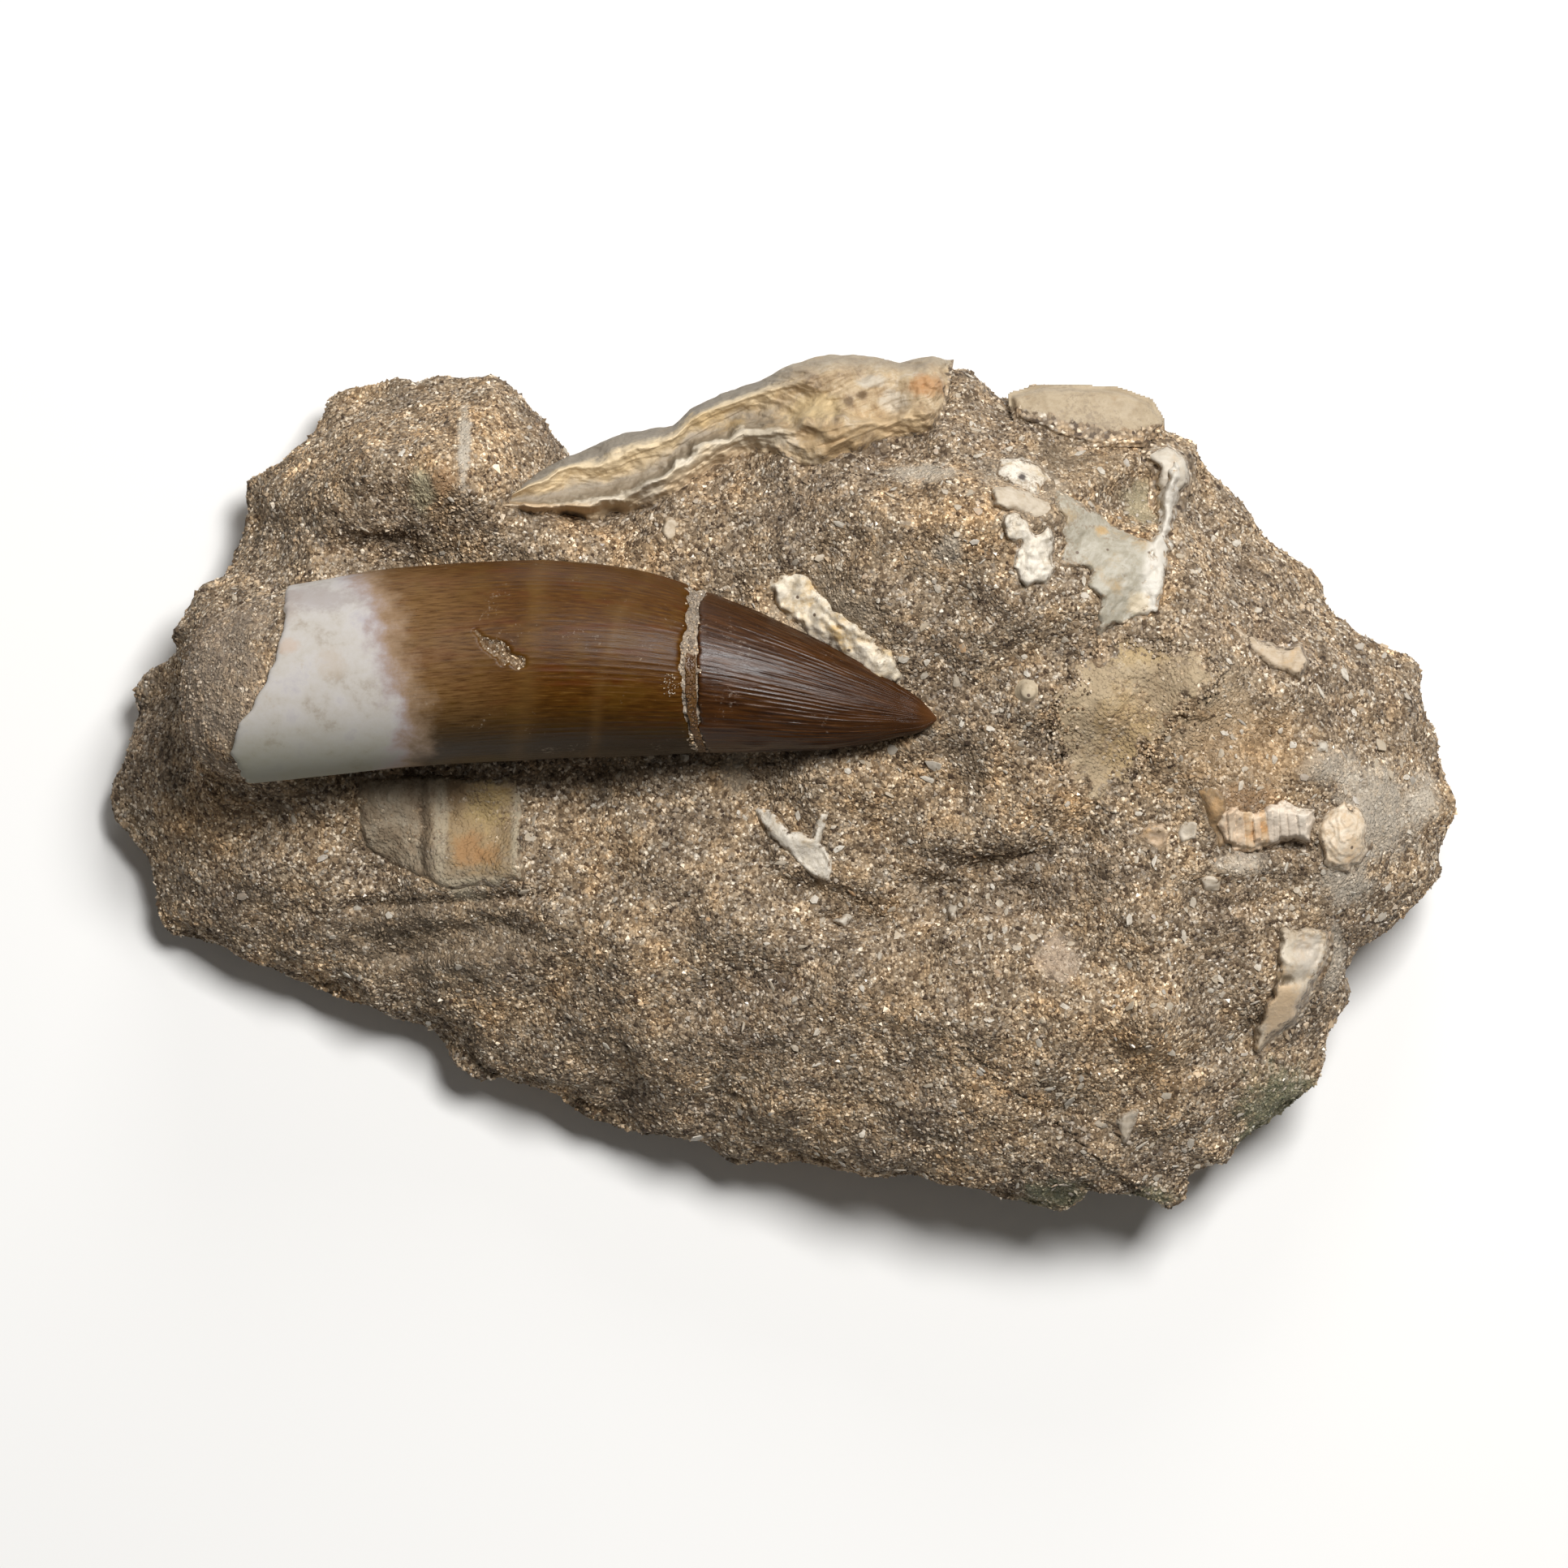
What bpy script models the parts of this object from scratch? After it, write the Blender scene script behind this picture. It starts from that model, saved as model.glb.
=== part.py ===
"""Fossil plesiosaur tooth in its loose block of sandy matrix, at real size.

The block lies on its flat underside with the tooth on top. The root end of the tooth is to -X,
its point to +X, and +Z is up. The origin is at the middle of the block's box, on the underside.

The block is one closed solid: a top surface drawn through spot heights, flanks that round in
under the rim, and a flat underside. The tooth, broken in two, and the shells and bones that
show in the sand are solids of their own, each in a seat cut into the block.
Lengths are in millimetres until the meshes are made, which are in metres.
"""
import math

import bmesh
import bpy
import numpy as np

MM = 0.001

# Clearance between a piece and the seat that holds it
SEAT_GAP = 0.32
# A sloping strip's seat is deeper than the gap, because its edges move outwards down the slope
SEAT_SLACK = 3.0
OPEN_ABOVE = 12.0

# The block's outline from above, counter-clockwise from its left end: the corners where the
# broken edge turns. It is star-shaped about BLOCK_CENTRE.
BLOCK_CENTRE = (-5.4, -3.7)
OUTLINE = [
    (-46.3, 0.3), (-43.9, -6.4), (-43.1, -9.5), (-42.2, -10.5), (-38.0, -12.1), (-34.6, -13.4),
    (-31.8, -14.0), (-28.5, -15.6), (-23.1, -17.9), (-20.6, -20.0), (-15.0, -21.9), (-9.6, -24.0),
    (-4.6, -25.3), (-3.4, -26.1), (-0.1, -26.5), (2.8, -25.7), (5.3, -26.8), (10.3, -27.5),
    (16.3, -28.6), (18.8, -29.2), (20.4, -28.8), (21.0, -28.0), (24.4, -28.1), (25.8, -28.9),
    (27.1, -28.1), (28.6, -26.7), (30.6, -26.1), (31.2, -24.5), (33.4, -23.7), (35.5, -21.3),
    (36.7, -18.5), (38.5, -14.0), (39.5, -10.9), (41.3, -10.2), (45.1, -6.7), (45.5, -4.4),
    (46.3, -1.9), (44.9, 2.0), (43.7, 7.1), (43.1, 8.2), (39.5, 10.5), (35.7, 14.8),
    (32.8, 17.9), (30.0, 20.0), (28.8, 21.3), (27.8, 22.9), (25.1, 25.6), (22.7, 26.4),
    (17.4, 26.7), (15.4, 26.4), (12.7, 28.5), (11.8, 29.1), (7.5, 28.7), (2.8, 29.2),
    (-2.0, 27.4), (-6.1, 26.1), (-7.6, 24.5), (-11.7, 23.8), (-12.6, 23.0), (-14.6, 22.5),
    (-17.1, 25.4), (-19.2, 27.2), (-20.1, 27.7), (-25.1, 27.4), (-26.8, 27.8), (-29.3, 26.8),
    (-31.6, 26.6), (-33.1, 24.0), (-36.8, 20.6), (-38.4, 15.2), (-40.3, 12.1), (-43.1, 7.9),
    (-45.2, 4.7),
]

# Spot heights of the block's top, (x, y, z), as a surveyor would give a hill
SPOTS = [
    (-44.8, 0.3, 6.5), (-42.6, 6.4, 8.0), (-39.2, 11.4, 9.5), (-36.4, 18.1, 9.0),
    (-31.4, 25.3, 9.0), (-25.9, 26.0, 12.0), (-20.3, 26.0, 13.0), (-23.7, 21.8, 19.5),
    (-29.2, 21.5, 16.5), (-18.1, 20.3, 17.0), (-15.3, 20.9, 12.5), (-27.6, 17.0, 15.5),
    (-22.6, 17.0, 16.0), (-33.1, 17.6, 13.5), (-38.1, 6.4, 11.5), (-40.3, -1.9, 9.5),
    (-41.4, -8.6, 7.0), (-34.8, -4.7, 12.0), (-31.4, 0.8, 12.5), (-34.8, -11.9, 7.5),
    (-25.9, -1.9, 13.0), (-22.6, -8.6, 13.5), (-28.7, -10.2, 10.5), (-24.8, -15.2, 7.5),
    (-14.8, -1.9, 14.5), (-14.8, -9.1, 15.5), (-14.8, -15.8, 12.0), (-14.8, -20.8, 8.0),
    (-6.4, -1.9, 16.0), (-6.4, -9.1, 17.0), (-4.8, -17.4, 14.5), (-3.7, -24.7, 9.0),
    (0.8, -0.2, 17.0), (1.9, -7.4, 17.5), (6.3, 0.9, 19.0), (10.8, 3.7, 20.3),
    (13.0, -5.2, 18.5), (7.4, -9.1, 17.0), (16.3, -9.1, 17.5), (6.3, -14.7, 18.0),
    (15.8, -14.7, 19.5), (7.4, -23.0, 14.0), (18.6, -24.1, 15.5), (26.9, -23.0, 15.0),
    (26.9, -13.0, 20.0), (24.1, -4.7, 19.5), (18.6, 2.0, 21.0), (26.3, 3.7, 21.0),
    (29.7, 9.2, 21.5), (35.2, 7.6, 18.5), (38.6, 3.7, 16.5), (35.2, -1.9, 19.0),
    (40.8, -1.9, 16.5), (44.1, -3.0, 13.0), (38.0, -8.6, 16.0), (35.2, -13.0, 16.0),
    (33.0, -19.7, 13.5), (33.0, 12.6, 15.0), (29.7, 17.6, 14.5), (26.3, 21.4, 16.5),
    (25.2, 14.8, 20.5), (20.2, 15.9, 22.5), (18.6, 20.3, 20.5), (18.6, 25.3, 15.5),
    (11.9, 26.5, 15.5), (13.0, 21.4, 21.8), (10.2, 17.6, 24.5), (13.0, 12.0, 23.5),
    (6.0, 13.6, 23.5), (4.7, 18.1, 22.5), (-0.9, 18.6, 20.5), (-4.5, 15.6, 19.0),
    (-10.2, 17.2, 17.5), (-16.8, 16.8, 16.5), (21.3, 9.8, 22.5), (16.3, 6.4, 22.0),
    (2.0, 25.5, 16.5), (-7.0, 22.6, 14.0), (5.8, 9.5, 21.5), (0.8, 12.8, 20.5),
]
SPOT_SOFTNESS = 2.5

# Lumps (+) and hollows (-) that stand off that surface more sharply than the spots can say:
# x, y, half length, half width, turn in degrees, height
LUMPS = [
    (-38.0, 6.6, 3.4, 6.6, 8.0, 7.2),        # sandy plug behind the root end
    (-20.6, 24.4, 1.5, 2.8, 12.0, 1.2),      # rib down the left hump
    (-28.6, 15.6, 3.2, 1.5, 10.0, -1.6),     # hollow at the foot of the hump
    (3.0, -8.6, 4.2, 1.8, -14.0, -1.6),      # dark hollows below the middle of the block
    (12.5, -7.4, 4.6, 1.9, 12.0, -1.7),
    (-24.0, -10.8, 5.0, 1.3, 6.0, -1.1),     # step below the bone plate
    (36.5, -16.4, 2.6, 1.6, 60.0, -1.1),     # bite beside the shell blade
    (22.5, -17.0, 5.0, 3.0, 20.0, 1.0),
    (31.0, -7.6, 3.4, 1.4, 0.0, -1.3),       # crack under the ribbed shell
    (13.6, 18.6, 3.6, 2.6, 0.0, 0.9),
    (24.0, 19.3, 2.6, 1.9, 30.0, -1.6),      # hollow beside the valve's rim
    (9.0, 22.2, 4.0, 1.2, 0.0, -0.9),
]
LUMP_SQUARENESS = 4.0

RIM_ROUNDING = 2.4
BASE_INSET = 0.13
BELLY = 0.012
GRID_ALONG = 48
GRID_ACROSS = 30
FLANK_RINGS = 3
ROUGH_WAVELENGTH = 6.5
ROUGH_HEIGHT = 0.42

# The tooth, station by station from the root end to the point: x, y and z of its middle, radius
TOOTH = np.array([
    (-38.2, 6.35, 18.5, 6.50), (-34.0, 6.90, 18.8, 6.62), (-27.3, 7.85, 19.2, 6.85),
    (-21.5, 8.25, 19.5, 6.85), (-14.8, 8.45, 19.8, 6.72), (-9.3, 8.20, 20.0, 6.25),
    (-5.1, 7.60, 20.2, 5.45), (-0.5, 6.70, 20.5, 4.45), (3.8, 5.75, 20.8, 3.30),
    (7.7, 5.00, 21.1, 1.80), (9.6, 4.60, 21.3, 0.85), (10.4, 4.45, 21.4, 0.10),
])
# Where the tooth's broken edges lie round its girth: degrees from +Y over the top, and x
ROOT_EDGE = [(0, -33.9), (55, -33.9), (80, -34.6), (96, -35.5), (113, -36.9), (134, -37.6),
             (157, -37.0), (200, -36.0), (280, -34.5), (360, -33.9)]
CROWN_BREAK = [(0, -6.5), (47, -6.6), (87, -7.05), (124, -6.8), (142, -6.4), (169, -6.0),
               (200, -6.2), (360, -6.5)]
TIP_BREAK = [(0, -5.2), (30, -5.6), (47, -5.8), (135, -5.8), (160, -5.3), (200, -5.2),
             (360, -5.2)]
TOOTH_SIDES = 48
TOOTH_RIDGES = 24
RIDGE_HEIGHT = 0.09
RIDGE_FADE_ROOT = 12.0
RIDGE_FADE_POINT = 2.0
POINT_CROWDING = 1.35
CROWN_STATIONS = 12
TIP_STATIONS = 9
SEAT_SIDES = 20
SEAT_STATIONS = 14
ROOT_HOLLOW = 1.2
CAP_RING = 0.6
CHIP = [(-22.1, 11.3), (-20.7, 10.2), (-19.4, 8.7), (-17.7, 7.9), (-18.4, 9.0), (-19.9, 10.2)]
CHIP_DEPTH = 0.55

# A piece set in the sand: the sizes of the rings that dome it, and how far its edge stands out
INSET_RINGS = (1.0, 0.84, 0.5)
INSET_LIP = 0.1

# Outlines of the pieces set in the sand, from above
BONE_PLATE = [(-29.4, 0.4), (-29.2, -3.0), (-28.9, -4.5), (-26.1, -5.8), (-22.8, -7.3),
              (-17.9, -6.6), (-18.1, -2.7), (-18.4, 0.3), (-23.7, 0.6)]
BONE_RIB = ((-24.3, 1.0), (-24.0, -6.9))
BONE_RIB_WIDTH = 0.7
VALVE = [(18.6, 20.1), (21.1, 18.6), (22.9, 17.6), (24.1, 16.8), (25.2, 16.4), (25.2, 12.1),
         (23.3, 11.0), (21.3, 10.1), (21.6, 12.0), (20.6, 14.5), (18.9, 14.9), (18.9, 17.6)]
VALVE_RIM_LEFT = [(26.7, 22.4), (25.9, 20.4), (25.7, 18.0), (25.1, 16.4), (24.8, 14.8),
                  (24.6, 12.9), (24.4, 11.7)]
VALVE_RIM_RIGHT = [(27.6, 21.9), (27.0, 20.2), (26.7, 18.0), (26.4, 16.4), (26.2, 14.8),
                   (25.9, 12.9), (25.4, 11.5)]
VALVE_RIM_DEPTH = 6.0
CURVED_SHELL = [(14.5, 21.3), (14.9, 22.1), (16.2, 22.3), (17.4, 21.7), (18.3, 20.8),
                (17.1, 19.9), (16.0, 20.5), (15.1, 20.6)]
SHELL_LUMP = [(14.8, 17.8), (15.5, 18.2), (16.6, 17.5), (17.9, 17.2), (18.3, 16.3),
              (18.3, 14.8), (17.7, 13.6), (16.4, 13.3), (15.7, 14.8), (15.7, 16.4)]
EDGE_SHELL = [(16.4, 26.3), (17.9, 26.8), (19.8, 26.6), (22.7, 26.5), (24.7, 25.7),
              (25.4, 24.6), (23.9, 23.9), (21.2, 24.1), (18.8, 24.8), (16.9, 25.2)]
CHALKY_SHELL = [(0.1, 13.0), (0.1, 13.8), (0.7, 14.5), (1.7, 14.3), (2.5, 13.1), (4.0, 11.7),
                (6.0, 9.9), (5.6, 9.3), (3.6, 10.4), (1.7, 11.8)]
BONE_PATCH = [(22.7, 10.0), (25.8, 10.1), (29.1, 8.9), (30.3, 7.6), (28.6, 5.3), (25.8, 3.4),
              (24.1, 0.9), (22.2, -1.3), (20.2, -1.1), (18.6, 0.9), (18.0, 3.7), (18.6, 6.4),
              (20.5, 8.7)]
SHELL_WEDGE = [(28.3, -0.5), (29.4, -0.3), (30.1, -1.6), (30.1, -4.1), (29.7, -4.3),
               (29.0, -2.7)]
RIBBED_LEFT = [(30.6, -1.9), (32.0, -2.1), (33.2, -1.8), (34.6, -1.4), (36.2, -1.8)]
RIBBED_RIGHT = [(30.6, -4.1), (32.0, -4.2), (33.3, -3.9), (34.7, -3.9), (36.0, -4.0)]
SHELL_DISC = (38.2, -3.6)
SHELL_DISC_RADIUS = (1.55, 2.2)
SHELL_BLADE = [(34.2, -10.1), (35.9, -9.9), (37.2, -10.3), (37.0, -11.9), (36.4, -13.3),
               (34.9, -16.0), (33.7, -17.1), (32.6, -18.2), (32.7, -16.6), (33.6, -14.4),
               (34.0, -11.9)]
SHELL_SPLINTER = [(-1.8, -1.7), (-0.9, -1.9), (0.5, -3.3), (1.9, -3.6), (2.4, -1.9),
                  (3.0, -2.1), (2.5, -4.0), (3.1, -5.1), (3.2, -6.7), (2.6, -6.9),
                  (1.1, -5.4), (-0.6, -3.9), (-1.6, -2.7)]
PEBBLE = (16.6, 6.3)
PEBBLE_RADIUS = 0.85

# The oyster along the top edge: its inner and outer edges, and the height of each
OYSTER_INNER = [(-20.0, 18.8, 17.6), (-18.1, 18.1, 17.6), (-15.9, 18.1, 17.5),
                (-13.8, 17.9, 17.7), (-11.4, 18.1, 18.0), (-9.3, 18.8, 18.3),
                (-7.7, 19.4, 18.8), (-6.2, 20.3, 19.0), (-4.4, 21.5, 19.0),
                (-2.6, 22.4, 19.0), (-0.3, 22.1, 19.8), (2.0, 21.5, 20.8),
                (4.7, 22.3, 20.8), (7.6, 23.3, 20.3), (9.6, 23.6, 19.8), (11.0, 25.4, 18.0)]
OYSTER_OUTER = [(-20.0, 19.3, 17.4), (-17.9, 20.6, 16.0), (-15.5, 22.2, 14.0),
                (-13.9, 22.9, 13.5), (-12.1, 23.6, 13.5), (-10.2, 24.3, 13.2),
                (-7.7, 24.7, 13.0), (-6.5, 25.8, 13.0), (-4.2, 26.9, 13.2),
                (-1.7, 27.7, 13.5), (0.6, 28.8, 13.8), (2.7, 29.4, 14.0),
                (5.5, 29.5, 14.2), (8.0, 29.0, 14.5), (10.2, 29.3, 14.8), (11.7, 29.2, 15.0)]
# Across it, from the inner edge: share of the width, share of the fall, height of the ledge
OYSTER_PROFILE = [(0.0, 0.0, 0.0), (0.14, 0.04, 0.9), (0.30, 0.10, 1.3), (0.42, 0.42, 0.3),
                  (0.62, 0.52, 0.0), (0.80, 0.55, 0.9), (0.92, 0.78, 0.7), (1.0, 1.0, 0.0)]
OYSTER_THICKNESS = 2.6
# A strip gets thinner, and its ledges lower, where it is narrower than this
STRIP_FULL_WIDTH = 4.0
STRIP_THINNEST = 0.15

# Colour, roughness of each kind of surface
FINISHES = {
    "sandy matrix": ((0.30, 0.24, 0.17), 0.95),
    "tooth crown": ((0.16, 0.075, 0.018), 0.38),
    "tooth tip": ((0.10, 0.045, 0.014), 0.32),
    "cream shell": ((0.50, 0.40, 0.26), 0.75),
    "white shell": ((0.60, 0.56, 0.48), 0.80),
    "orange shell": ((0.58, 0.42, 0.28), 0.70),
    "bone": ((0.38, 0.28, 0.16), 0.85),
    "pebble": ((0.46, 0.38, 0.27), 0.80),
}


def clear_objects():
    """Removes what the scene holds, so that only the fossil is left at the end."""
    for thing in list(bpy.data.objects):
        bpy.data.objects.remove(thing)


def finish(kind):
    """Returns the material of one kind of surface, made the first time it is asked for."""
    made = bpy.data.materials.get(kind)
    if made is None:
        colour, roughness = FINISHES[kind]
        made = bpy.data.materials.new(kind)
        made.use_nodes = True
        shader = made.node_tree.nodes["Principled BSDF"]
        shader.inputs["Base Color"].default_value = (*colour, 1.0)
        shader.inputs["Roughness"].default_value = roughness
        shader.inputs["Metallic"].default_value = 0.0
    return made


def add_solid(name, points, faces, kind=None, smooth=False):
    """Makes an object from points in millimetres. Its faces are turned to point outwards."""
    shape = bmesh.new()
    corners = [shape.verts.new(point) for point in np.asarray(points, float) * MM]
    for face in faces:
        shape.faces.new([corners[i] for i in face])
    bmesh.ops.recalc_face_normals(shape, faces=shape.faces)
    mesh = bpy.data.meshes.new(name)
    shape.to_mesh(mesh)
    shape.free()
    if smooth:
        mesh.shade_smooth()
        mesh.set_sharp_from_angle(angle=math.radians(40))
    solid = bpy.data.objects.new(name, mesh)
    bpy.context.scene.collection.objects.link(solid)
    if kind:
        mesh.materials.append(finish(kind))
    return solid


def mark_as_cutter(solid):
    """Keeps a helper solid out of sight: it only shapes its neighbours."""
    solid.hide_render = True
    solid.display_type = "WIRE"
    return solid


def add_to_seats(solid):
    """Puts a helper solid with those that are cut out of the block, all in one step."""
    seats = bpy.data.collections.get("seats") or bpy.data.collections.new("seats")
    seats.objects.link(mark_as_cutter(solid))


def cut_seats(block):
    """Cuts every seat out of the block at once, because seats side by side overlap."""
    step = block.modifiers.new("seats", "BOOLEAN")
    step.operation = "DIFFERENCE"
    step.solver = "EXACT"
    step.operand_type = "COLLECTION"
    step.collection = bpy.data.collections["seats"]


def combine(solid, other, operation):
    """Joins or cuts one solid with another that stays live, with the exact solver."""
    step = solid.modifiers.new(other.name, "BOOLEAN")
    step.operation = operation
    step.solver = "EXACT"
    step.object = other


def smooth_through(knots, values, at):
    """Cubic curve through hand-picked values: each stretch starts and ends at the mean slope."""
    knots, values = np.asarray(knots, float), np.asarray(values, float)
    slopes = np.gradient(values, knots, axis=0)
    left = np.clip(np.searchsorted(knots, at) - 1, 0, len(knots) - 2)
    width = knots[left + 1] - knots[left]
    t = ((at - knots[left]) / width)[..., None]
    width = width[..., None]
    return ((2 * t**3 - 3 * t**2 + 1) * values[left] + (t**3 - 2 * t**2 + t) * width * slopes[left]
            + (3 * t**2 - 2 * t**3) * values[left + 1] + (t**3 - t**2) * width * slopes[left + 1])


def waves(points, wavelength, height, turn=0.0, count=14):
    """Uneven swell: many crossing waves in space, each turned by the golden angle."""
    k = np.arange(count)
    rise = 1 - 2 * (k + 0.5) / count
    angle = k * math.pi * (3 - math.sqrt(5)) + turn
    level = np.sqrt(1 - rise**2)
    directions = np.stack([level * np.cos(angle), level * np.sin(angle), rise], axis=-1)
    lengths = wavelength * (0.65 + 0.7 * ((k * 0.618 + turn) % 1.0))
    phase = np.asarray(points) @ (directions / lengths[:, None]).T * 2 * math.pi + k * 2.4
    return np.sin(phase).sum(axis=-1) * height / math.sqrt(count / 2)


def rim_distance(angle):
    """Distance from BLOCK_CENTRE to the outline in each direction, along straight edges."""
    corners = np.array(OUTLINE) - BLOCK_CENTRE
    turned = np.arctan2(corners[:, 1], corners[:, 0])
    order = np.argsort(turned)
    corners, turned = corners[order], turned[order]
    after = np.searchsorted(turned, angle) % len(turned)
    first, second = corners[after - 1], corners[after]
    edge = second - first
    way = np.stack([np.cos(angle), np.sin(angle)], axis=-1)
    across = way[..., 0] * edge[..., 1] - way[..., 1] * edge[..., 0]
    return (first[..., 0] * edge[..., 1] - first[..., 1] * edge[..., 0]) / across


def spot_surface():
    """Solves the weights of a surface of soft cones, one on each spot, that meets every spot."""
    spots = np.array(SPOTS)
    plan, height = spots[:, :2], spots[:, 2]
    apart = np.linalg.norm(plan[:, None] - plan[None], axis=-1)
    cones = np.sqrt(apart**2 + SPOT_SOFTNESS**2)
    return plan, np.linalg.solve(cones, height - height.mean()), height.mean()


SPOT_PLAN, SPOT_WEIGHTS, SPOT_MEAN = spot_surface()


def ground(x, y):
    """Height of the block's top at (x, y): the spots' surface, its lumps and a light swell."""
    x, y = np.asarray(x, float), np.asarray(y, float)
    apart2 = (x[..., None] - SPOT_PLAN[:, 0])**2 + (y[..., None] - SPOT_PLAN[:, 1])**2
    z = np.sqrt(apart2 + SPOT_SOFTNESS**2) @ SPOT_WEIGHTS + SPOT_MEAN
    for cx, cy, half_length, half_width, turn, height in LUMPS:
        c, s = math.cos(math.radians(turn)), math.sin(math.radians(turn))
        along = np.abs((x - cx) * c + (y - cy) * s) / half_length
        across = np.abs((y - cy) * c - (x - cx) * s) / half_width
        z = z + height * np.exp(-along**LUMP_SQUARENESS - across**LUMP_SQUARENESS)
    return z + waves(np.stack([x, y, np.zeros_like(x)], axis=-1), ROUGH_WAVELENGTH, ROUGH_HEIGHT)


def square_to_disc(a, b):
    """Maps a square's grid to a disc, ring by ring: a point's larger side gives its radius."""
    wide = np.abs(a) >= np.abs(b)
    radius = np.where(wide, a, b)
    safe = np.where(radius == 0, 1.0, radius)
    angle = np.where(wide, math.pi / 4 * b / safe, math.pi / 2 - math.pi / 4 * a / safe)
    angle = np.where(radius < 0, angle + math.pi, angle)
    return np.abs(radius), (angle + math.pi) % (2 * math.pi) - math.pi


def block_points(along, across, flank_rings):
    """Top grid, and the rings of the flank from the rim down to the edge of the underside."""
    a, b = np.meshgrid(np.linspace(-1, 1, along + 1), np.linspace(-1, 1, across + 1),
                       indexing="ij")
    radius, angle = square_to_disc(a, b)
    reach = rim_distance(angle)
    x = BLOCK_CENTRE[0] + radius * reach * np.cos(angle)
    y = BLOCK_CENTRE[1] + radius * reach * np.sin(angle)
    top = np.stack([x, y, ground(x, y) - RIM_ROUNDING * radius**16], axis=-1)
    rim = np.concatenate([top[:-1, 0], top[-1, :-1], top[:0:-1, -1], top[0, :0:-1]])
    rings = []
    for k in range(1, flank_rings + 1):
        share = k / flank_rings
        size = 1 + BELLY * math.sin(math.pi * share) - BASE_INSET * share**2.2
        ring = rim.copy()
        ring[:, :2] = BLOCK_CENTRE + (rim[:, :2] - BLOCK_CENTRE) * size
        ring[:, 2] = rim[:, 2] * (1 - share)
        bump = waves(ring, ROUGH_WAVELENGTH, ROUGH_HEIGHT, turn=2.0)
        outward = ring[:, :2] - BLOCK_CENTRE
        outward /= np.linalg.norm(outward, axis=1, keepdims=True)
        ring[:, :2] += outward * bump[:, None]
        rings.append(ring)
    return top, rings


def ring_band(first, second, count):
    """Faces between two rings of the same number of points, given their first point's index."""
    return [(first + i, first + (i + 1) % count, second + (i + 1) % count, second + i)
            for i in range(count)]


def make_block():
    """The matrix: a grid for the top, rings for the flank and one flat face underneath."""
    top, rings = block_points(GRID_ALONG, GRID_ACROSS, FLANK_RINGS)
    rows, columns = top.shape[:2]
    index = np.arange(rows * columns).reshape(rows, columns)
    faces = [(index[i, j], index[i + 1, j], index[i + 1, j + 1], index[i, j + 1])
             for i in range(rows - 1) for j in range(columns - 1)]
    rim = np.concatenate([index[:-1, 0], index[-1, :-1], index[:0:-1, -1], index[0, :0:-1]])
    count = len(rim)
    start = rows * columns
    faces += [(rim[i], rim[(i + 1) % count], start + (i + 1) % count, start + i)
              for i in range(count)]
    for k in range(1, len(rings)):
        faces += ring_band(start + (k - 1) * count, start + k * count, count)
    faces.append([start + (len(rings) - 1) * count + i for i in range(count)])
    points = np.concatenate([top.reshape(-1, 3)] + rings)
    return add_solid("matrix", points, faces, "sandy matrix")


def grown(outline, by):
    """Moves a closed outline outwards by an even distance, with mitred corners."""
    outline = np.asarray(outline, float)
    following = np.roll(outline, -1, axis=0) - outline
    area = (outline[:, 0] * np.roll(outline[:, 1], -1)
            - np.roll(outline[:, 0], -1) * outline[:, 1]).sum()
    normal = np.stack([following[:, 1], -following[:, 0]], axis=-1) * (1 if area > 0 else -1)
    normal /= np.linalg.norm(normal, axis=1, keepdims=True)
    middle = normal + np.roll(normal, 1, axis=0)
    middle /= np.linalg.norm(middle, axis=1, keepdims=True)
    mitre = np.clip((middle * normal).sum(axis=1, keepdims=True), 0.5, 1.0)
    return outline + middle * by / mitre


def add_seat(name, outline, floor):
    """Adds a pocket of the grown outline, from its floor up through the block's top."""
    outline = grown(outline, SEAT_GAP)
    count = len(outline)
    low = np.column_stack([outline, np.full(count, floor - SEAT_GAP)])
    high = np.column_stack([outline, np.full(count, low[0, 2] + 2 * OPEN_ABOVE)])
    faces = ring_band(0, count, count) + [list(range(count)), list(range(count, 2 * count))]
    add_to_seats(add_solid(name + "_seat", np.concatenate([low, high]), faces))


def add_inset_piece(name, outline, kind, proud, depth, relief=None, middle=None):
    """A piece that shows in the sand: rings of its outline, domed proud of it, flat below."""
    outline = np.asarray(outline, float)
    middle = outline.mean(axis=0) if middle is None else np.asarray(middle, float)
    count = len(outline)
    rings = []
    for share in INSET_RINGS:
        plan = middle + (outline - middle) * share
        z = ground(plan[:, 0], plan[:, 1]) + proud * (1 - share**3) + INSET_LIP
        if relief:
            z = z + relief(plan[:, 0], plan[:, 1]) * (share < 1.0)
        rings.append(np.column_stack([plan, z]))
    centre_z = float(ground(*middle)) + proud + INSET_LIP
    if relief:
        centre_z += float(relief(*middle))
    floor = rings[0][:, 2].min() - depth
    base = np.column_stack([outline, np.full(count, floor)])
    points = np.concatenate([base] + rings + [[(*middle, centre_z)]])
    faces = [list(range(count))]
    for k in range(len(rings)):
        faces += ring_band(k * count, (k + 1) * count, count)
    last = len(rings) * count
    faces += [(last + i, last + (i + 1) % count, last + count) for i in range(count)]
    add_seat(name, outline, floor)
    return add_solid(name, points, faces, kind)


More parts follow.
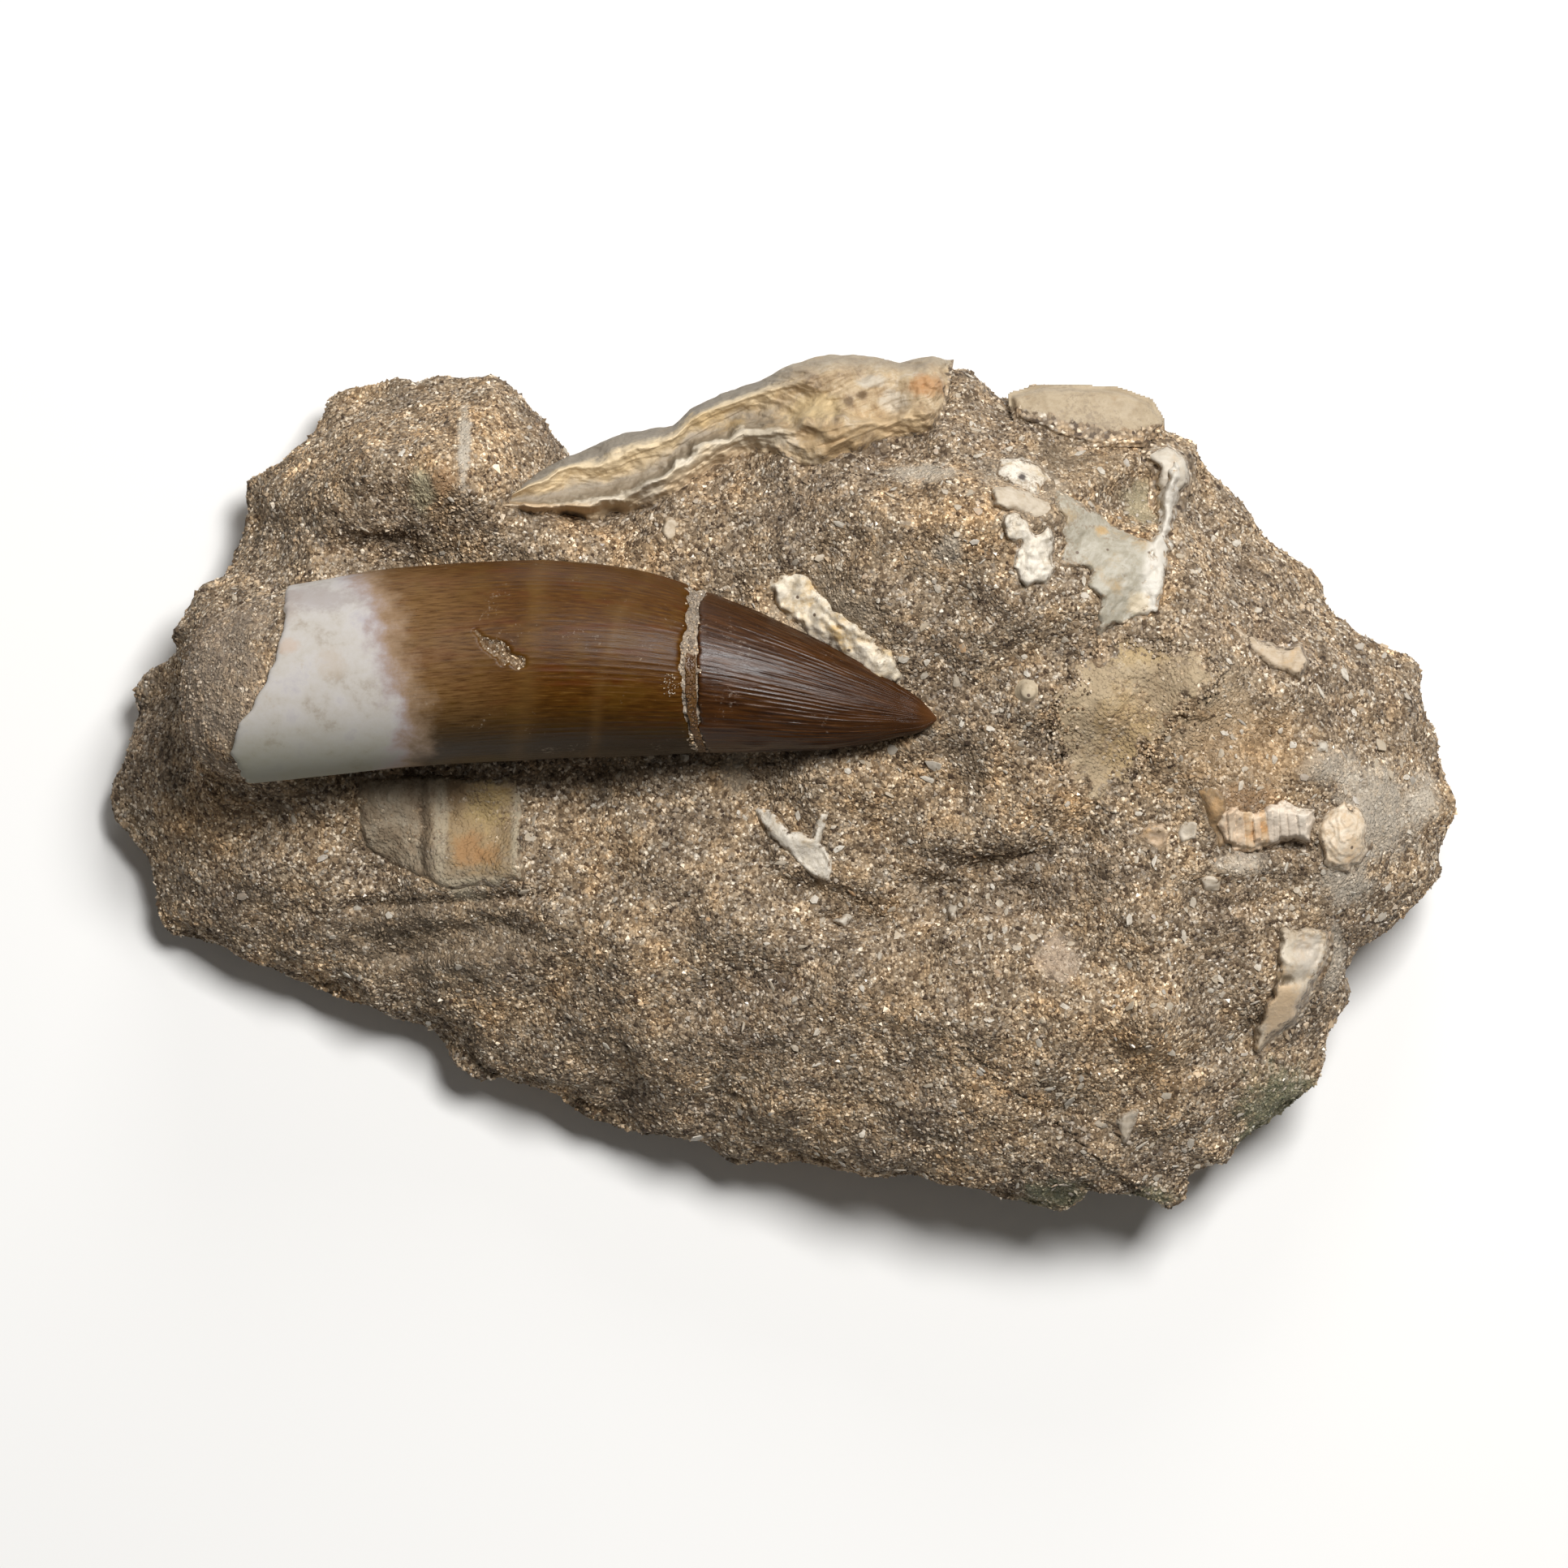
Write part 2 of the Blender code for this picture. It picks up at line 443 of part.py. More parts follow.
def ribbon_faces(rows, columns):
    """Faces of a closed ribbon: a top grid, a bottom grid after it, and the wall between."""
    top = np.arange(rows * columns).reshape(rows, columns)
    bottom = top + rows * columns
    faces = []
    for i in range(rows - 1):
        for j in range(columns - 1):
            faces.append((top[i, j], top[i + 1, j], top[i + 1, j + 1], top[i, j + 1]))
            faces.append((bottom[i, j], bottom[i, j + 1], bottom[i + 1, j + 1], bottom[i + 1, j]))
    edge = [(i, 0) for i in range(rows - 1)] + [(rows - 1, j) for j in range(columns - 1)]
    edge += [(i, columns - 1) for i in range(rows - 1, 0, -1)]
    edge += [(0, j) for j in range(columns - 1, 0, -1)]
    for here, after in zip(edge, edge[1:] + edge[:1]):
        faces.append((top[here], top[after], bottom[after], bottom[here]))
    return faces


def make_ribbon(name, left, right, profile, thickness, kind=None, by=0.0, lift=0.0):
    """A layered strip between two edges with heights, raised across by a ledge profile.

    by moves its edges outwards and lift its top upwards, which turns it into its own cutter.
    """
    left, right = np.asarray(left, float), np.asarray(right, float)
    if by:
        around = grown(np.concatenate([left[:, :2], right[::-1, :2]]), by)
        left = np.column_stack([around[:len(left)], left[:, 2]])
        right = np.column_stack([around[len(left):][::-1], right[:, 2]])
    across, fall, ledge = np.array(profile).T
    width = np.linalg.norm(right[:, :2] - left[:, :2], axis=1)
    taper = np.clip(width / STRIP_FULL_WIDTH, STRIP_THINNEST, 1.0)
    plan = left[:, None, :2] + across[None, :, None] * (right - left)[:, None, :2]
    z = left[:, None, 2] + fall[None] * (right - left)[:, None, 2] + ledge[None] * taper[:, None]
    body = thickness * taper[:, None]
    top = np.concatenate([plan, (z + lift)[..., None]], axis=-1)
    bottom = np.concatenate([plan, (z - body - SEAT_SLACK * by)[..., None]], axis=-1)
    points = np.concatenate([top.reshape(-1, 3), bottom.reshape(-1, 3)])
    return add_solid(name, points, ribbon_faces(len(left), len(across)), kind)


def tooth_ring(x, angle, grow=0.0, ridge=0.0, sides=None):
    """Points of the tooth's skin at each x and angle, on the circle of that station.

    grow adds to the radius. With sides, the ring's flats clear the circle, not its corners.
    """
    station = np.clip(x, TOOTH[0, 0], TOOTH[-1, 0])
    middle = smooth_through(TOOTH[:, 0], TOOTH[:, 1:], station)
    radius = np.maximum(middle[..., 2], 0.05) + grow
    radius = radius - ridge * (0.5 - 0.5 * np.cos(TOOTH_RIDGES * angle))
    if sides:
        radius = radius / math.cos(math.pi / sides)
    return np.stack([x, middle[..., 0] + radius * np.cos(angle),
                     middle[..., 1] + radius * np.sin(angle)], axis=-1)


def edge_at(edge, angle):
    """x of a broken edge at each angle round the girth."""
    degrees, x = np.array(edge, float).T
    return np.interp(np.degrees(angle) % 360, degrees, x)


def tooth_solid(name, start, end, stations, kind, hollow=0.0, to_point=False):
    """One length of the tooth: rings between two edges, closed by a cap or by the point."""
    angle = np.linspace(0, 2 * math.pi, TOOTH_SIDES, endpoint=False)
    share = np.linspace(0, 1, stations)[:, None]
    if to_point:
        share = 1 - (1 - share)**POINT_CROWDING
    x = edge_at(start, angle) * (1 - share) + end(angle) * share
    fade = (np.clip((x - TOOTH[0, 0]) / RIDGE_FADE_ROOT, 0.15, 1.0)
            * np.clip((TOOTH[-1, 0] - x) / RIDGE_FADE_POINT, 0, 1))
    skin = tooth_ring(x, angle[None] + 0 * x, ridge=RIDGE_HEIGHT * fade)
    first_middle = skin[0].mean(axis=0) + (hollow, 0.0, 0.0)
    last_middle = skin[-1].mean(axis=0)
    inner = (skin[0] - first_middle) * CAP_RING + first_middle
    rings = [inner] + list(skin)
    points = np.concatenate(rings + [[first_middle], [last_middle]])
    count = TOOTH_SIDES
    faces = []
    for k in range(len(rings) - 1):
        faces += ring_band(k * count, (k + 1) * count, count)
    pole = len(rings) * count
    last = (len(rings) - 1) * count
    faces += [(i, (i + 1) % count, pole) for i in range(count)]
    faces += [(last + i, last + (i + 1) % count, pole + 1) for i in range(count)]
    return add_solid(name, points, faces, kind, smooth=True)


def tooth_seat():
    """The pocket for the whole tooth: its skin and both ends, moved out by the gap."""
    gap = SEAT_GAP + 0.05
    angle = np.linspace(0, 2 * math.pi, SEAT_SIDES, endpoint=False)
    share = np.linspace(0, 1, SEAT_STATIONS)[:, None]
    x = (edge_at(ROOT_EDGE, angle) - gap) * (1 - share) + (TOOTH[-1, 0] + gap) * share
    skin = tooth_ring(x, angle + 0 * x, grow=gap, sides=SEAT_SIDES)
    last = (SEAT_STATIONS - 1) * SEAT_SIDES
    faces = [list(range(SEAT_SIDES)), list(range(last, last + SEAT_SIDES))]
    for k in range(SEAT_STATIONS - 1):
        faces += ring_band(k * SEAT_SIDES, (k + 1) * SEAT_SIDES, SEAT_SIDES)
    return add_solid("tooth_seat", skin.reshape(-1, 3), faces)


def make_tooth():
    """The tooth in its two lengths, the seat that both lie in, and the chip in the crown."""
    crown = tooth_solid("tooth_crown", ROOT_EDGE, lambda angle: edge_at(CROWN_BREAK, angle),
                        CROWN_STATIONS, "tooth crown", hollow=ROOT_HOLLOW)
    tooth_solid("tooth_tip", TIP_BREAK, lambda angle: np.full_like(angle, TOOTH[-1, 0]),
                TIP_STATIONS, "tooth tip", to_point=True)
    add_to_seats(tooth_seat())
    chip = np.array(CHIP)
    middle = smooth_through(TOOTH[:, 0], TOOTH[:, 1:], chip[:, 0])
    skin = tooth_ring(chip[:, 0], np.arccos((chip[:, 1] - middle[:, 0]) / middle[:, 2]))
    low = np.column_stack([chip, skin[:, 2] - CHIP_DEPTH])
    high = np.column_stack([chip, skin[:, 2] + OPEN_ABOVE])
    faces = ring_band(0, len(chip), len(chip))
    faces += [list(range(len(chip))), list(range(len(chip), 2 * len(chip)))]
    cutter = mark_as_cutter(add_solid("crown_chip", np.concatenate([low, high]), faces))
    combine(crown, cutter, "DIFFERENCE")


def rib(first, second, width, height):
    """Relief of one straight rib: a rounded crest along a line."""
    (x0, y0), (x1, y1) = first, second
    length = math.hypot(x1 - x0, y1 - y0)

    def relief(x, y):
        offset = ((x - x0) * (y1 - y0) - (y - y0) * (x1 - x0)) / length
        return height * np.exp(-(offset / width)**2)
    return relief


def make_oyster():
    """The layered oyster that forms the middle of the top edge."""
    name = "oyster_shell"
    add_to_seats(make_ribbon(name + "_seat", OYSTER_INNER, OYSTER_OUTER, OYSTER_PROFILE,
                             OYSTER_THICKNESS, by=SEAT_GAP, lift=OPEN_ABOVE))
    make_ribbon(name, OYSTER_INNER, OYSTER_OUTER, OYSTER_PROFILE, OYSTER_THICKNESS, "cream shell")


def on_ground(edge, lift):
    """Gives each point of an edge the height of the sand under it, and a little more."""
    edge = np.asarray(edge, float)
    return np.column_stack([edge, ground(edge[:, 0], edge[:, 1]) + lift])


def make_valve():
    """The pale valve: a flat sheet in the sand, grown with the thick rim along its right side."""
    profile = [(0.0, 0.0, 0.3), (0.5, 0.5, 1.3), (1.0, 1.0, 0.2)]
    left, right = on_ground(VALVE_RIM_LEFT, 0.9), on_ground(VALVE_RIM_RIGHT, 0.6)
    add_to_seats(make_ribbon("valve_rim_seat", left, right, profile, VALVE_RIM_DEPTH,
                             by=SEAT_GAP, lift=OPEN_ABOVE))
    rim = make_ribbon("valve_rim", left, right, profile, VALVE_RIM_DEPTH)
    sheet = add_inset_piece("valve_shell", VALVE, "white shell", 0.6, 1.2,
                            middle=(22.3, 14.9))
    combine(sheet, mark_as_cutter(rim), "UNION")


def make_ribbed_shell():
    """The ribbed shell seen edge on: a row of upright ribs."""
    left, right = on_ground(RIBBED_LEFT, 0.5), on_ground(RIBBED_RIGHT, 0.5)
    profile = [(0.0, 0.0, 0.0), (0.25, 0.25, 0.8), (0.75, 0.75, 0.8), (1.0, 1.0, 0.0)]
    thickness = 4.0
    add_to_seats(make_ribbon("ribbed_shell_seat", left, right, profile, thickness,
                             by=SEAT_GAP, lift=OPEN_ABOVE))
    make_ribbon("ribbed_shell", left, right, profile, thickness, "orange shell")


def circle(middle, radii, sides):
    """Outline of an ellipse."""
    angle = np.linspace(0, 2 * math.pi, sides, endpoint=False)
    return np.column_stack([middle[0] + radii[0] * np.cos(angle),
                            middle[1] + radii[1] * np.sin(angle)])


def main():
    clear_objects()
    block = make_block()
    make_tooth()
    make_oyster()
    make_valve()
    make_ribbed_shell()
    add_inset_piece("bone_plate", BONE_PLATE, "bone", 0.7, 1.2,
                    relief=rib(*BONE_RIB, BONE_RIB_WIDTH, 0.6))
    add_inset_piece("curved_shell", CURVED_SHELL, "white shell", 0.7, 1.0,
                    middle=(16.9, 20.9))
    add_inset_piece("shell_lump", SHELL_LUMP, "white shell", 1.0, 1.0,
                    middle=(16.9, 15.9))
    add_inset_piece("edge_shell", EDGE_SHELL, "cream shell", 0.9, 1.2,
                    middle=(21.2, 25.3))
    add_inset_piece("chalky_shell", CHALKY_SHELL, "white shell", 0.7, 1.0,
                    middle=(2.4, 12.2))
    add_inset_piece("bone_patch", BONE_PATCH, "bone", 0.4, 1.0, middle=(23.5, 5.2))
    add_inset_piece("shell_wedge", SHELL_WEDGE, "orange shell", 0.6, 0.9)
    add_inset_piece("shell_disc", circle(SHELL_DISC, SHELL_DISC_RADIUS, 14),
                    "orange shell", 0.9, 0.9)
    add_inset_piece("shell_blade", SHELL_BLADE, "cream shell", 0.9, 1.0,
                    middle=(34.9, -13.2))
    add_inset_piece("shell_splinter", SHELL_SPLINTER, "white shell", 0.5, 0.8,
                    middle=(1.3, -4.3))
    add_inset_piece("pebble", circle(PEBBLE, (PEBBLE_RADIUS, PEBBLE_RADIUS), 12),
                    "pebble", 0.7, 0.7)
    cut_seats(block)


main()
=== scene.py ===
# %% [markdown]
# # A fossil plesiosaur tooth on its block of sandy matrix
#
# The object is a brown, curved tooth with a white root end. It lies on a loose block of weakly
# cemented sand that also holds shells and scraps of bone. The frame below is the same object as
# plain solids at its real size. Each cell dresses one part of it: first the shape, worked out
# with numpy as a function of two parameters, and then the finish, made of shader nodes.
#
# Lengths are in millimetres until a mesh is made, because sand and shell are easier to think of
# that way. The frame and the scene are in metres, and so are the lamps and the floor.

# %% Load the frame
import math

import bpy
import numpy as np
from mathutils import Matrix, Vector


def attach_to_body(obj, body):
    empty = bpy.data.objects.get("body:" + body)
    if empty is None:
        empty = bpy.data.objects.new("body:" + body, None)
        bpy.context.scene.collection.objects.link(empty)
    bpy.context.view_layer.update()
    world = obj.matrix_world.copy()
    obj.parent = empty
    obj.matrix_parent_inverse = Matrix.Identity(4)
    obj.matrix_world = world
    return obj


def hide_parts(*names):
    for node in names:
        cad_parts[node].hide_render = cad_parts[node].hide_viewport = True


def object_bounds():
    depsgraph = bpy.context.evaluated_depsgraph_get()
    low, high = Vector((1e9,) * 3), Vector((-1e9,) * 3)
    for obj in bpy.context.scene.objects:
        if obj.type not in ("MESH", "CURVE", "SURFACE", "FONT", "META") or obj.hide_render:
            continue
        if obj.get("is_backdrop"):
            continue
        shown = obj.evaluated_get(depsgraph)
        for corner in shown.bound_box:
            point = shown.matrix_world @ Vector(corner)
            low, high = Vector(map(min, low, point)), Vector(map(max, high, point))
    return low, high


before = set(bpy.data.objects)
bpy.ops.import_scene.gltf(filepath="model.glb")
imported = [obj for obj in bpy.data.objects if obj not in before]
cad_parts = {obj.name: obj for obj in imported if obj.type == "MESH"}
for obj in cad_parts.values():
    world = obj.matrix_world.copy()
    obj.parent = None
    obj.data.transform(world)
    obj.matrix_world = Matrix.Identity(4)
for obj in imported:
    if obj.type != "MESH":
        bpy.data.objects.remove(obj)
cad_box = [list(map(float, corner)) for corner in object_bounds()]
print("solids in the frame:", len(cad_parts))

# %% [markdown]
# ## The camera
#
# The photograph looks straight down on the block. A long lens far above it gives the same calm
# perspective: the rim of the block, which lies lower than the tooth, shrinks by only a percent.
# The picture is 107.3 mm wide at the height of the tooth.

# %% Camera
MM = 0.001
PICTURE_WIDTH = 107.3
PICTURE_LEVEL = 18.0
CAMERA_DISTANCE = 700.0
SENSOR = 36.0

camera_data = bpy.data.cameras.new("camera")
camera_data.sensor_width = SENSOR
camera_data.lens = SENSOR * CAMERA_DISTANCE / PICTURE_WIDTH
camera_data.clip_start = 0.01
camera = bpy.data.objects.new("camera", camera_data)
camera.location = (0.0, 0.0, (PICTURE_LEVEL + CAMERA_DISTANCE) * MM)
bpy.context.scene.collection.objects.link(camera)
bpy.context.scene.camera = camera
print("lens", round(camera_data.lens, 1), "mm")

# %% [markdown]
# ## Light and floor
#
# Fossils are often shot under one large soft lamp. Here it stands high beyond the upper right of
# the picture, so that the tooth has a soft sheen and a short shadow on its lower side. A weak low
# lamp beyond the top edge adds a second row of highlights. The floor is plain and pale.

# %% Floor, lamps and sky
KEY_PLACE, KEY_SIZE, KEY_POWER = (0.16, 0.235, 0.585), 0.20, 5.4
LOW_PLACE, LOW_SIZE, LOW_POWER = (0.06, 0.55, 0.34), 0.20, 0.7
SKY_COLOUR, SKY_STRENGTH = (1.0, 0.98, 0.95, 1.0), 0.11
FLOOR_COLOUR, FLOOR_REACH = (0.80, 0.79, 0.77, 1.0), 3.0


def new_object(name, mesh):
    """Links a mesh as an object at the origin, unturned and unscaled."""
    made = bpy.data.objects.new(name, mesh)
    bpy.context.scene.collection.objects.link(made)
    return made


def add_lamp(name, place, size, power):
    """A square area lamp at a place in metres, turned to face the middle of the block."""
    lamp = bpy.data.lights.new(name, "AREA")
    lamp.shape = "SQUARE"
    lamp.size = size
    lamp.energy = power
    made = bpy.data.objects.new(name, lamp)
    made.location = place
    aim = -made.location.normalized()
    made.rotation_euler = aim.to_track_quat("-Z", "Y").to_euler()
    bpy.context.scene.collection.objects.link(made)


add_lamp("key_lamp", KEY_PLACE, KEY_SIZE, KEY_POWER)
add_lamp("low_lamp", LOW_PLACE, LOW_SIZE, LOW_POWER)

sky = bpy.data.worlds.new("sky")
sky.use_nodes = True
sky.node_tree.nodes["Background"].inputs["Color"].default_value = SKY_COLOUR
sky.node_tree.nodes["Background"].inputs["Strength"].default_value = SKY_STRENGTH
bpy.context.scene.world = sky
bpy.context.scene.view_settings.view_transform = "Standard"

floor_mesh = bpy.data.meshes.new("floor")
floor_mesh.from_pydata([(FLOOR_REACH * side, FLOOR_REACH * end, 0)
                        for side, end in ((-1, -1), (1, -1), (1, 1), (-1, 1))], [],
                       [(0, 1, 2, 3)])
floor = new_object("floor", floor_mesh)
floor_finish = bpy.data.materials.new("floor")
floor_finish.use_nodes = True
floor_shader = floor_finish.node_tree.nodes["Principled BSDF"]
floor_shader.inputs["Base Color"].default_value = FLOOR_COLOUR
floor_shader.inputs["Roughness"].default_value = 0.9
floor_mesh.materials.append(floor_finish)
floor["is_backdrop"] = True
print("floor, two lamps and a sky")

# %% [markdown]
# ## From arrays to a mesh
#
# Every new piece is a grid of points that numpy works out in one go. One helper turns arrays of
# points and faces into a mesh. It also sees to it that faces look outwards: it adds up the
# volume that they enclose, and turns them all when that comes out negative.

# %% Helper: make a piece


def make_piece(name, points, quads, finish, tris=None, corner_uv=None, values=None, smooth=True):
    """A mesh from points in millimetres, rows of four corners, and rows of three.

    The volume is a sum of corner products a . (b x c) over the triangles, negative inside out.
    corner_uv has a pair for each corner of each quad, and values one number for each point.
    """
    points, quads = np.asarray(points, float), np.asarray(quads, np.int64)
    tris = np.empty((0, 3), np.int64) if tris is None else np.asarray(tris, np.int64)
    halves = np.concatenate([quads[:, :3], quads[:, [0, 2, 3]], tris])
    a, b, c = (points[halves[:, k]] for k in range(3))
    if (a * np.cross(b, c)).sum() < 0:
        quads, tris = quads[:, ::-1], tris[:, ::-1]
        corner_uv = None if corner_uv is None else corner_uv[:, ::-1]
    corners = np.concatenate([quads.ravel(), tris.ravel()]).astype(np.int32)
    starts = np.concatenate([4 * np.arange(len(quads)), quads.size + 3 * np.arange(len(tris))])
    mesh = bpy.data.meshes.new(name)
    mesh.vertices.add(len(points))
    mesh.vertices.foreach_set("co", (points * MM).astype(np.float32).ravel())
    mesh.loops.add(len(corners))
    mesh.loops.foreach_set("vertex_index", corners)
    mesh.polygons.add(len(starts))
    mesh.polygons.foreach_set("loop_start", starts.astype(np.int32))
    mesh.polygons.foreach_set("use_smooth", np.full(len(starts), smooth))
    if corner_uv is not None:
        flat = np.zeros((len(corners), 2), np.float32)
        flat[:quads.size] = corner_uv.reshape(-1, 2)
        mesh.uv_layers.new(name="surface").data.foreach_set("uv", flat.ravel())
    for label, numbers in (values or {}).items():
        layer = mesh.attributes.new(label, "FLOAT", "POINT")
        layer.data.foreach_set("value", np.asarray(numbers, np.float32).ravel())
    mesh.update(calc_edges=True)
    mesh.materials.append(finish)
    print(f"{name}: {len(halves)} triangles")
    return new_object(name, mesh)


def attach(piece, replaced=None):
    """Puts a piece in its body, root, and hides the solid that it replaces, where there is one."""
    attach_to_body(piece, "root")
    if replaced:
        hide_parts(replaced)


print("mesh helpers are ready")

# %% [markdown]
# ## Faces of grids, tubes and slabs
#
# Two layouts cover almost every piece here. A tube is a stack of rings with a pole at each end,
# which suits the tooth. A slab is a top and a bottom surface over the same grid, of which only
# some cells are kept, so it can take the ragged outline of any scrap of shell.

# %% Helpers: faces of the layouts


def grid_faces(rows, columns):
    """Quads of a grid whose points are numbered row by row."""
    index = np.arange(rows * columns).reshape(rows, columns)
    return np.stack([index[:-1, :-1], index[1:, :-1], index[1:, 1:], index[:-1, 1:]],
                    axis=-1).reshape(-1, 4)


def tube_faces(rows, around, first=0):
    """Quads between rings: as a grid, with the last column joined to the first."""
    index = first + np.arange(rows * around).reshape(rows, around)
    after = np.roll(index, -1, axis=1)
    return np.stack([index[:-1], index[1:], after[1:], after[:-1]], axis=-1).reshape(-1, 4)


def closed_tube(rings, first_pole, last_pole):
    """Points, quads and end fans of a stack of rings with a pole at either end."""
    rows, count = rings.shape[:2]
    ring, last = np.arange(count), (rows - 1) * count
    after, pole = np.roll(ring, -1), np.full(count, rows * count)
    fans = np.concatenate([np.stack([ring, after, pole], axis=-1),
                           np.stack([last + ring, pole + 1, last + after], axis=-1)])
    points = np.concatenate([rings.reshape(-1, 3), [first_pole, last_pole]])
    return points, tube_faces(rows, count), fans


def closed_slab(top, bottom, keep):
    """Points, faces and grid places of a slab: its kept cells, above and below, and a wall.

    A wall stands on each side of a cell that no neighbour walks along the other way.
    """
    rows, columns = top.shape[:2]
    count = rows * columns
    quads = grid_faces(rows, columns)[keep.ravel()]
    sides = np.concatenate([quads[:, [k, (k + 1) % 4]] for k in range(4)])
    there, back = sides[:, 0] * count + sides[:, 1], sides[:, 1] * count + sides[:, 0]
    low, high = sides[~np.isin(there, back)].T
    walls = np.stack([high, low, low + count, high + count], axis=-1)
    faces = np.concatenate([quads, quads[:, ::-1] + count, walls])
    used, index = np.unique(faces, return_inverse=True)
    points = np.concatenate([top.reshape(-1, 3), bottom.reshape(-1, 3)])[used]
    return points, index.reshape(faces.shape), used % count


flat_cell = np.zeros((2, 2, 3))
print("faces of a slab of one cell:",
      len(closed_slab(flat_cell, flat_cell, np.ones((1, 1), bool))[1]))

# %% [markdown]
# ## Unevenness
#
# Stone is uneven in two ways. A broad swell comes from crossing waves. The crumbly sort is
# lattice noise: each whole-number corner of space has a scrambled value of its own, and the
# values of the eight corners round a point are blended. Both are the same on every run.

# %% Helpers: swell, crumbs and blends


def waves(points, wavelength, height, turn=0.0, count=14):
    """Sum of sines along directions turned by the golden angle, of uneven wavelengths."""
    k = np.arange(count)
    rise = 1 - 2 * (k + 0.5) / count
    angle = k * math.pi * (3 - math.sqrt(5)) + turn
    level = np.sqrt(1 - rise**2)
    directions = np.stack([level * np.cos(angle), level * np.sin(angle), rise], axis=-1)
    lengths = wavelength * (0.65 + 0.7 * ((k * 0.618 + turn) % 1.0))
    phase = np.asarray(points) @ (directions / lengths[:, None]).T * 2 * math.pi + k * 2.4
    return np.sin(phase).sum(axis=-1) * height / math.sqrt(count / 2)


def corner_value(corner, seed):
    """A value from 0 to 1 for each whole-number corner: its coordinates, scrambled."""
    mixed = (corner[..., 0] * 73856093) ^ (corner[..., 1] * 19349663) ^ (corner[..., 2] * 83492791)
    mixed = (mixed ^ (seed * 668265263)) & 0xFFFFFFFF
    mixed = ((mixed ^ (mixed >> 13)) * 1274126177) & 0xFFFFFFFF
    return ((mixed ^ (mixed >> 16)) & 0xFFFF) / 65535.0


def crumble(points, size, seed, octaves=1):
    """Lattice noise from -1 to 1, with each further octave half as large and half as high."""
    points = np.asarray(points, float)
    total, height = np.zeros(points.shape[:-1]), 1.0
    for octave in range(octaves):
        place = points / (size / 2**octave) + 17.3 * octave
        low = np.floor(place).astype(np.int64)
        part = place - low
        part = part * part * (3 - 2 * part)
        value = np.zeros(points.shape[:-1])
        for corner in np.ndindex(2, 2, 2):
            share = np.where(corner, part, 1 - part).prod(axis=-1)
            value += share * corner_value(low + np.array(corner), seed + octave)
        total += (2 * value - 1) * height
        height *= 0.5
    return total


def flat_noise(x, y, size, seed, octaves=1):
    """Lattice noise on a plane."""
    return crumble(np.stack([x, y, np.zeros_like(x)], axis=-1), size, seed, octaves)


def blend_step(value, low, high):
    """0 below low, 1 above high and a smooth S between."""
    share = np.clip((value - low) / (high - low), 0, 1)
    return share * share * (3 - 2 * share)


def smooth_through(knots, values, at):
    """Cubic curve through values at knots: each stretch starts and ends at the mean slope."""
    slopes = np.gradient(values, knots, axis=0)
    left = np.clip(np.searchsorted(knots, at) - 1, 0, len(knots) - 2)
    width = knots[left + 1] - knots[left]
    t = ((at - knots[left]) / width)[..., None]
    width = width[..., None]
    return ((2 * t**3 - 3 * t**2 + 1) * values[left] + (t**3 - 2 * t**2 + t) * width * slopes[left]
            + (3 * t**2 - 2 * t**3) * values[left + 1] + (t**3 - t**2) * width * slopes[left + 1])


print("noise at one point:", round(float(crumble(np.array([1.2, 3.4, 5.6]), 1.0, 7)), 3))

# %% [markdown]
# ## The block's form
#
# The matrix is one broken lump. Its outline from above is a list of the corners where the broken
# edge turns, and its top is a surface through spot heights, as on a map of a hill. The same
# corners and spots shape the solid in the frame, so the detailed block fits it. Sharper lumps
# and hollows, such as the plug of sand behind the tooth, stand on that surface.

# %% Outline, spot heights and lumps
BLOCK_CENTRE = (-5.4, -3.7)
OUTLINE = np.array([
    (-46.3, 0.3), (-43.9, -6.4), (-43.1, -9.5), (-42.2, -10.5), (-38.0, -12.1), (-34.6, -13.4),
    (-31.8, -14.0), (-28.5, -15.6), (-23.1, -17.9), (-20.6, -20.0), (-15.0, -21.9), (-9.6, -24.0),
    (-4.6, -25.3), (-3.4, -26.1), (-0.1, -26.5), (2.8, -25.7), (5.3, -26.8), (10.3, -27.5),
    (16.3, -28.6), (18.8, -29.2), (20.4, -28.8), (21.0, -28.0), (24.4, -28.1), (25.8, -28.9),
    (27.1, -28.1), (28.6, -26.7), (30.6, -26.1), (31.2, -24.5), (33.4, -23.7), (35.5, -21.3),
    (36.7, -18.5), (38.5, -14.0), (39.5, -10.9), (41.3, -10.2), (45.1, -6.7), (45.5, -4.4),
    (46.3, -1.9), (44.9, 2.0), (43.7, 7.1), (43.1, 8.2), (39.5, 10.5), (35.7, 14.8),
    (32.8, 17.9), (30.0, 20.0), (28.8, 21.3), (27.8, 22.9), (25.1, 25.6), (22.7, 26.4),
    (17.4, 26.7), (15.4, 26.4), (12.7, 28.5), (11.8, 29.1), (7.5, 28.7), (2.8, 29.2),
    (-2.0, 27.4), (-6.1, 26.1), (-7.6, 24.5), (-11.7, 23.8), (-12.6, 23.0), (-14.6, 22.5),
    (-17.1, 25.4), (-19.2, 27.2), (-20.1, 27.7), (-25.1, 27.4), (-26.8, 27.8), (-29.3, 26.8),
    (-31.6, 26.6), (-33.1, 24.0), (-36.8, 20.6), (-38.4, 15.2), (-40.3, 12.1), (-43.1, 7.9),
    (-45.2, 4.7),
])
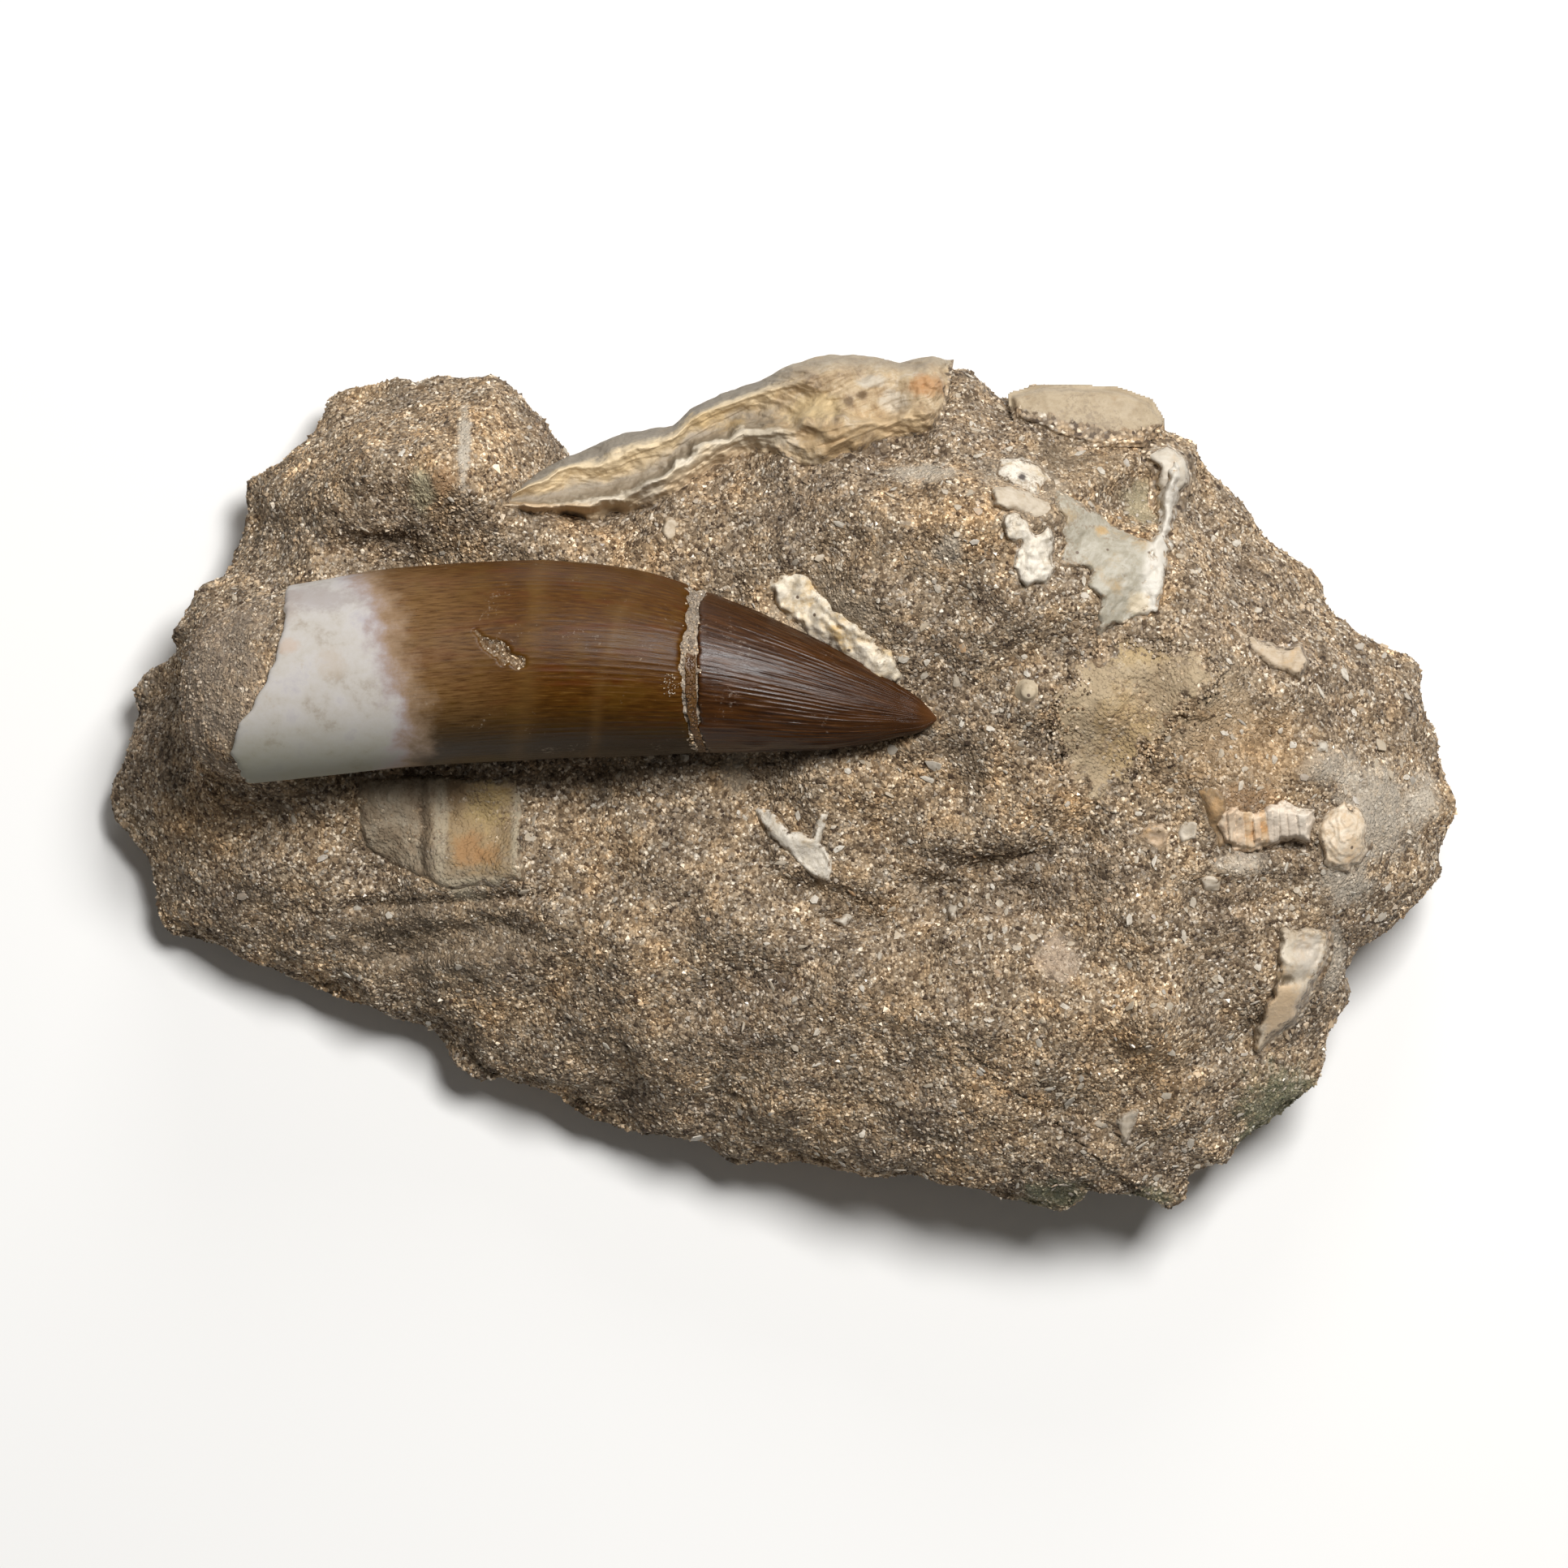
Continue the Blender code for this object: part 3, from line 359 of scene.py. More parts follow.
SPOTS = np.array([
    (-44.8, 0.3, 6.5), (-42.6, 6.4, 8.0), (-39.2, 11.4, 9.5), (-36.4, 18.1, 9.0),
    (-31.4, 25.3, 9.0), (-25.9, 26.0, 12.0), (-20.3, 26.0, 13.0), (-23.7, 21.8, 19.5),
    (-29.2, 21.5, 16.5), (-18.1, 20.3, 17.0), (-15.3, 20.9, 12.5), (-27.6, 17.0, 15.5),
    (-22.6, 17.0, 16.0), (-33.1, 17.6, 13.5), (-38.1, 6.4, 11.5), (-40.3, -1.9, 9.5),
    (-41.4, -8.6, 7.0), (-34.8, -4.7, 12.0), (-31.4, 0.8, 12.5), (-34.8, -11.9, 7.5),
    (-25.9, -1.9, 13.0), (-22.6, -8.6, 13.5), (-28.7, -10.2, 10.5), (-24.8, -15.2, 7.5),
    (-14.8, -1.9, 14.5), (-14.8, -9.1, 15.5), (-14.8, -15.8, 12.0), (-14.8, -20.8, 8.0),
    (-6.4, -1.9, 16.0), (-6.4, -9.1, 17.0), (-4.8, -17.4, 14.5), (-3.7, -24.7, 9.0),
    (0.8, -0.2, 17.0), (1.9, -7.4, 17.5), (6.3, 0.9, 19.0), (10.8, 3.7, 20.3),
    (13.0, -5.2, 18.5), (7.4, -9.1, 17.0), (16.3, -9.1, 17.5), (6.3, -14.7, 18.0),
    (15.8, -14.7, 19.5), (7.4, -23.0, 14.0), (18.6, -24.1, 15.5), (26.9, -23.0, 15.0),
    (26.9, -13.0, 20.0), (24.1, -4.7, 19.5), (18.6, 2.0, 21.0), (26.3, 3.7, 21.0),
    (29.7, 9.2, 21.5), (35.2, 7.6, 18.5), (38.6, 3.7, 16.5), (35.2, -1.9, 19.0),
    (40.8, -1.9, 16.5), (44.1, -3.0, 13.0), (38.0, -8.6, 16.0), (35.2, -13.0, 16.0),
    (33.0, -19.7, 13.5), (33.0, 12.6, 15.0), (29.7, 17.6, 14.5), (26.3, 21.4, 16.5),
    (25.2, 14.8, 20.5), (20.2, 15.9, 22.5), (18.6, 20.3, 20.5), (18.6, 25.3, 15.5),
    (11.9, 26.5, 15.5), (13.0, 21.4, 21.8), (10.2, 17.6, 24.5), (13.0, 12.0, 23.5),
    (6.0, 13.6, 23.5), (4.7, 18.1, 22.5), (-0.9, 18.6, 20.5), (-4.5, 15.6, 19.0),
    (-10.2, 17.2, 17.5), (-16.8, 16.8, 16.5), (21.3, 9.8, 22.5), (16.3, 6.4, 22.0),
    (2.0, 25.5, 16.5), (-7.0, 22.6, 14.0), (5.8, 9.5, 21.5), (0.8, 12.8, 20.5),
])
LUMPS = [
    (-38.0, 6.6, 3.4, 6.6, 8.0, 7.2),        # sandy plug behind the root end
    (-20.6, 24.4, 1.5, 2.8, 12.0, 1.2),      # rib down the left hump
    (-28.6, 15.6, 3.2, 1.5, 10.0, -1.6),     # hollow at the foot of the hump
    (3.0, -8.6, 4.2, 1.8, -14.0, -1.6),      # dark hollows below the middle of the block
    (12.5, -7.4, 4.6, 1.9, 12.0, -1.7),
    (-24.0, -10.8, 5.0, 1.3, 6.0, -1.1),     # step below the bone plate
    (36.5, -16.4, 2.6, 1.6, 60.0, -1.1),     # bite beside the shell blade
    (22.5, -17.0, 5.0, 3.0, 20.0, 1.0),
    (31.0, -7.6, 3.4, 1.4, 0.0, -1.3),       # crack under the ribbed shell
    (13.6, 18.6, 3.6, 2.6, 0.0, 0.9),
    (24.0, 19.3, 2.6, 1.9, 30.0, -1.6),      # hollow beside the valve's rim
    (9.0, 22.2, 4.0, 1.2, 0.0, -0.9),
]
SPOT_SOFTNESS, LUMP_SQUARENESS = 2.5, 4.0
ROUGH_WAVELENGTH, ROUGH_HEIGHT = 6.5, 0.42
print(len(OUTLINE), "corners,", len(SPOTS), "spot heights,", len(LUMPS), "lumps and hollows")

# %% [markdown]
# ## Height of the sand
#
# A soft cone stands on each spot, and the cones' heights are solved so that their sum meets
# every spot. That gives one smooth surface with no facets, which can be asked for its height
# anywhere: the shells and bones use it later to lie in the sand.

# %% The ground surface


def spot_weights():
    """Heights of the soft cones, from one linear system, and the mean level they stand on."""
    apart = np.linalg.norm(SPOTS[:, None, :2] - SPOTS[None, :, :2], axis=-1)
    level = SPOTS[:, 2].mean()
    return np.linalg.solve(np.sqrt(apart**2 + SPOT_SOFTNESS**2), SPOTS[:, 2] - level), level


CONE_WEIGHTS, MEAN_LEVEL = spot_weights()


def ground(x, y):
    """Height of the block's top: cones on the spots, squared lumps and a light swell."""
    x, y = np.asarray(x, float), np.asarray(y, float)
    z = np.full(x.shape, MEAN_LEVEL)
    for (cx, cy, _), weight in zip(SPOTS, CONE_WEIGHTS):
        z = z + weight * np.sqrt((x - cx)**2 + (y - cy)**2 + SPOT_SOFTNESS**2)
    for cx, cy, half_length, half_width, turn, height in LUMPS:
        c, s = math.cos(math.radians(turn)), math.sin(math.radians(turn))
        along = np.abs((x - cx) * c + (y - cy) * s) / half_length
        across = np.abs((y - cy) * c - (x - cx) * s) / half_width
        z = z + height * np.exp(-along**LUMP_SQUARENESS - across**LUMP_SQUARENESS)
    return z + waves(np.stack([x, y, np.zeros_like(x)], axis=-1), ROUGH_WAVELENGTH, ROUGH_HEIGHT)


print("height of the sand at the middle:", round(float(ground(0.0, 0.0)), 2), "mm")

# %% [markdown]
# ## Measures of the tooth
#
# The tooth is a run of circles: x, y and z of the middle and the radius at twelve stations, from
# the root end to the point. Its broken edges are given by x at angles round the girth, where 0
# degrees points to the top of the picture and 90 degrees up to the camera. The block needs
# these measures first, because no sand grain may lie inside the tooth.

# %% Stations and edges of the tooth
TOOTH = np.array([
    (-38.2, 6.35, 18.5, 6.50), (-34.0, 6.90, 18.8, 6.62), (-27.3, 7.85, 19.2, 6.85),
    (-21.5, 8.25, 19.5, 6.85), (-14.8, 8.45, 19.8, 6.72), (-9.3, 8.20, 20.0, 6.25),
    (-5.1, 7.60, 20.2, 5.45), (-0.5, 6.70, 20.5, 4.45), (3.8, 5.75, 20.8, 3.30),
    (7.7, 5.00, 21.1, 1.80), (9.6, 4.60, 21.3, 0.85), (10.4, 4.45, 21.4, 0.10),
])
TOOTH_POINT = 10.4
ROOT_EDGE = [(0, -33.9), (55, -33.9), (80, -34.6), (96, -35.5), (113, -36.9), (134, -37.6),
             (157, -37.0), (200, -36.0), (280, -34.5), (360, -33.9)]
CROWN_BREAK = [(0, -6.5), (47, -6.6), (87, -7.05), (124, -6.8), (142, -6.4), (169, -6.0),
               (200, -6.2), (360, -6.5)]
TIP_BREAK = [(0, -5.2), (30, -5.6), (47, -5.8), (135, -5.8), (160, -5.3), (200, -5.2),
             (360, -5.2)]


def tooth_middle(x):
    """y and z of the tooth's middle and its radius, at each x along it."""
    station = np.clip(x, TOOTH[0, 0], TOOTH[-1, 0])
    return smooth_through(TOOTH[:, 0], TOOTH[:, 1:], station)


def edge_at(edge, angle):
    """x of a broken edge at each angle round the girth, in straight steps."""
    degrees, x = np.array(edge, float).T
    return np.interp(np.degrees(angle) % 360, degrees, x)


print("the tooth is", round(TOOTH_POINT - min(x for _, x in ROOT_EDGE), 1), "mm long")

# %% [markdown]
# ## Outlines of the shells and bones
#
# Each scrap that shows in the sand has an outline from above. They are all given here, because
# the sand has to give way under them and carry no grains on them. The crust of chalk along the
# tooth is thin, and has no solid in the frame.

# %% Outlines from above
BONE_PLATE = [(-29.4, 0.4), (-29.2, -3.0), (-28.9, -4.5), (-26.1, -5.8), (-22.8, -7.3),
              (-17.9, -6.6), (-18.1, -2.7), (-18.4, 0.3), (-23.7, 0.6)]
BONE_PATCH = [(22.7, 10.0), (25.8, 10.1), (29.1, 8.9), (30.3, 7.6), (28.6, 5.3), (25.8, 3.4),
              (24.1, 0.9), (22.2, -1.3), (20.2, -1.1), (18.6, 0.9), (18.0, 3.7), (18.6, 6.4),
              (20.5, 8.7)]
VALVE_SHEET = [(18.6, 20.1), (21.1, 18.6), (22.9, 17.6), (24.1, 16.8), (25.2, 16.4),
               (25.2, 12.1), (23.3, 11.0), (21.3, 10.1), (21.6, 12.0), (20.6, 14.5),
               (18.9, 14.9), (18.9, 17.6)]
VALVE_RIM = [(26.7, 22.4), (25.9, 20.4), (25.7, 18.0), (25.1, 16.4), (24.8, 14.8), (24.6, 12.9),
             (24.4, 11.7), (25.4, 11.5), (25.9, 12.9), (26.2, 14.8), (26.4, 16.4), (26.7, 18.0),
             (27.0, 20.2), (27.6, 21.9)]
CURVED_SHELL = [(14.5, 21.3), (14.9, 22.1), (16.2, 22.3), (17.4, 21.7), (18.3, 20.8),
                (17.1, 19.9), (16.0, 20.5), (15.1, 20.6)]
SHELL_LUMP = [(14.8, 17.8), (15.5, 18.2), (16.6, 17.5), (17.9, 17.2), (18.3, 16.3),
              (18.3, 14.8), (17.7, 13.6), (16.4, 13.3), (15.7, 14.8), (15.7, 16.4)]
EDGE_SHELL = [(16.4, 26.3), (17.9, 26.8), (19.8, 26.6), (22.7, 26.5), (24.7, 25.7),
              (25.4, 24.6), (23.9, 23.9), (21.2, 24.1), (18.8, 24.8), (16.9, 25.2)]
CHALKY_SHELL = [(0.1, 13.0), (0.1, 13.8), (0.7, 14.5), (1.7, 14.3), (2.5, 13.1), (4.0, 11.7),
                (6.0, 9.9), (5.6, 9.3), (3.6, 10.4), (1.7, 11.8)]
CHALK_CRUST = [(-0.7, 12.4), (-0.6, 13.6), (0.2, 14.4), (1.7, 13.9), (2.7, 12.3), (3.9, 11.0),
               (5.4, 9.9), (7.2, 8.5), (8.4, 7.1), (7.6, 6.7), (5.6, 7.7), (3.6, 8.9), (1.4, 10.6)]
SHELL_WEDGE = [(28.3, -0.5), (29.4, -0.3), (30.1, -1.6), (30.1, -4.1), (29.7, -4.3),
               (29.0, -2.7)]
RIBBED_SHELL = [(30.6, -1.9), (32.0, -2.1), (33.2, -1.8), (34.6, -1.4), (36.2, -1.8),
                (36.0, -4.0), (34.7, -3.9), (33.3, -3.9), (32.0, -4.2), (30.6, -4.1)]
SHELL_BLADE = [(34.2, -10.1), (35.9, -9.9), (37.2, -10.3), (37.0, -11.9), (36.4, -13.3),
               (34.9, -16.0), (33.7, -17.1), (32.6, -18.2), (32.7, -16.6), (33.6, -14.4),
               (34.0, -11.9)]
SHELL_SPLINTER = [(-1.8, -1.7), (-0.9, -1.9), (0.5, -3.3), (1.9, -3.6), (2.4, -1.9),
                  (3.0, -2.1), (2.5, -4.0), (3.1, -5.1), (3.2, -6.7), (2.6, -6.9),
                  (1.1, -5.4), (-0.6, -3.9), (-1.6, -2.7)]
DISC_CENTRE, DISC_RADII = (38.2, -3.6), (1.55, 2.2)
PEBBLE_CENTRE, PEBBLE_RADIUS = (16.6, 6.3), 0.85


def oval(centre, radii, sides=24):
    """Outline of an ellipse."""
    angle = np.linspace(0, 2 * math.pi, sides, endpoint=False)
    return np.column_stack([centre[0] + radii[0] * np.cos(angle),
                            centre[1] + radii[1] * np.sin(angle)])


OUTLINES = [BONE_PLATE, BONE_PATCH, VALVE_SHEET, VALVE_RIM, CURVED_SHELL, SHELL_LUMP,
            EDGE_SHELL, CHALKY_SHELL, CHALK_CRUST, SHELL_WEDGE, RIBBED_SHELL, SHELL_BLADE,
            SHELL_SPLINTER, oval(DISC_CENTRE, DISC_RADII),
            oval(PEBBLE_CENTRE, (PEBBLE_RADIUS, PEBBLE_RADIUS))]
print(len(OUTLINES), "outlines")

# %% [markdown]
# The oyster is the largest shell. It is a long strip along the top edge of the block, so it has
# an inner and an outer edge instead of one outline, each with its heights. A few small scraps
# that the frame leaves out are listed too, with a tone from 0 for white to 1 for orange.
#
# A distance to an outline, negative inside it, is the one measure that everything about these
# pieces is worked out from.

# %% Edges of the oyster, small scraps, and the distance to an outline
OYSTER_INNER = np.array([
    (-20.0, 18.8, 17.6), (-18.1, 18.1, 17.6), (-15.9, 18.1, 17.5), (-13.8, 17.9, 17.7),
    (-11.4, 18.1, 18.0), (-9.3, 18.8, 18.3), (-7.7, 19.4, 18.8), (-6.2, 20.3, 19.0),
    (-4.4, 21.5, 19.0), (-2.6, 22.4, 19.0), (-0.3, 22.1, 19.8), (2.0, 21.5, 20.8),
    (4.7, 22.3, 20.8), (7.6, 23.3, 20.3), (9.6, 23.6, 19.8), (11.0, 25.4, 18.0)])
OYSTER_OUTER = np.array([
    (-20.0, 19.3, 17.4), (-17.9, 20.6, 16.0), (-15.5, 22.2, 14.0), (-13.9, 22.9, 13.5),
    (-12.1, 23.6, 13.5), (-10.2, 24.3, 13.2), (-7.7, 24.7, 13.0), (-6.5, 25.8, 13.0),
    (-4.2, 26.9, 13.2), (-1.7, 27.7, 13.5), (0.6, 28.8, 13.8), (2.7, 29.4, 14.0),
    (5.5, 29.5, 14.2), (8.0, 29.0, 14.5), (10.2, 29.3, 14.8), (11.7, 29.2, 15.0)])
OYSTER_OUTLINE = np.concatenate([OYSTER_INNER[:, :2], OYSTER_OUTER[::-1, :2]])
SMALL_SCRAPS = [
    ([(24.6, -3.1), (25.8, -2.9), (26.4, -3.2), (26.2, -4.2), (25.5, -4.5), (24.7, -4.2)], 0.9),
    ([(27.0, -2.8), (28.2, -2.6), (28.3, -3.8), (27.2, -3.9)], 0.25),
    ([(-8.1, 18.0), (-7.4, 18.3), (-7.0, 17.8), (-7.1, 16.8), (-7.9, 16.6), (-8.2, 17.3)], 0.6),
    ([(30.9, 10.6), (32.3, 9.8), (33.8, 9.2), (35.2, 9.4), (35.9, 8.4), (35.2, 7.4),
      (33.6, 8.0), (31.9, 9.2)], 0.65),
    ([(36.4, 2.3), (37.1, 2.2), (37.2, 2.9), (36.5, 3.0)], 0.0),
    ([(28.4, -6.6), (29.1, -6.2), (29.9, -6.4), (29.6, -7.0), (28.8, -7.1)], 0.3),
    ([(22.9, -22.6), (24.1, -22.4), (23.4, -24.4)], 0.3),
    ([(3.5, -9.4), (4.3, -9.2), (4.2, -9.7)], 0.1),
    ([(-12.6, -9.6), (-12.0, -9.4), (-12.2, -10.1)], 0.15),
    ([(11.2, -8.3), (11.8, -8.4), (11.5, -9.0)], 0.1),
    ([(14.1, 20.1), (15.4, 20.3), (17.0, 19.7), (18.4, 18.8), (19.0, 17.5), (17.2, 17.8),
      (15.6, 18.6), (14.2, 18.8)], 0.35),
    ([(25.1, 22.5), (26.3, 23.2), (27.6, 22.2), (27.8, 20.6), (26.6, 19.8), (25.7, 20.6),
      (25.9, 21.7)], 0.1),
]


def line_distance(x, y, line):
    """Distance to an open line: the least distance to any of its straight steps."""
    nearest = np.full(np.shape(x), np.inf)
    for (ax, ay), (bx, by) in zip(line, line[1:]):
        dx, dy = bx - ax, by - ay
        share = np.clip(((x - ax) * dx + (y - ay) * dy) / (dx * dx + dy * dy), 0, 1)
        nearest = np.minimum(nearest, np.hypot(x - ax - share * dx, y - ay - share * dy))
    return nearest


def outline_distance(x, y, outline):
    """Distance to a closed outline, negative inside it.

    A point is inside where a line from it crosses the outline an odd number of times.
    """
    closed = np.concatenate([outline, outline[:1]])
    inside = np.zeros(np.shape(x), bool)
    for (ax, ay), (bx, by) in zip(closed, closed[1:]):
        if ay != by:
            inside ^= ((ay > y) != (by > y)) & (x < ax + (y - ay) * (bx - ax) / (by - ay))
    return np.where(inside, -1, 1) * line_distance(x, y, closed)


def nearest_outline(x, y, outlines):
    """Distance to the nearest of several outlines."""
    return np.minimum.reduce([outline_distance(x, y, outline) for outline in outlines])


ALL_OUTLINES = OUTLINES + [OYSTER_OUTLINE] + [outline for outline, _ in SMALL_SCRAPS]
print("from the middle to the nearest scrap:",
      round(float(nearest_outline(0.0, 0.0, ALL_OUTLINES)), 2), "mm")

# %% [markdown]
# ## The block's surface
#
# A square grid is bent into the outline: ring by ring, its corners are pulled in until each
# ring is a smaller copy of the outline. That keeps the cells even, and leaves no seam and no
# pole. The rim then runs down the flank in rings, which round in to the flat underside.

# %% Grid of the block
GRID_ALONG, GRID_ACROSS = 304, 200
FLANK_RINGS = 24
RIM_ROUNDING = 2.4
BASE_INSET, BELLY = 0.13, 0.012
BED_DEPTH, OYSTER_BED_DEPTH = 0.7, 2.6
TUCKED_IN = 0.9


def rim_distance(angle):
    """Distance from the block's centre to its outline in each direction, on straight edges."""
    corners = OUTLINE - BLOCK_CENTRE
    turned = np.arctan2(corners[:, 1], corners[:, 0])
    order = np.argsort(turned)
    corners, turned = corners[order], turned[order]
    after = np.searchsorted(turned, angle) % len(turned)
    first, edge = corners[after - 1], corners[after] - corners[after - 1]
    way = np.stack([np.cos(angle), np.sin(angle)], axis=-1)
    across = way[..., 0] * edge[..., 1] - way[..., 1] * edge[..., 0]
    return (first[..., 0] * edge[..., 1] - first[..., 1] * edge[..., 0]) / across


def square_to_disc(a, b):
    """Square to disc, ring by ring: the larger side is the radius, the ratio is the angle."""
    wide = np.abs(a) >= np.abs(b)
    radius = np.where(wide, a, b)
    safe = np.where(radius == 0, 1.0, radius)
    angle = np.where(wide, math.pi / 4 * b / safe, math.pi / 2 - math.pi / 4 * a / safe)
    angle = np.where(radius < 0, angle + math.pi, angle)
    return np.abs(radius), (angle + math.pi) % (2 * math.pi) - math.pi


def bed(x, y):
    """How far the sand gives way under the pieces set in it: more inside their outlines."""
    scraps = nearest_outline(x, y, OUTLINES)
    oyster = outline_distance(x, y, OYSTER_OUTLINE)
    oyster_bed = (OYSTER_BED_DEPTH * blend_step(-oyster, -0.1, 0.9)
                  * blend_step(line_distance(x, y, OYSTER_INNER[:, :2]), 0.3, 1.6))
    return np.maximum(BED_DEPTH * blend_step(-scraps, -0.1, 0.6), oyster_bed)


def block_top():
    """The top: the bent grid lifted to the ground, less the beds, rounded off near the rim.

    Where the oyster forms the rim, the sand is tucked in under it.
    """
    a, b = np.meshgrid(np.linspace(-1, 1, GRID_ALONG + 1), np.linspace(-1, 1, GRID_ACROSS + 1),
                       indexing="ij")
    radius, angle = square_to_disc(a, b)
    reach = rim_distance(angle)
    from_shell = outline_distance(BLOCK_CENTRE[0] + reach * np.cos(angle),
                                  BLOCK_CENTRE[1] + reach * np.sin(angle), OYSTER_OUTLINE)
    reach = reach - TUCKED_IN * blend_step(-from_shell, -1.2, -0.2)
    x = BLOCK_CENTRE[0] + radius * reach * np.cos(angle)
    y = BLOCK_CENTRE[1] + radius * reach * np.sin(angle)
    return np.stack([x, y, ground(x, y) - bed(x, y) - RIM_ROUNDING * radius**16], axis=-1)


def border(grid):
    """The points of a grid's border in order, once round."""
    return np.concatenate([grid[:-1, 0], grid[-1, :-1], grid[:0:-1, -1], grid[0, :0:-1]])


def block_flank(rim):
    """Rings from the rim to the underside: each is the rim, scaled, at its share of height."""
    share = (np.arange(FLANK_RINGS + 1) / FLANK_RINGS)[:, None]
    size = 1 + BELLY * np.sin(math.pi * share) - BASE_INSET * share**2.2
    outward = rim[:, :2] - BLOCK_CENTRE
    rings = np.empty((FLANK_RINGS + 1, len(rim), 3))
    rings[..., :2] = BLOCK_CENTRE + outward * size[..., None]
    rings[..., 2] = rim[:, 2] * (1 - share)
    outward = outward / np.linalg.norm(outward, axis=1, keepdims=True)
    bump = waves(rings, ROUGH_WAVELENGTH, ROUGH_HEIGHT, turn=2.0) * (share > 0)
    rings[..., :2] += outward * bump[..., None]
    return rings


top = block_top()
flank = block_flank(border(top))
print("top grid", top.shape[:2], "and", flank.shape[0], "rings down the flank")

# %% [markdown]
# ## Crumbly detail
#
# A broken face of sand is uneven at every size down to the grain. The noise moves each point
# along its own normal, so the flanks crumble sideways as the top does upwards. A few cracks run
# between the pieces. The rim is shared by both parts, and the underside stays flat.

# %% Roughen the block
CRUMB_SIZE, CRUMB_HEIGHT = 2.8, 0.36
GRAIN_SIZE, GRAIN_HEIGHT = 0.6, 0.10
SETTLED = 1.5
CRACKS = [
    ([(31.4, -4.6), (32.6, -4.4), (34.4, -4.1), (36.2, -4.4)], 0.28, 1.3),
    ([(-30.4, -8.4), (-26.0, -8.2), (-21.5, -7.9), (-16.4, -7.6)], 0.45, 0.7),
    ([(9.5, -5.0), (13.5, -5.6), (17.8, -4.6)], 0.5, 0.9),
    ([(-1.5, -10.4), (3.5, -9.3), (7.2, -9.6)], 0.5, 0.8),
    ([(35.0, -12.6), (36.6, -13.8)], 0.35, 0.7),
]


def crack_depth(x, y):
    """Depth of the cracks: a narrow bell across the distance to each broken line."""
    return np.maximum.reduce([deep * np.exp(-(line_distance(x, y, line) / width)**2)
                              for line, width, deep in CRACKS])


def crumbs(points):
    """Lumps a few millimetres wide with finer ones on them, and bumps of grain size."""
    return (CRUMB_HEIGHT * crumble(points, CRUMB_SIZE, 3, octaves=3)
            + GRAIN_HEIGHT * crumble(points, GRAIN_SIZE, 11))


def grid_normals(surface):
    """Unit normal at each point of a grid, from the slopes along both parameters."""
    normal = np.cross(np.gradient(surface, axis=0), np.gradient(surface, axis=1))
    return normal / np.maximum(np.linalg.norm(normal, axis=-1, keepdims=True), 1e-9)


def roughen(top, flank):
    """Moves both parts along their normals, and joins them at the rim again."""
    wrapped = np.concatenate([flank[:, -1:], flank, flank[:, :1]], axis=1)
    outward = grid_normals(wrapped)[:, 1:-1]
    away = (outward[..., :2] * (flank[..., :2] - BLOCK_CENTRE)).sum(axis=-1, keepdims=True)
    outward = outward * np.sign(away)
    rough_top = top + grid_normals(top) * crumbs(top)[..., None]
    rough_top[..., 2] -= crack_depth(top[..., 0], top[..., 1])
    settled = np.clip(flank[..., 2:] / SETTLED, 0, 1)
    rough_flank = flank + outward * crumbs(flank)[..., None] * settled
    rough_flank[0] = border(rough_top)
    rough_flank[..., 2] = np.maximum(rough_flank[..., 2], 0.0)
    rough_flank[-1, :, 2] = 0.0
    return rough_top, rough_flank


top, flank = roughen(top, flank)
print("highest sand:", round(float(top[..., 2].max()), 2), "mm")

# %% [markdown]
# ## Building finishes
#
# Finishes are node trees. These helpers add a node and link or set its inputs, do one step of
# arithmetic, blend colours and make groups with named sockets, so that each finish below reads
# as a short recipe.

# %% Helpers: nodes


def link_inputs(tree, node, inputs):
    """Links each input that is given a socket, and sets each that is given a value."""
    for key, value in inputs.items():
        if isinstance(value, bpy.types.NodeSocket):
            tree.links.new(value, node.inputs[key])
        else:
            node.inputs[key].default_value = value


def add_node(tree, kind, inputs=None, **settings):
    """Adds a node with its properties and inputs."""
    node = tree.nodes.new(kind)
    for key, value in settings.items():
        setattr(node, key, value)
    link_inputs(tree, node, inputs or {})
    return node


def reckon(tree, operation, first, second=0.0, clamp=False):
    """One step of arithmetic, as the socket that holds its result."""
    return add_node(tree, "ShaderNodeMath", {0: first, 1: second}, operation=operation,
                    use_clamp=clamp).outputs[0]


def opaque(colour):
    """A colour with its alpha, where it isn't a socket already."""
    return colour if isinstance(colour, bpy.types.NodeSocket) else (*colour, 1.0)


def blend(tree, share, first, second, kind="MIX"):
    """Blends two colours, each a socket or a plain colour."""
    node = add_node(tree, "ShaderNodeMix", {0: share, 6: opaque(first), 7: opaque(second)},
                    data_type="RGBA", blend_type=kind)
    return node.outputs[2]


def fade(tree, value, low, high):
    """Stretches a value so that low gives 0 and high gives 1, with an S-shaped rise."""
    node = add_node(tree, "ShaderNodeMapRange", {"Value": value, "From Min": low, "From Max": high},
                    interpolation_type="SMOOTHSTEP")
    return node.outputs["Result"]


def colour_steps(tree, value, stops):
    """A colour ramp from (place, colour) stops."""
    node = add_node(tree, "ShaderNodeValToRGB", {"Fac": value})
    elements = node.color_ramp.elements
    while len(elements) < len(stops):
        elements.new(0.5)
    for element, (place, colour) in zip(elements, stops):
        element.position = place
        element.color = (*colour, 1.0)
    return node.outputs["Color"]


def noise(tree, place, size, detail=3.0, roughness=0.55):
    """Noise from 0 to 1 whose features are about size millimetres across."""
    return add_node(tree, "ShaderNodeTexNoise",
                    {"Vector": place, "Scale": 1.0 / (size * MM), "Detail": detail,
                     "Roughness": roughness}).outputs["Fac"]


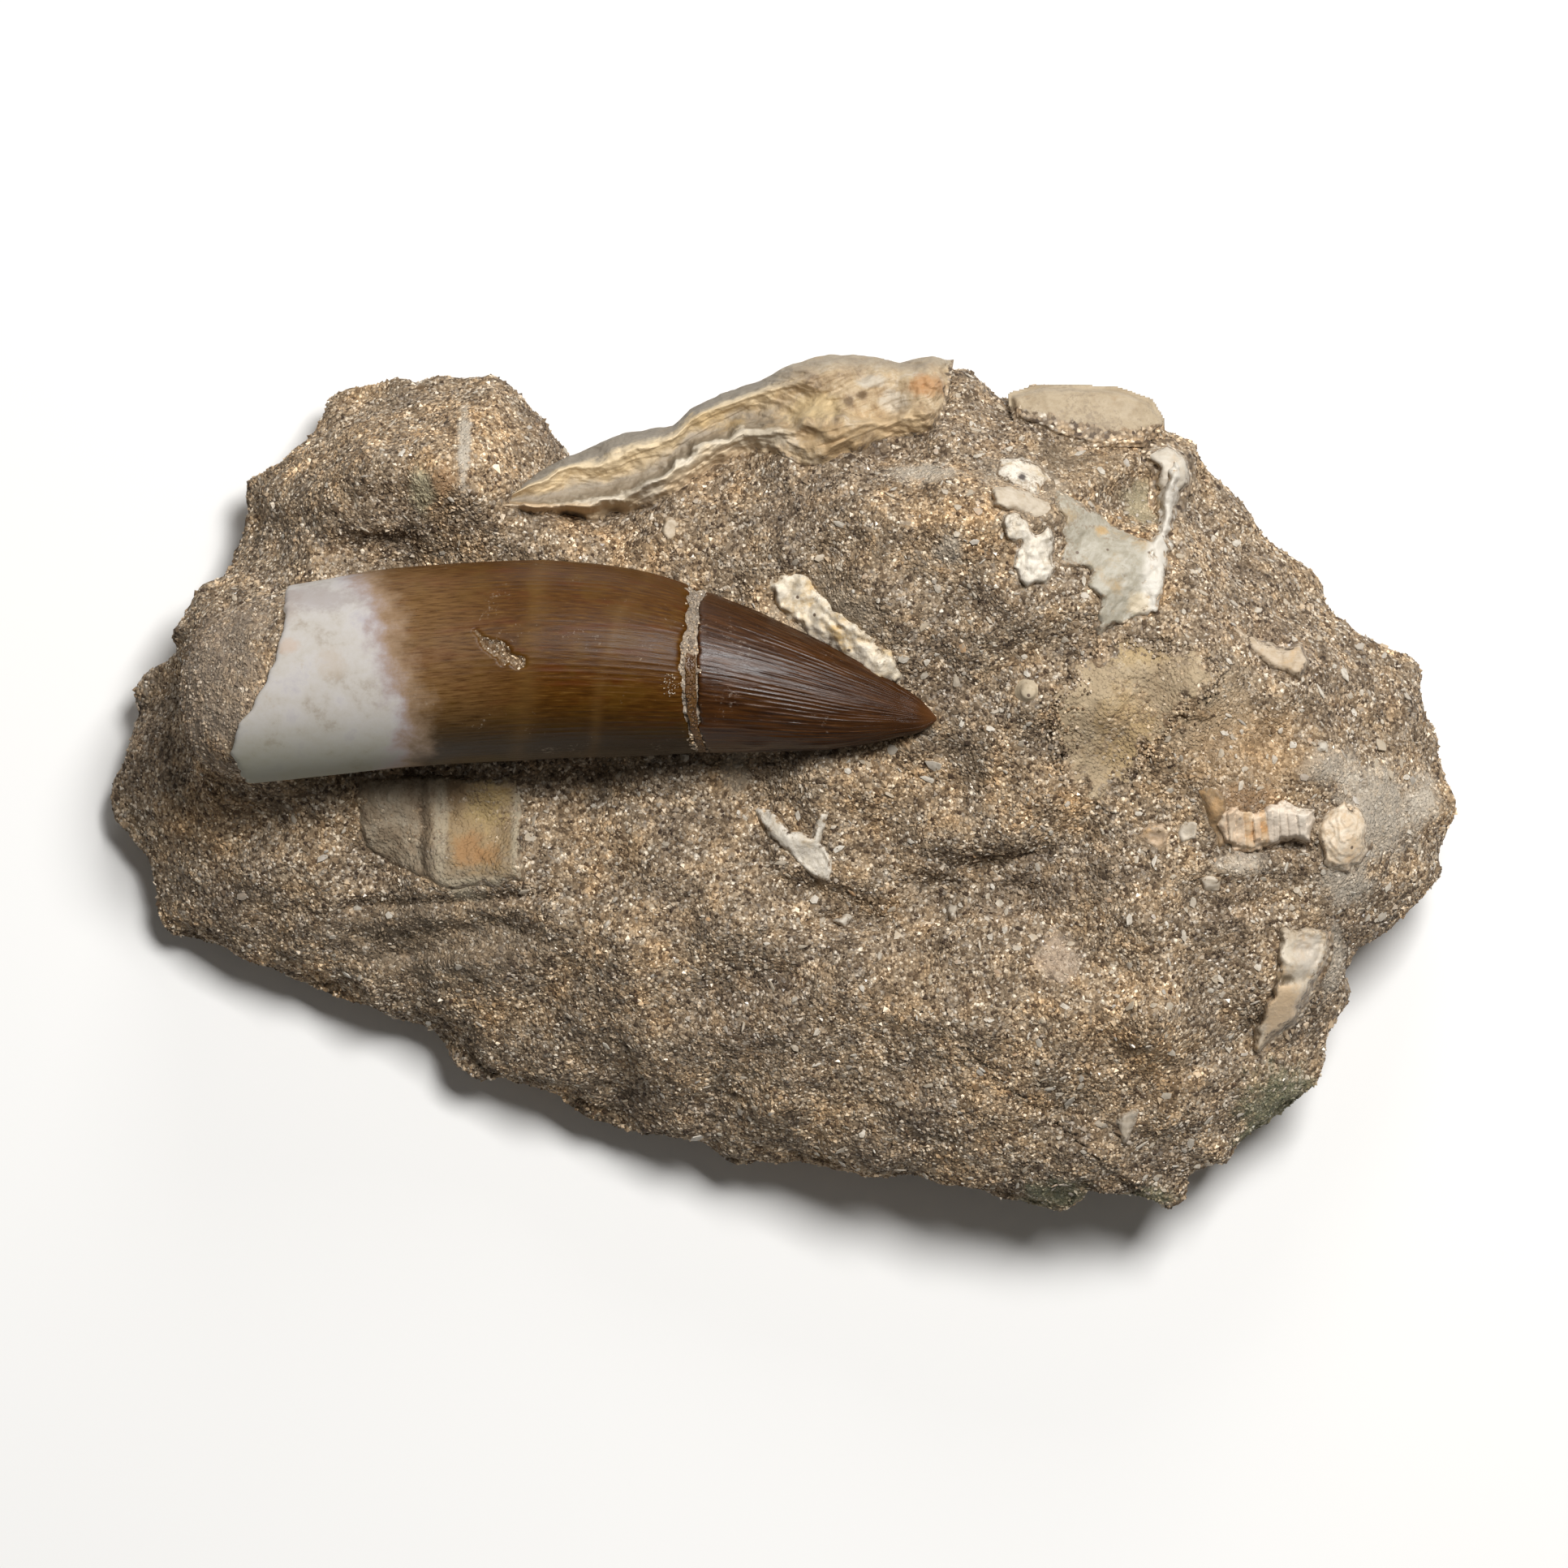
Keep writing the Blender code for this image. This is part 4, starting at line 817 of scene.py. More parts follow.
def stretched(tree, place, scale, turn=(0.0, 0.0, 0.0)):
    """A place turned by angles in degrees and then scaled along each axis."""
    turned = add_node(tree, "ShaderNodeMapping",
                      {"Vector": place, "Rotation": tuple(math.radians(t) for t in turn)})
    return add_node(tree, "ShaderNodeMapping", {"Vector": turned.outputs[0], "Scale": scale}
                    ).outputs[0]


def piece_value(tree, label):
    """A number that the piece carries at each of its points."""
    return add_node(tree, "ShaderNodeAttribute", attribute_name=label).outputs["Fac"]


def new_group(name, inputs, outputs):
    """An empty node group with named sockets: (name, kind, default) in, (name, kind) out."""
    kinds = {"value": "NodeSocketFloat", "colour": "NodeSocketColor", "place": "NodeSocketVector"}
    tree = bpy.data.node_groups.new(name, "ShaderNodeTree")
    for label, kind, default in inputs:
        socket = tree.interface.new_socket(label, in_out="INPUT", socket_type=kinds[kind])
        if default is not None:
            socket.default_value = default
    for label, kind in outputs:
        tree.interface.new_socket(label, in_out="OUTPUT", socket_type=kinds[kind])
    return tree, tree.nodes.new("NodeGroupInput").outputs, tree.nodes.new("NodeGroupOutput")


def use_group(tree, group, inputs):
    """Places a group in a tree with its own values, and returns its outputs."""
    node = tree.nodes.new("ShaderNodeGroup")
    node.node_tree = group
    link_inputs(tree, node, inputs)
    return node.outputs


def new_finish(name, roughness=0.9):
    """A material: its tree, its Principled shader and its Object coordinates."""
    made = bpy.data.materials.new(name)
    made.use_nodes = True
    tree = made.node_tree
    shader = tree.nodes["Principled BSDF"]
    shader.inputs["Roughness"].default_value = roughness
    return made, tree, shader, tree.nodes.new("ShaderNodeTexCoord").outputs["Object"]


def set_bump(tree, shader, height, strength, depth):
    """Feeds a height into the shader's normal. The depth of the relief is in millimetres."""
    node = add_node(tree, "ShaderNodeBump",
                    {"Height": height, "Strength": strength, "Distance": depth * MM})
    tree.links.new(node.outputs["Normal"], shader.inputs["Normal"])


print("node helpers are ready")

# %% [markdown]
# ## Sand as a shader group
#
# Seen close, the matrix is a mix of grains: dark iron-stained ones, tan and cream quartz, and
# grey bits. A Voronoi pattern gives each grain a cell with a random value of its own. The group
# picks the grain's colour from that value, darkens the gaps between cells with painted shade, and
# lets broad patches run warmer or greyer. The block, the sand in the tooth and the sandy rims of
# the shells and bones all use it.

# %% Group: sand
GRAIN_TONES = [(0.0, (0.050, 0.028, 0.015)), (0.13, (0.12, 0.079, 0.044)),
               (0.34, (0.24, 0.172, 0.105)), (0.58, (0.36, 0.270, 0.176)),
               (0.76, (0.53, 0.42, 0.295)), (0.86, (0.26, 0.216, 0.172)),
               (0.94, (0.68, 0.575, 0.44)), (1.0, (0.84, 0.75, 0.62))]
WARMTH = [(0.30, (0.72, 0.70, 0.70)), (0.50, (1.0, 1.0, 1.0)), (0.68, (1.20, 1.09, 0.93))]
MOTTLE_SIZE = 1.7
MOTTLE = [(0.34, (0.66, 0.63, 0.60)), (0.48, (0.98, 0.98, 0.98)), (0.66, (1.32, 1.24, 1.12))]


def make_sand_group():
    """A cell's random value to grain colour, painted shade in the gaps, a stain and a mottle."""
    tree, given, result = new_group(
        "sand",
        [("Place", "place", None), ("Grain Scale", "value", 2600.0),
         ("Stain Scale", "value", 140.0)],
        [("Colour", "colour"), ("Height", "value")])
    cells = add_node(tree, "ShaderNodeTexVoronoi",
                     {"Vector": given["Place"], "Scale": given["Grain Scale"]})
    pick = add_node(tree, "ShaderNodeSeparateColor", {"Color": cells.outputs["Color"]}).outputs
    grain = colour_steps(tree, pick["Red"], GRAIN_TONES)
    # Painted shade: the gaps between the grains' cells are blended towards dark brown.
    gap = fade(tree, cells.outputs["Distance"], 0.30, 0.62)
    shaded = blend(tree, reckon(tree, "MULTIPLY", gap, 0.45), grain, (0.10, 0.07, 0.042))
    stain = add_node(tree, "ShaderNodeTexNoise",
                     {"Vector": given["Place"], "Scale": given["Stain Scale"], "Detail": 4.0,
                      "Roughness": 0.6}).outputs["Fac"]
    warm = blend(tree, 1.0, shaded, colour_steps(tree, stain, WARMTH), "MULTIPLY")
    mottle = noise(tree, given["Place"], MOTTLE_SIZE, detail=4.0, roughness=0.62)
    tree.links.new(blend(tree, 1.0, warm, colour_steps(tree, mottle, MOTTLE), "MULTIPLY"),
                   result.inputs["Colour"])
    tree.links.new(reckon(tree, "SUBTRACT", 1.0, gap), result.inputs["Height"])
    return tree


SAND = make_sand_group()
print("group:", SAND.name)

# %% [markdown]
# ## The matrix finish
#
# Over the grains lie patches that only colour can show: chalky smears near the right end, a
# whitish vein on the left hump, rusty spots, and a faint green bloom on the lower right rim.
# Each patch is a soft ellipsoid whose border is torn by noise.

# %% Finish: matrix
CHALK, RUST, BLOOM = (0.47, 0.415, 0.335), (0.33, 0.19, 0.09), (0.15, 0.175, 0.10)
PATCHES = [
    ((40.8, -1.9, 16.0), (3.2, 3.2, 9.0), CHALK, 0.65),        # chalky fibres at the right end
    ((44.3, -1.1, 14.0), (1.2, 1.8, 9.0), CHALK, 0.75),
    ((38.6, -6.8, 16.0), (2.0, 1.5, 6.0), CHALK, 0.60),
    ((37.4, 1.2, 17.0), (2.2, 1.4, 6.0), CHALK, 0.50),
    ((37.7, -12.4, 15.0), (1.2, 2.8, 6.0), CHALK, 0.55),
    ((9.6, 21.2, 21.0), (2.4, 0.7, 6.0), CHALK, 0.60),
    ((11.2, 15.8, 24.0), (1.0, 0.9, 6.0), CHALK, 0.50),
    ((-21.9, 23.4, 18.0), (0.5, 3.4, 8.0), CHALK, 0.85),       # vein down the left hump
    ((-24.7, 20.1, 18.0), (0.9, 1.6, 6.0), (0.42, 0.38, 0.25), 0.75),
    ((-23.4, 20.8, 18.0), (0.9, 1.0, 6.0), RUST, 0.55),
    ((-21.9, -7.4, 11.0), (1.8, 0.7, 5.0), (0.40, 0.35, 0.25), 0.60),
    ((-38.2, 6.8, 20.0), (4.4, 6.6, 8.0), (0.27, 0.212, 0.158), 0.55),
    ((24.6, 19.3, 18.0), (1.3, 1.6, 6.0), (0.33, 0.285, 0.18), 0.70),      # hollow by the valve
    ((20.6, 22.2, 20.0), (4.0, 2.0, 6.0), (0.20, 0.145, 0.088), 0.45),     # browner sand
    # Painted shade: darker brown sand on the step below the bone plate.
    ((-24.0, -11.0, 11.0), (7.0, 3.2, 8.0), (0.19, 0.145, 0.095), 0.40),
    ((31.3, -5.3, 18.5), (1.6, 0.9, 5.0), CHALK, 0.60),
    ((-3.3, 0.8, 17.0), (1.0, 1.8, 6.0), (0.38, 0.32, 0.24), 0.55),
    ((34.0, -22.5, 8.0), (3.0, 3.5, 9.0), BLOOM, 0.55),        # green bloom on the rim
    ((18.8, -28.2, 8.0), (2.6, 1.2, 9.0), BLOOM, 0.55),
    ((25.5, -28.6, 8.0), (1.6, 1.0, 9.0), BLOOM, 0.50),
    ((18.8, -11.9, 19.0), (1.5, 1.9, 5.0), (0.44, 0.34, 0.25), 0.60),
    ((3.4, 11.4, 20.5), (4.4, 2.6, 4.0), (0.46, 0.37, 0.26), 0.50),
    ((27.5, 5.8, 21.0), (4.6, 3.6, 6.0), (0.40, 0.31, 0.20), 0.50),
    ((31.5, 2.6, 19.0), (5.0, 3.6, 6.0), (0.38, 0.245, 0.125), 0.35),
    ((31.3, -0.9, 19.5), (2.4, 1.0, 5.0), RUST, 0.50),
    ((16.0, 20.0, 21.5), (2.8, 3.0, 6.0), (0.42, 0.35, 0.26), 0.35),
]


def spot_mask(tree, place, centre, radius, torn):
    """1 inside an ellipsoid in millimetres and 0 outside, its border moved by the torn noise."""
    offset = add_node(tree, "ShaderNodeVectorMath",
                      {0: place, 1: tuple(value * MM for value in centre)}, operation="SUBTRACT")
    scaled = add_node(tree, "ShaderNodeVectorMath",
                      {0: offset.outputs[0], 1: tuple(1.0 / (value * MM) for value in radius)},
                      operation="MULTIPLY")
    length = add_node(tree, "ShaderNodeVectorMath", {0: scaled.outputs[0]}, operation="LENGTH")
    reach = reckon(tree, "ADD", length.outputs["Value"], reckon(tree, "MULTIPLY", torn, 2.4))
    return fade(tree, reach, 2.5, 1.7)


def lay_patches(tree, place, colour, patches):
    """Lays each (centre, radii, tint, share) patch over a colour."""
    torn = noise(tree, place, 1.3, detail=7.0, roughness=0.74)
    for centre, radius, tint, share in patches:
        mask = spot_mask(tree, place, centre, radius, torn)
        colour = blend(tree, reckon(tree, "MULTIPLY", mask, share), colour, tint)
    return colour


def make_matrix_finish():
    """Sand everywhere, with the torn patches laid over it."""
    made, tree, shader, place = new_finish("sandy matrix", 0.95)
    sand = use_group(tree, SAND, {"Place": place, "Grain Scale": 4000.0})
    colour = lay_patches(tree, place, sand["Colour"], PATCHES)
    tree.links.new(colour, shader.inputs["Base Color"])
    fine = noise(tree, place, 0.22, detail=2.0)
    height = reckon(tree, "ADD", sand["Height"], reckon(tree, "MULTIPLY", fine, 0.5))
    set_bump(tree, shader, height, 0.8, 0.09)
    return made


MATRIX_FINISH = make_matrix_finish()
print("patches on the matrix:", len(PATCHES))

# %% [markdown]
# ## The block itself
#
# The top grid, the flank's rings and a flat underside are joined into one closed mesh. The
# underside is three smaller copies of its border and a fan in the middle.

# %% Make the block
BASE_RINGS = (0.66, 0.33, 0.04)


def block_mesh(top, flank):
    """Points, quads and the fan of the closed block. Flank and base are one stack of rings."""
    rows, columns = top.shape[:2]
    rim = border(np.arange(rows * columns).reshape(rows, columns))
    count, start = len(rim), rows * columns
    base = [np.column_stack([BLOCK_CENTRE + (flank[-1, :, :2] - BLOCK_CENTRE) * size,
                             np.zeros(count)]) for size in BASE_RINGS]
    lower = np.concatenate([flank[1:], base])
    ring = start + np.arange(count)
    after, last = np.roll(ring, -1), (len(lower) - 1) * count
    joint = np.stack([rim, ring, after, np.roll(rim, -1)], axis=-1)
    middle = np.full(count, start + len(lower) * count)
    fan = np.stack([last + ring, middle, last + after], axis=-1)
    points = np.concatenate([top.reshape(-1, 3), lower.reshape(-1, 3), [(*BLOCK_CENTRE, 0.0)]])
    quads = np.concatenate([grid_faces(rows, columns), joint,
                            tube_faces(len(lower), count, start)])
    return points, quads, fan


block_points, block_quads, block_fan = block_mesh(top, flank)
block = make_piece("matrix_block", block_points, block_quads, MATRIX_FINISH, tris=block_fan)
attach(block, "matrix")

# %% [markdown]
# ## Loose grains
#
# The bump of a shader stays flat at the rim of the block and in low light, so the coarser
# grains are real: about a hundred thousand tiny crystals, partly sunk in the surface. Each is an
# octahedron of eight faces, squashed and turned at random. They are drawn from arrays all at
# once, at random places on the block weighted by area, and none lies in the tooth or on a shell.

# %% Scatter the grains
GRAINS_A_PIECE = 21000
GRAIN_PIECES = ("top_grains_1", "top_grains_2", "top_grains_3", "top_grains_4", "flank_grains")
GRAIN_RADIUS = 0.125
GRAIN_SINK, GRAIN_CLEARANCE = 0.35, 0.12
FILM_LIFT, SCRAP_LIFT = 0.12, 0.08
OCTAHEDRON = np.array([(1, 0, 0), (0, 1, 0), (-1, 0, 0), (0, -1, 0), (0, 0, 1), (0, 0, -1)])
OCTAHEDRON_FACES = np.array([(0, 1, 4), (1, 2, 4), (2, 3, 4), (3, 0, 4),
                             (1, 0, 5), (2, 1, 5), (3, 2, 5), (0, 3, 5)])


def random_places(surface, count, rng):
    """Random points on a grid surface and its normals there: cells drawn by their area."""
    a, b, c, d = (part.reshape(-1, 3) for part in
                  (surface[:-1, :-1], surface[1:, :-1], surface[1:, 1:], surface[:-1, 1:]))
    normal = np.cross(c - a, d - b)
    area = np.linalg.norm(normal, axis=1)
    pick = rng.choice(len(area), count, p=area / area.sum())
    s, t = rng.random((2, count, 1))
    place = (1 - t) * ((1 - s) * a[pick] + s * b[pick]) + t * ((1 - s) * d[pick] + s * c[pick])
    return place, normal[pick] / area[pick][:, None]


def in_tooth(points):
    """True within the skin of the tooth: nearer to its middle line than its radius."""
    middle = tooth_middle(points[:, 0])
    dy, dz = points[:, 1] - middle[:, 0], points[:, 2] - middle[:, 1]
    length = ((points[:, 0] > edge_at(ROOT_EDGE, np.arctan2(dz, dy)) - 0.1)
              & (points[:, 0] < TOOTH_POINT + 0.2))
    return length & (np.hypot(dy, dz) < middle[:, 2] + GRAIN_CLEARANCE)


def random_turns(count, rng):
    """Random rotation matrices, from random unit quaternions."""
    turn = rng.standard_normal((count, 4))
    w, x, y, z = (turn / np.linalg.norm(turn, axis=1, keepdims=True)).T
    return np.stack([1 - 2 * (y * y + z * z), 2 * (x * y - z * w), 2 * (x * z + y * w),
                     2 * (x * y + z * w), 1 - 2 * (x * x + z * z), 2 * (y * z - x * w),
                     2 * (x * z - y * w), 2 * (y * z + x * w), 1 - 2 * (x * x + y * y)],
                    axis=-1).reshape(-1, 3, 3)


def shape_grains(place, normal, radius, rng):
    """Points, faces and a tone for each point of a grain at each place.

    Each corner is the octahedron's own times a size, turned, moved, and sunk along the normal.
    """
    count = len(place)
    size = radius * rng.lognormal(0.0, 0.28, (count, 1)) * rng.uniform(0.7, 1.25, (count, 3))
    corners = OCTAHEDRON * rng.uniform(0.8, 1.15, (count, 6, 1)) * size[:, None]
    corners = corners @ random_turns(count, rng)
    corners = corners + (place - normal * radius * GRAIN_SINK)[:, None]
    corners[..., 2] = np.maximum(corners[..., 2], 0.0)
    faces = OCTAHEDRON_FACES + 6 * np.arange(count)[:, None, None]
    return corners.reshape(-1, 3), faces.reshape(-1, 3), np.repeat(rng.random(count), 6)


def grain_mesh(surface, count, radius, seed):
    """Grains at random free places of a surface.

    Some lie on the worn bone patch, fewer towards its middle. No others lie on a shell or bone.
    """
    rng = np.random.default_rng(seed)
    place, normal = random_places(surface, count * 2, rng)
    x, y = place[:, 0], place[:, 1]
    film = outline_distance(x, y, BONE_PATCH)
    on_film = (film < GRAIN_CLEARANCE) & (rng.random(len(place)) < blend_step(film, -2.6, 0.5))
    place[on_film, 2] = ground(x, y)[on_film] + FILM_LIFT + SCRAP_LIFT
    clear = nearest_outline(x, y, ALL_OUTLINES) > GRAIN_CLEARANCE
    free = ~in_tooth(place) & (clear | on_film)
    return shape_grains(place[free][:count], normal[free][:count], radius, rng)


top_grains = [grain_mesh(top, GRAINS_A_PIECE, GRAIN_RADIUS, seed) for seed in (1, 2, 3, 4)]
wrapped_flank = np.concatenate([flank, flank[:, :1]], axis=1)
flank_grains = grain_mesh(wrapped_flank, GRAINS_A_PIECE, GRAIN_RADIUS * 1.2, 5)
print("grains on the top:", 4 * GRAINS_A_PIECE, "and on the flanks:", GRAINS_A_PIECE)

# %% [markdown]
# The grains' finish picks a colour from the tone that each grain carries. Quartz grains, at the
# pale end, are also smooth enough to sparkle under the lamp.

# %% Finish: grains


def make_grain_finish():
    """Tone to colour, with the clear and pale grains glossier than the rest."""
    made, tree, shader, place = new_finish("sand grains", 0.8)
    tone = piece_value(tree, "tone")
    warmth = colour_steps(tree, noise(tree, place, 7.0, detail=4.0), WARMTH)
    stained = blend(tree, 1.0, colour_steps(tree, tone, GRAIN_TONES), warmth, "MULTIPLY")
    mottle = noise(tree, place, MOTTLE_SIZE, detail=4.0, roughness=0.62)
    stained = blend(tree, 1.0, stained, colour_steps(tree, mottle, MOTTLE), "MULTIPLY")
    tree.links.new(lay_patches(tree, place, stained, PATCHES), shader.inputs["Base Color"])
    tree.links.new(colour_steps(tree, tone, [(0.0, (0.85,) * 3), (0.70, (0.8,) * 3),
                                             (0.86, (0.35,) * 3), (1.0, (0.3,) * 3)]),
                   shader.inputs["Roughness"])
    return made


GRAIN_FINISH = make_grain_finish()
for label, (points, faces, tone) in zip(GRAIN_PIECES, top_grains + [flank_grains]):
    grains = make_piece(label, points, np.empty((0, 4)), GRAIN_FINISH, tris=faces,
                        values={"tone": tone}, smooth=False)
    attach(grains)

# %% [markdown]
# ## The tooth's skin
#
# Enamel of this kind carries fine raised lines from root to point. They run together towards
# the point, start and stop along the way, and are strong on the tip but almost worn away on the
# crown. Their number stays the same round the girth, so they draw together by themselves.
#
# The skin is a stack of rings. At each place of the ring the radius gets a crest height that is
# 1 on a line and 0 between lines, times a slow noise that lets each line fade in and out.

# %% Shape of the skin
RIDGES_ON_CROWN, CROWN_RIDGE_HEIGHT = 92, 0.032
RIDGES_ON_TIP, TIP_RIDGE_HEIGHT = 84, 0.085
UV_LENGTH = 50.0


def ridge_lines(x, angle, lines, seed):
    """Crest height: 1 less the size of a sine of the angle, where the line's own noise is high."""
    girth = np.stack([np.cos(angle), np.sin(angle), 0 * x], axis=-1)
    drift = crumble(girth * 4 + np.stack([0 * x, 0 * x, x / 9], axis=-1), 1.0, seed)
    crest = 1 - np.abs(np.sin(lines / 2 * angle + 0.9 * drift))
    alive = crumble(girth * 13 + np.stack([0 * x, 0 * x, x / 3], axis=-1), 1.0, seed + 4, 3)
    return crest**1.8 * (0.15 + 0.85 * blend_step(alive, -0.6, 0.5))


def round_middle(x, middle, radius, angle):
    """Points round a middle line: radius times the cosine in y, and times the sine in z."""
    return np.stack([x, middle[..., 0] + radius * np.cos(angle),
                     middle[..., 1] + radius * np.sin(angle)], axis=-1)


def tooth_skin(x, angle, relief):
    """Points at each x and angle, at the tooth's radius there plus the relief."""
    middle = tooth_middle(x)
    return round_middle(x, middle, np.maximum(middle[..., 2], 0.05) + relief, angle)


def tube_uv(rows, around, x):
    """Corner pairs for a tube: the share of the girth, and each ring's x over the unit length."""
    along = x / UV_LENGTH
    share = np.broadcast_to(np.arange(around) / around, (rows - 1, around))
    near, far = (np.broadcast_to(part[:, None], (rows - 1, around))
                 for part in (along[:-1], along[1:]))
    after = share + 1 / around
    return np.stack([np.stack([share, near], -1), np.stack([share, far], -1),
                     np.stack([after, far], -1), np.stack([after, near], -1)],
                    axis=2).reshape(-1, 4, 2)


def girth_angles(sides):
    """Even angles once round the girth, which start underneath, so that the seam is hidden."""
    return np.linspace(0, 2 * math.pi, sides, endpoint=False)[None] - math.pi / 2


print("lines on the crown:", RIDGES_ON_CROWN, "and on the tip:", RIDGES_ON_TIP)

# %% [markdown]
# ## The crown
#
# The crown runs from the hollow white root end to the break. Each point carries three numbers
# for its finish: the distance from the border between white and brown, the strength of the pale
# growth bands, and how deep it lies in the chip. Sand has filled the chip, so it is shallower
# here than in the solid, and only its wide lower part shows. The broken edge has small teeth.

# %% Shape of the crown
CROWN_ROWS, CROWN_SIDES = 170, 540
ROOT_HOLLOW, ROOT_WALL = 1.2, 0.72
CHIP = [(-20.9, 10.4), (-20.1, 10.0), (-19.2, 9.7), (-18.3, 8.9), (-17.5, 8.5), (-17.5, 7.7),
        (-18.4, 7.9), (-19.3, 8.2), (-20.0, 8.7), (-20.5, 9.4)]
CHIP_DEPTH = 0.30
TEETH = 0.15
WHITE_BORDER = [(0, -29.6), (40, -28.6), (52, -27.5), (72, -27.4), (86, -27.0), (96, -26.7),
                (108, -26.1), (122, -25.6), (138, -25.7), (155, -26.2), (200, -27.5),
                (300, -30.0), (360, -29.6)]
GROWTH_BANDS = [
    ([(0, -22.2), (14, -22.4), (76, -23.7), (110, -24.1), (180, -24.4), (360, -22.2)], 0.40, 0.3),
    ([(0, -16.3), (25, -16.5), (69, -17.0), (100, -17.3), (133, -17.8), (180, -18.3),
      (360, -16.3)], 0.75, 0.6),
    ([(0, -9.0), (32, -9.5), (57, -11.0), (81, -11.8), (108, -12.5), (123, -12.7),
      (180, -13.2), (360, -9.0)], 0.40, 0.55)]


def torn_edge(edge, angle, seed):
    """A broken edge: its straight steps, and noise round the girth for its small teeth."""
    girth = np.stack([np.cos(angle), np.sin(angle), 0 * angle], axis=-1)
    return edge_at(edge, angle) + TEETH * crumble(girth * 8, 1.0, seed, 3)


def growth_bands(x, angle):
    """Pale rings: a bell across each one's own line round the girth, worn away in places."""
    strength = np.zeros_like(x)
    round_girth = np.stack([x / 4, np.cos(angle) * 4, np.sin(angle) * 4], -1)
    wobble, worn = 0.18 * crumble(round_girth, 1.0, 31, 2), crumble(round_girth * 1.7, 1.0, 33, 2)
    for line, width, height in GROWTH_BANDS:
        away = x - edge_at(line, angle) + wobble
        strength = np.maximum(strength, height * np.exp(-(away / width)**2))
    return strength * (0.5 + 0.5 * blend_step(worn, -0.7, 0.3))


def crown_skin():
    """Rings from the root edge to the break, with lines, bands and the chip worked in."""
    share, angle = np.linspace(0, 1, CROWN_ROWS)[:, None], girth_angles(CROWN_SIDES)
    root, broken = torn_edge(ROOT_EDGE, angle, 35), torn_edge(CROWN_BREAK, angle, 37)
    x = root * (1 - share) + broken * share
    angle = angle + 0 * x
    white = x - edge_at(WHITE_BORDER, angle)
    relief = (CROWN_RIDGE_HEIGHT * ridge_lines(x, angle, RIDGES_ON_CROWN, 41)
              * blend_step(white, -1.0, 9.0))
    relief += 0.05 * crumble(np.stack([x / 5, np.cos(angle) * 2, np.sin(angle) * 2], -1), 1.0, 43)
    plain = tooth_skin(x, angle, 0 * x)
    torn = 0.22 * crumble(plain, 0.5, 45, 2)
    inside = torn - outline_distance(plain[..., 0], plain[..., 1], CHIP)
    chip = blend_step(inside, -0.05, 0.22) * (np.sin(angle) > 0)
    relief += chip * (0.16 * crumble(plain, 0.28, 47, 2) - CHIP_DEPTH)
    to_edge = np.minimum(x - root, broken - x)
    relief -= 0.12 * np.exp(-to_edge / 0.12)
    bands = growth_bands(x, angle)
    return tooth_skin(x, angle, relief + 0.02 * bands), white, bands, chip


crown_rings, crown_white, crown_bands, crown_chip = crown_skin()
print("rings on the crown:", CROWN_ROWS, "of", CROWN_SIDES, "points")

# %% [markdown]
# ## Groups for streaks and dust
#
# Two effects come back on several pieces. Streaks are noise drawn out along the tooth on its
# own girth and length coordinates. Dust is sand that sticks in small clouds: fine noise at
# grain size, let through only where a broader noise is high.

# %% Groups: streaks and dust


def make_streak_group():
    """Noise on girth and length, each with its own number of features."""
    tree, given, result = new_group(
        "enamel streaks", [("Skin", "place", None), ("Around", "value", 150.0),
                           ("Along", "value", 6.0)], [("Streak", "value")])
    scale = add_node(tree, "ShaderNodeCombineXYZ", {"X": given["Around"], "Y": given["Along"]})
    drawn = add_node(tree, "ShaderNodeVectorMath", {0: given["Skin"], 1: scale.outputs[0]},
                     operation="MULTIPLY")
    streak = add_node(tree, "ShaderNodeTexNoise",
                      {"Vector": drawn.outputs[0], "Scale": 1.0, "Detail": 5.0,
                       "Roughness": 0.62})
    tree.links.new(streak.outputs["Fac"], result.inputs["Streak"])
    return tree


def make_dust_group():
    """Fine noise plus a broad gate, and an amount that moves the level where dust shows."""
    tree, given, result = new_group(
        "stuck dust", [("Place", "place", None), ("Amount", "value", 0.5)], [("Mask", "value")])
    fine = noise(tree, given["Place"], 0.28, detail=3.0, roughness=0.7)
    broad = noise(tree, given["Place"], 3.0, detail=3.0)
    both = reckon(tree, "MULTIPLY", reckon(tree, "ADD", fine, broad), 0.6)
    level = reckon(tree, "ADD", both, given["Amount"])
    tree.links.new(fade(tree, level, 1.08, 1.20), result.inputs["Mask"])
    return tree


STREAKS, DUST = make_streak_group(), make_dust_group()
print("groups:", STREAKS.name, "and", DUST.name)

# %% [markdown]
# ## Enamel finish
#
# The crown goes from porcelain white with mauve veins, over a pale dusty tan, to warm brown with
# short golden and reddish streaks. It has the satin gloss of polished horn. Streaks drive colour,
# gloss and bump at once, as they do on the real enamel. Sand in the chip uses the sand group.
# The base colours are deep, because the pale floor mirrored in the enamel lightens them.

# %% Finish: crown enamel
CROWN_PATCHES = [((-34.2, 12.0, 22.0), (1.4, 1.4, 6.0), (0.36, 0.30, 0.25), 0.6),
                 ((-31.8, 12.6, 22.0), (3.4, 1.0, 6.0), (0.30, 0.26, 0.25), 0.6),
                 ((-33.6, 9.4, 24.0), (0.9, 0.6, 5.0), (0.46, 0.34, 0.26), 0.5),
                 ((-30.6, 8.2, 24.0), (1.1, 1.1, 5.0), (0.42, 0.35, 0.28), 0.5)]


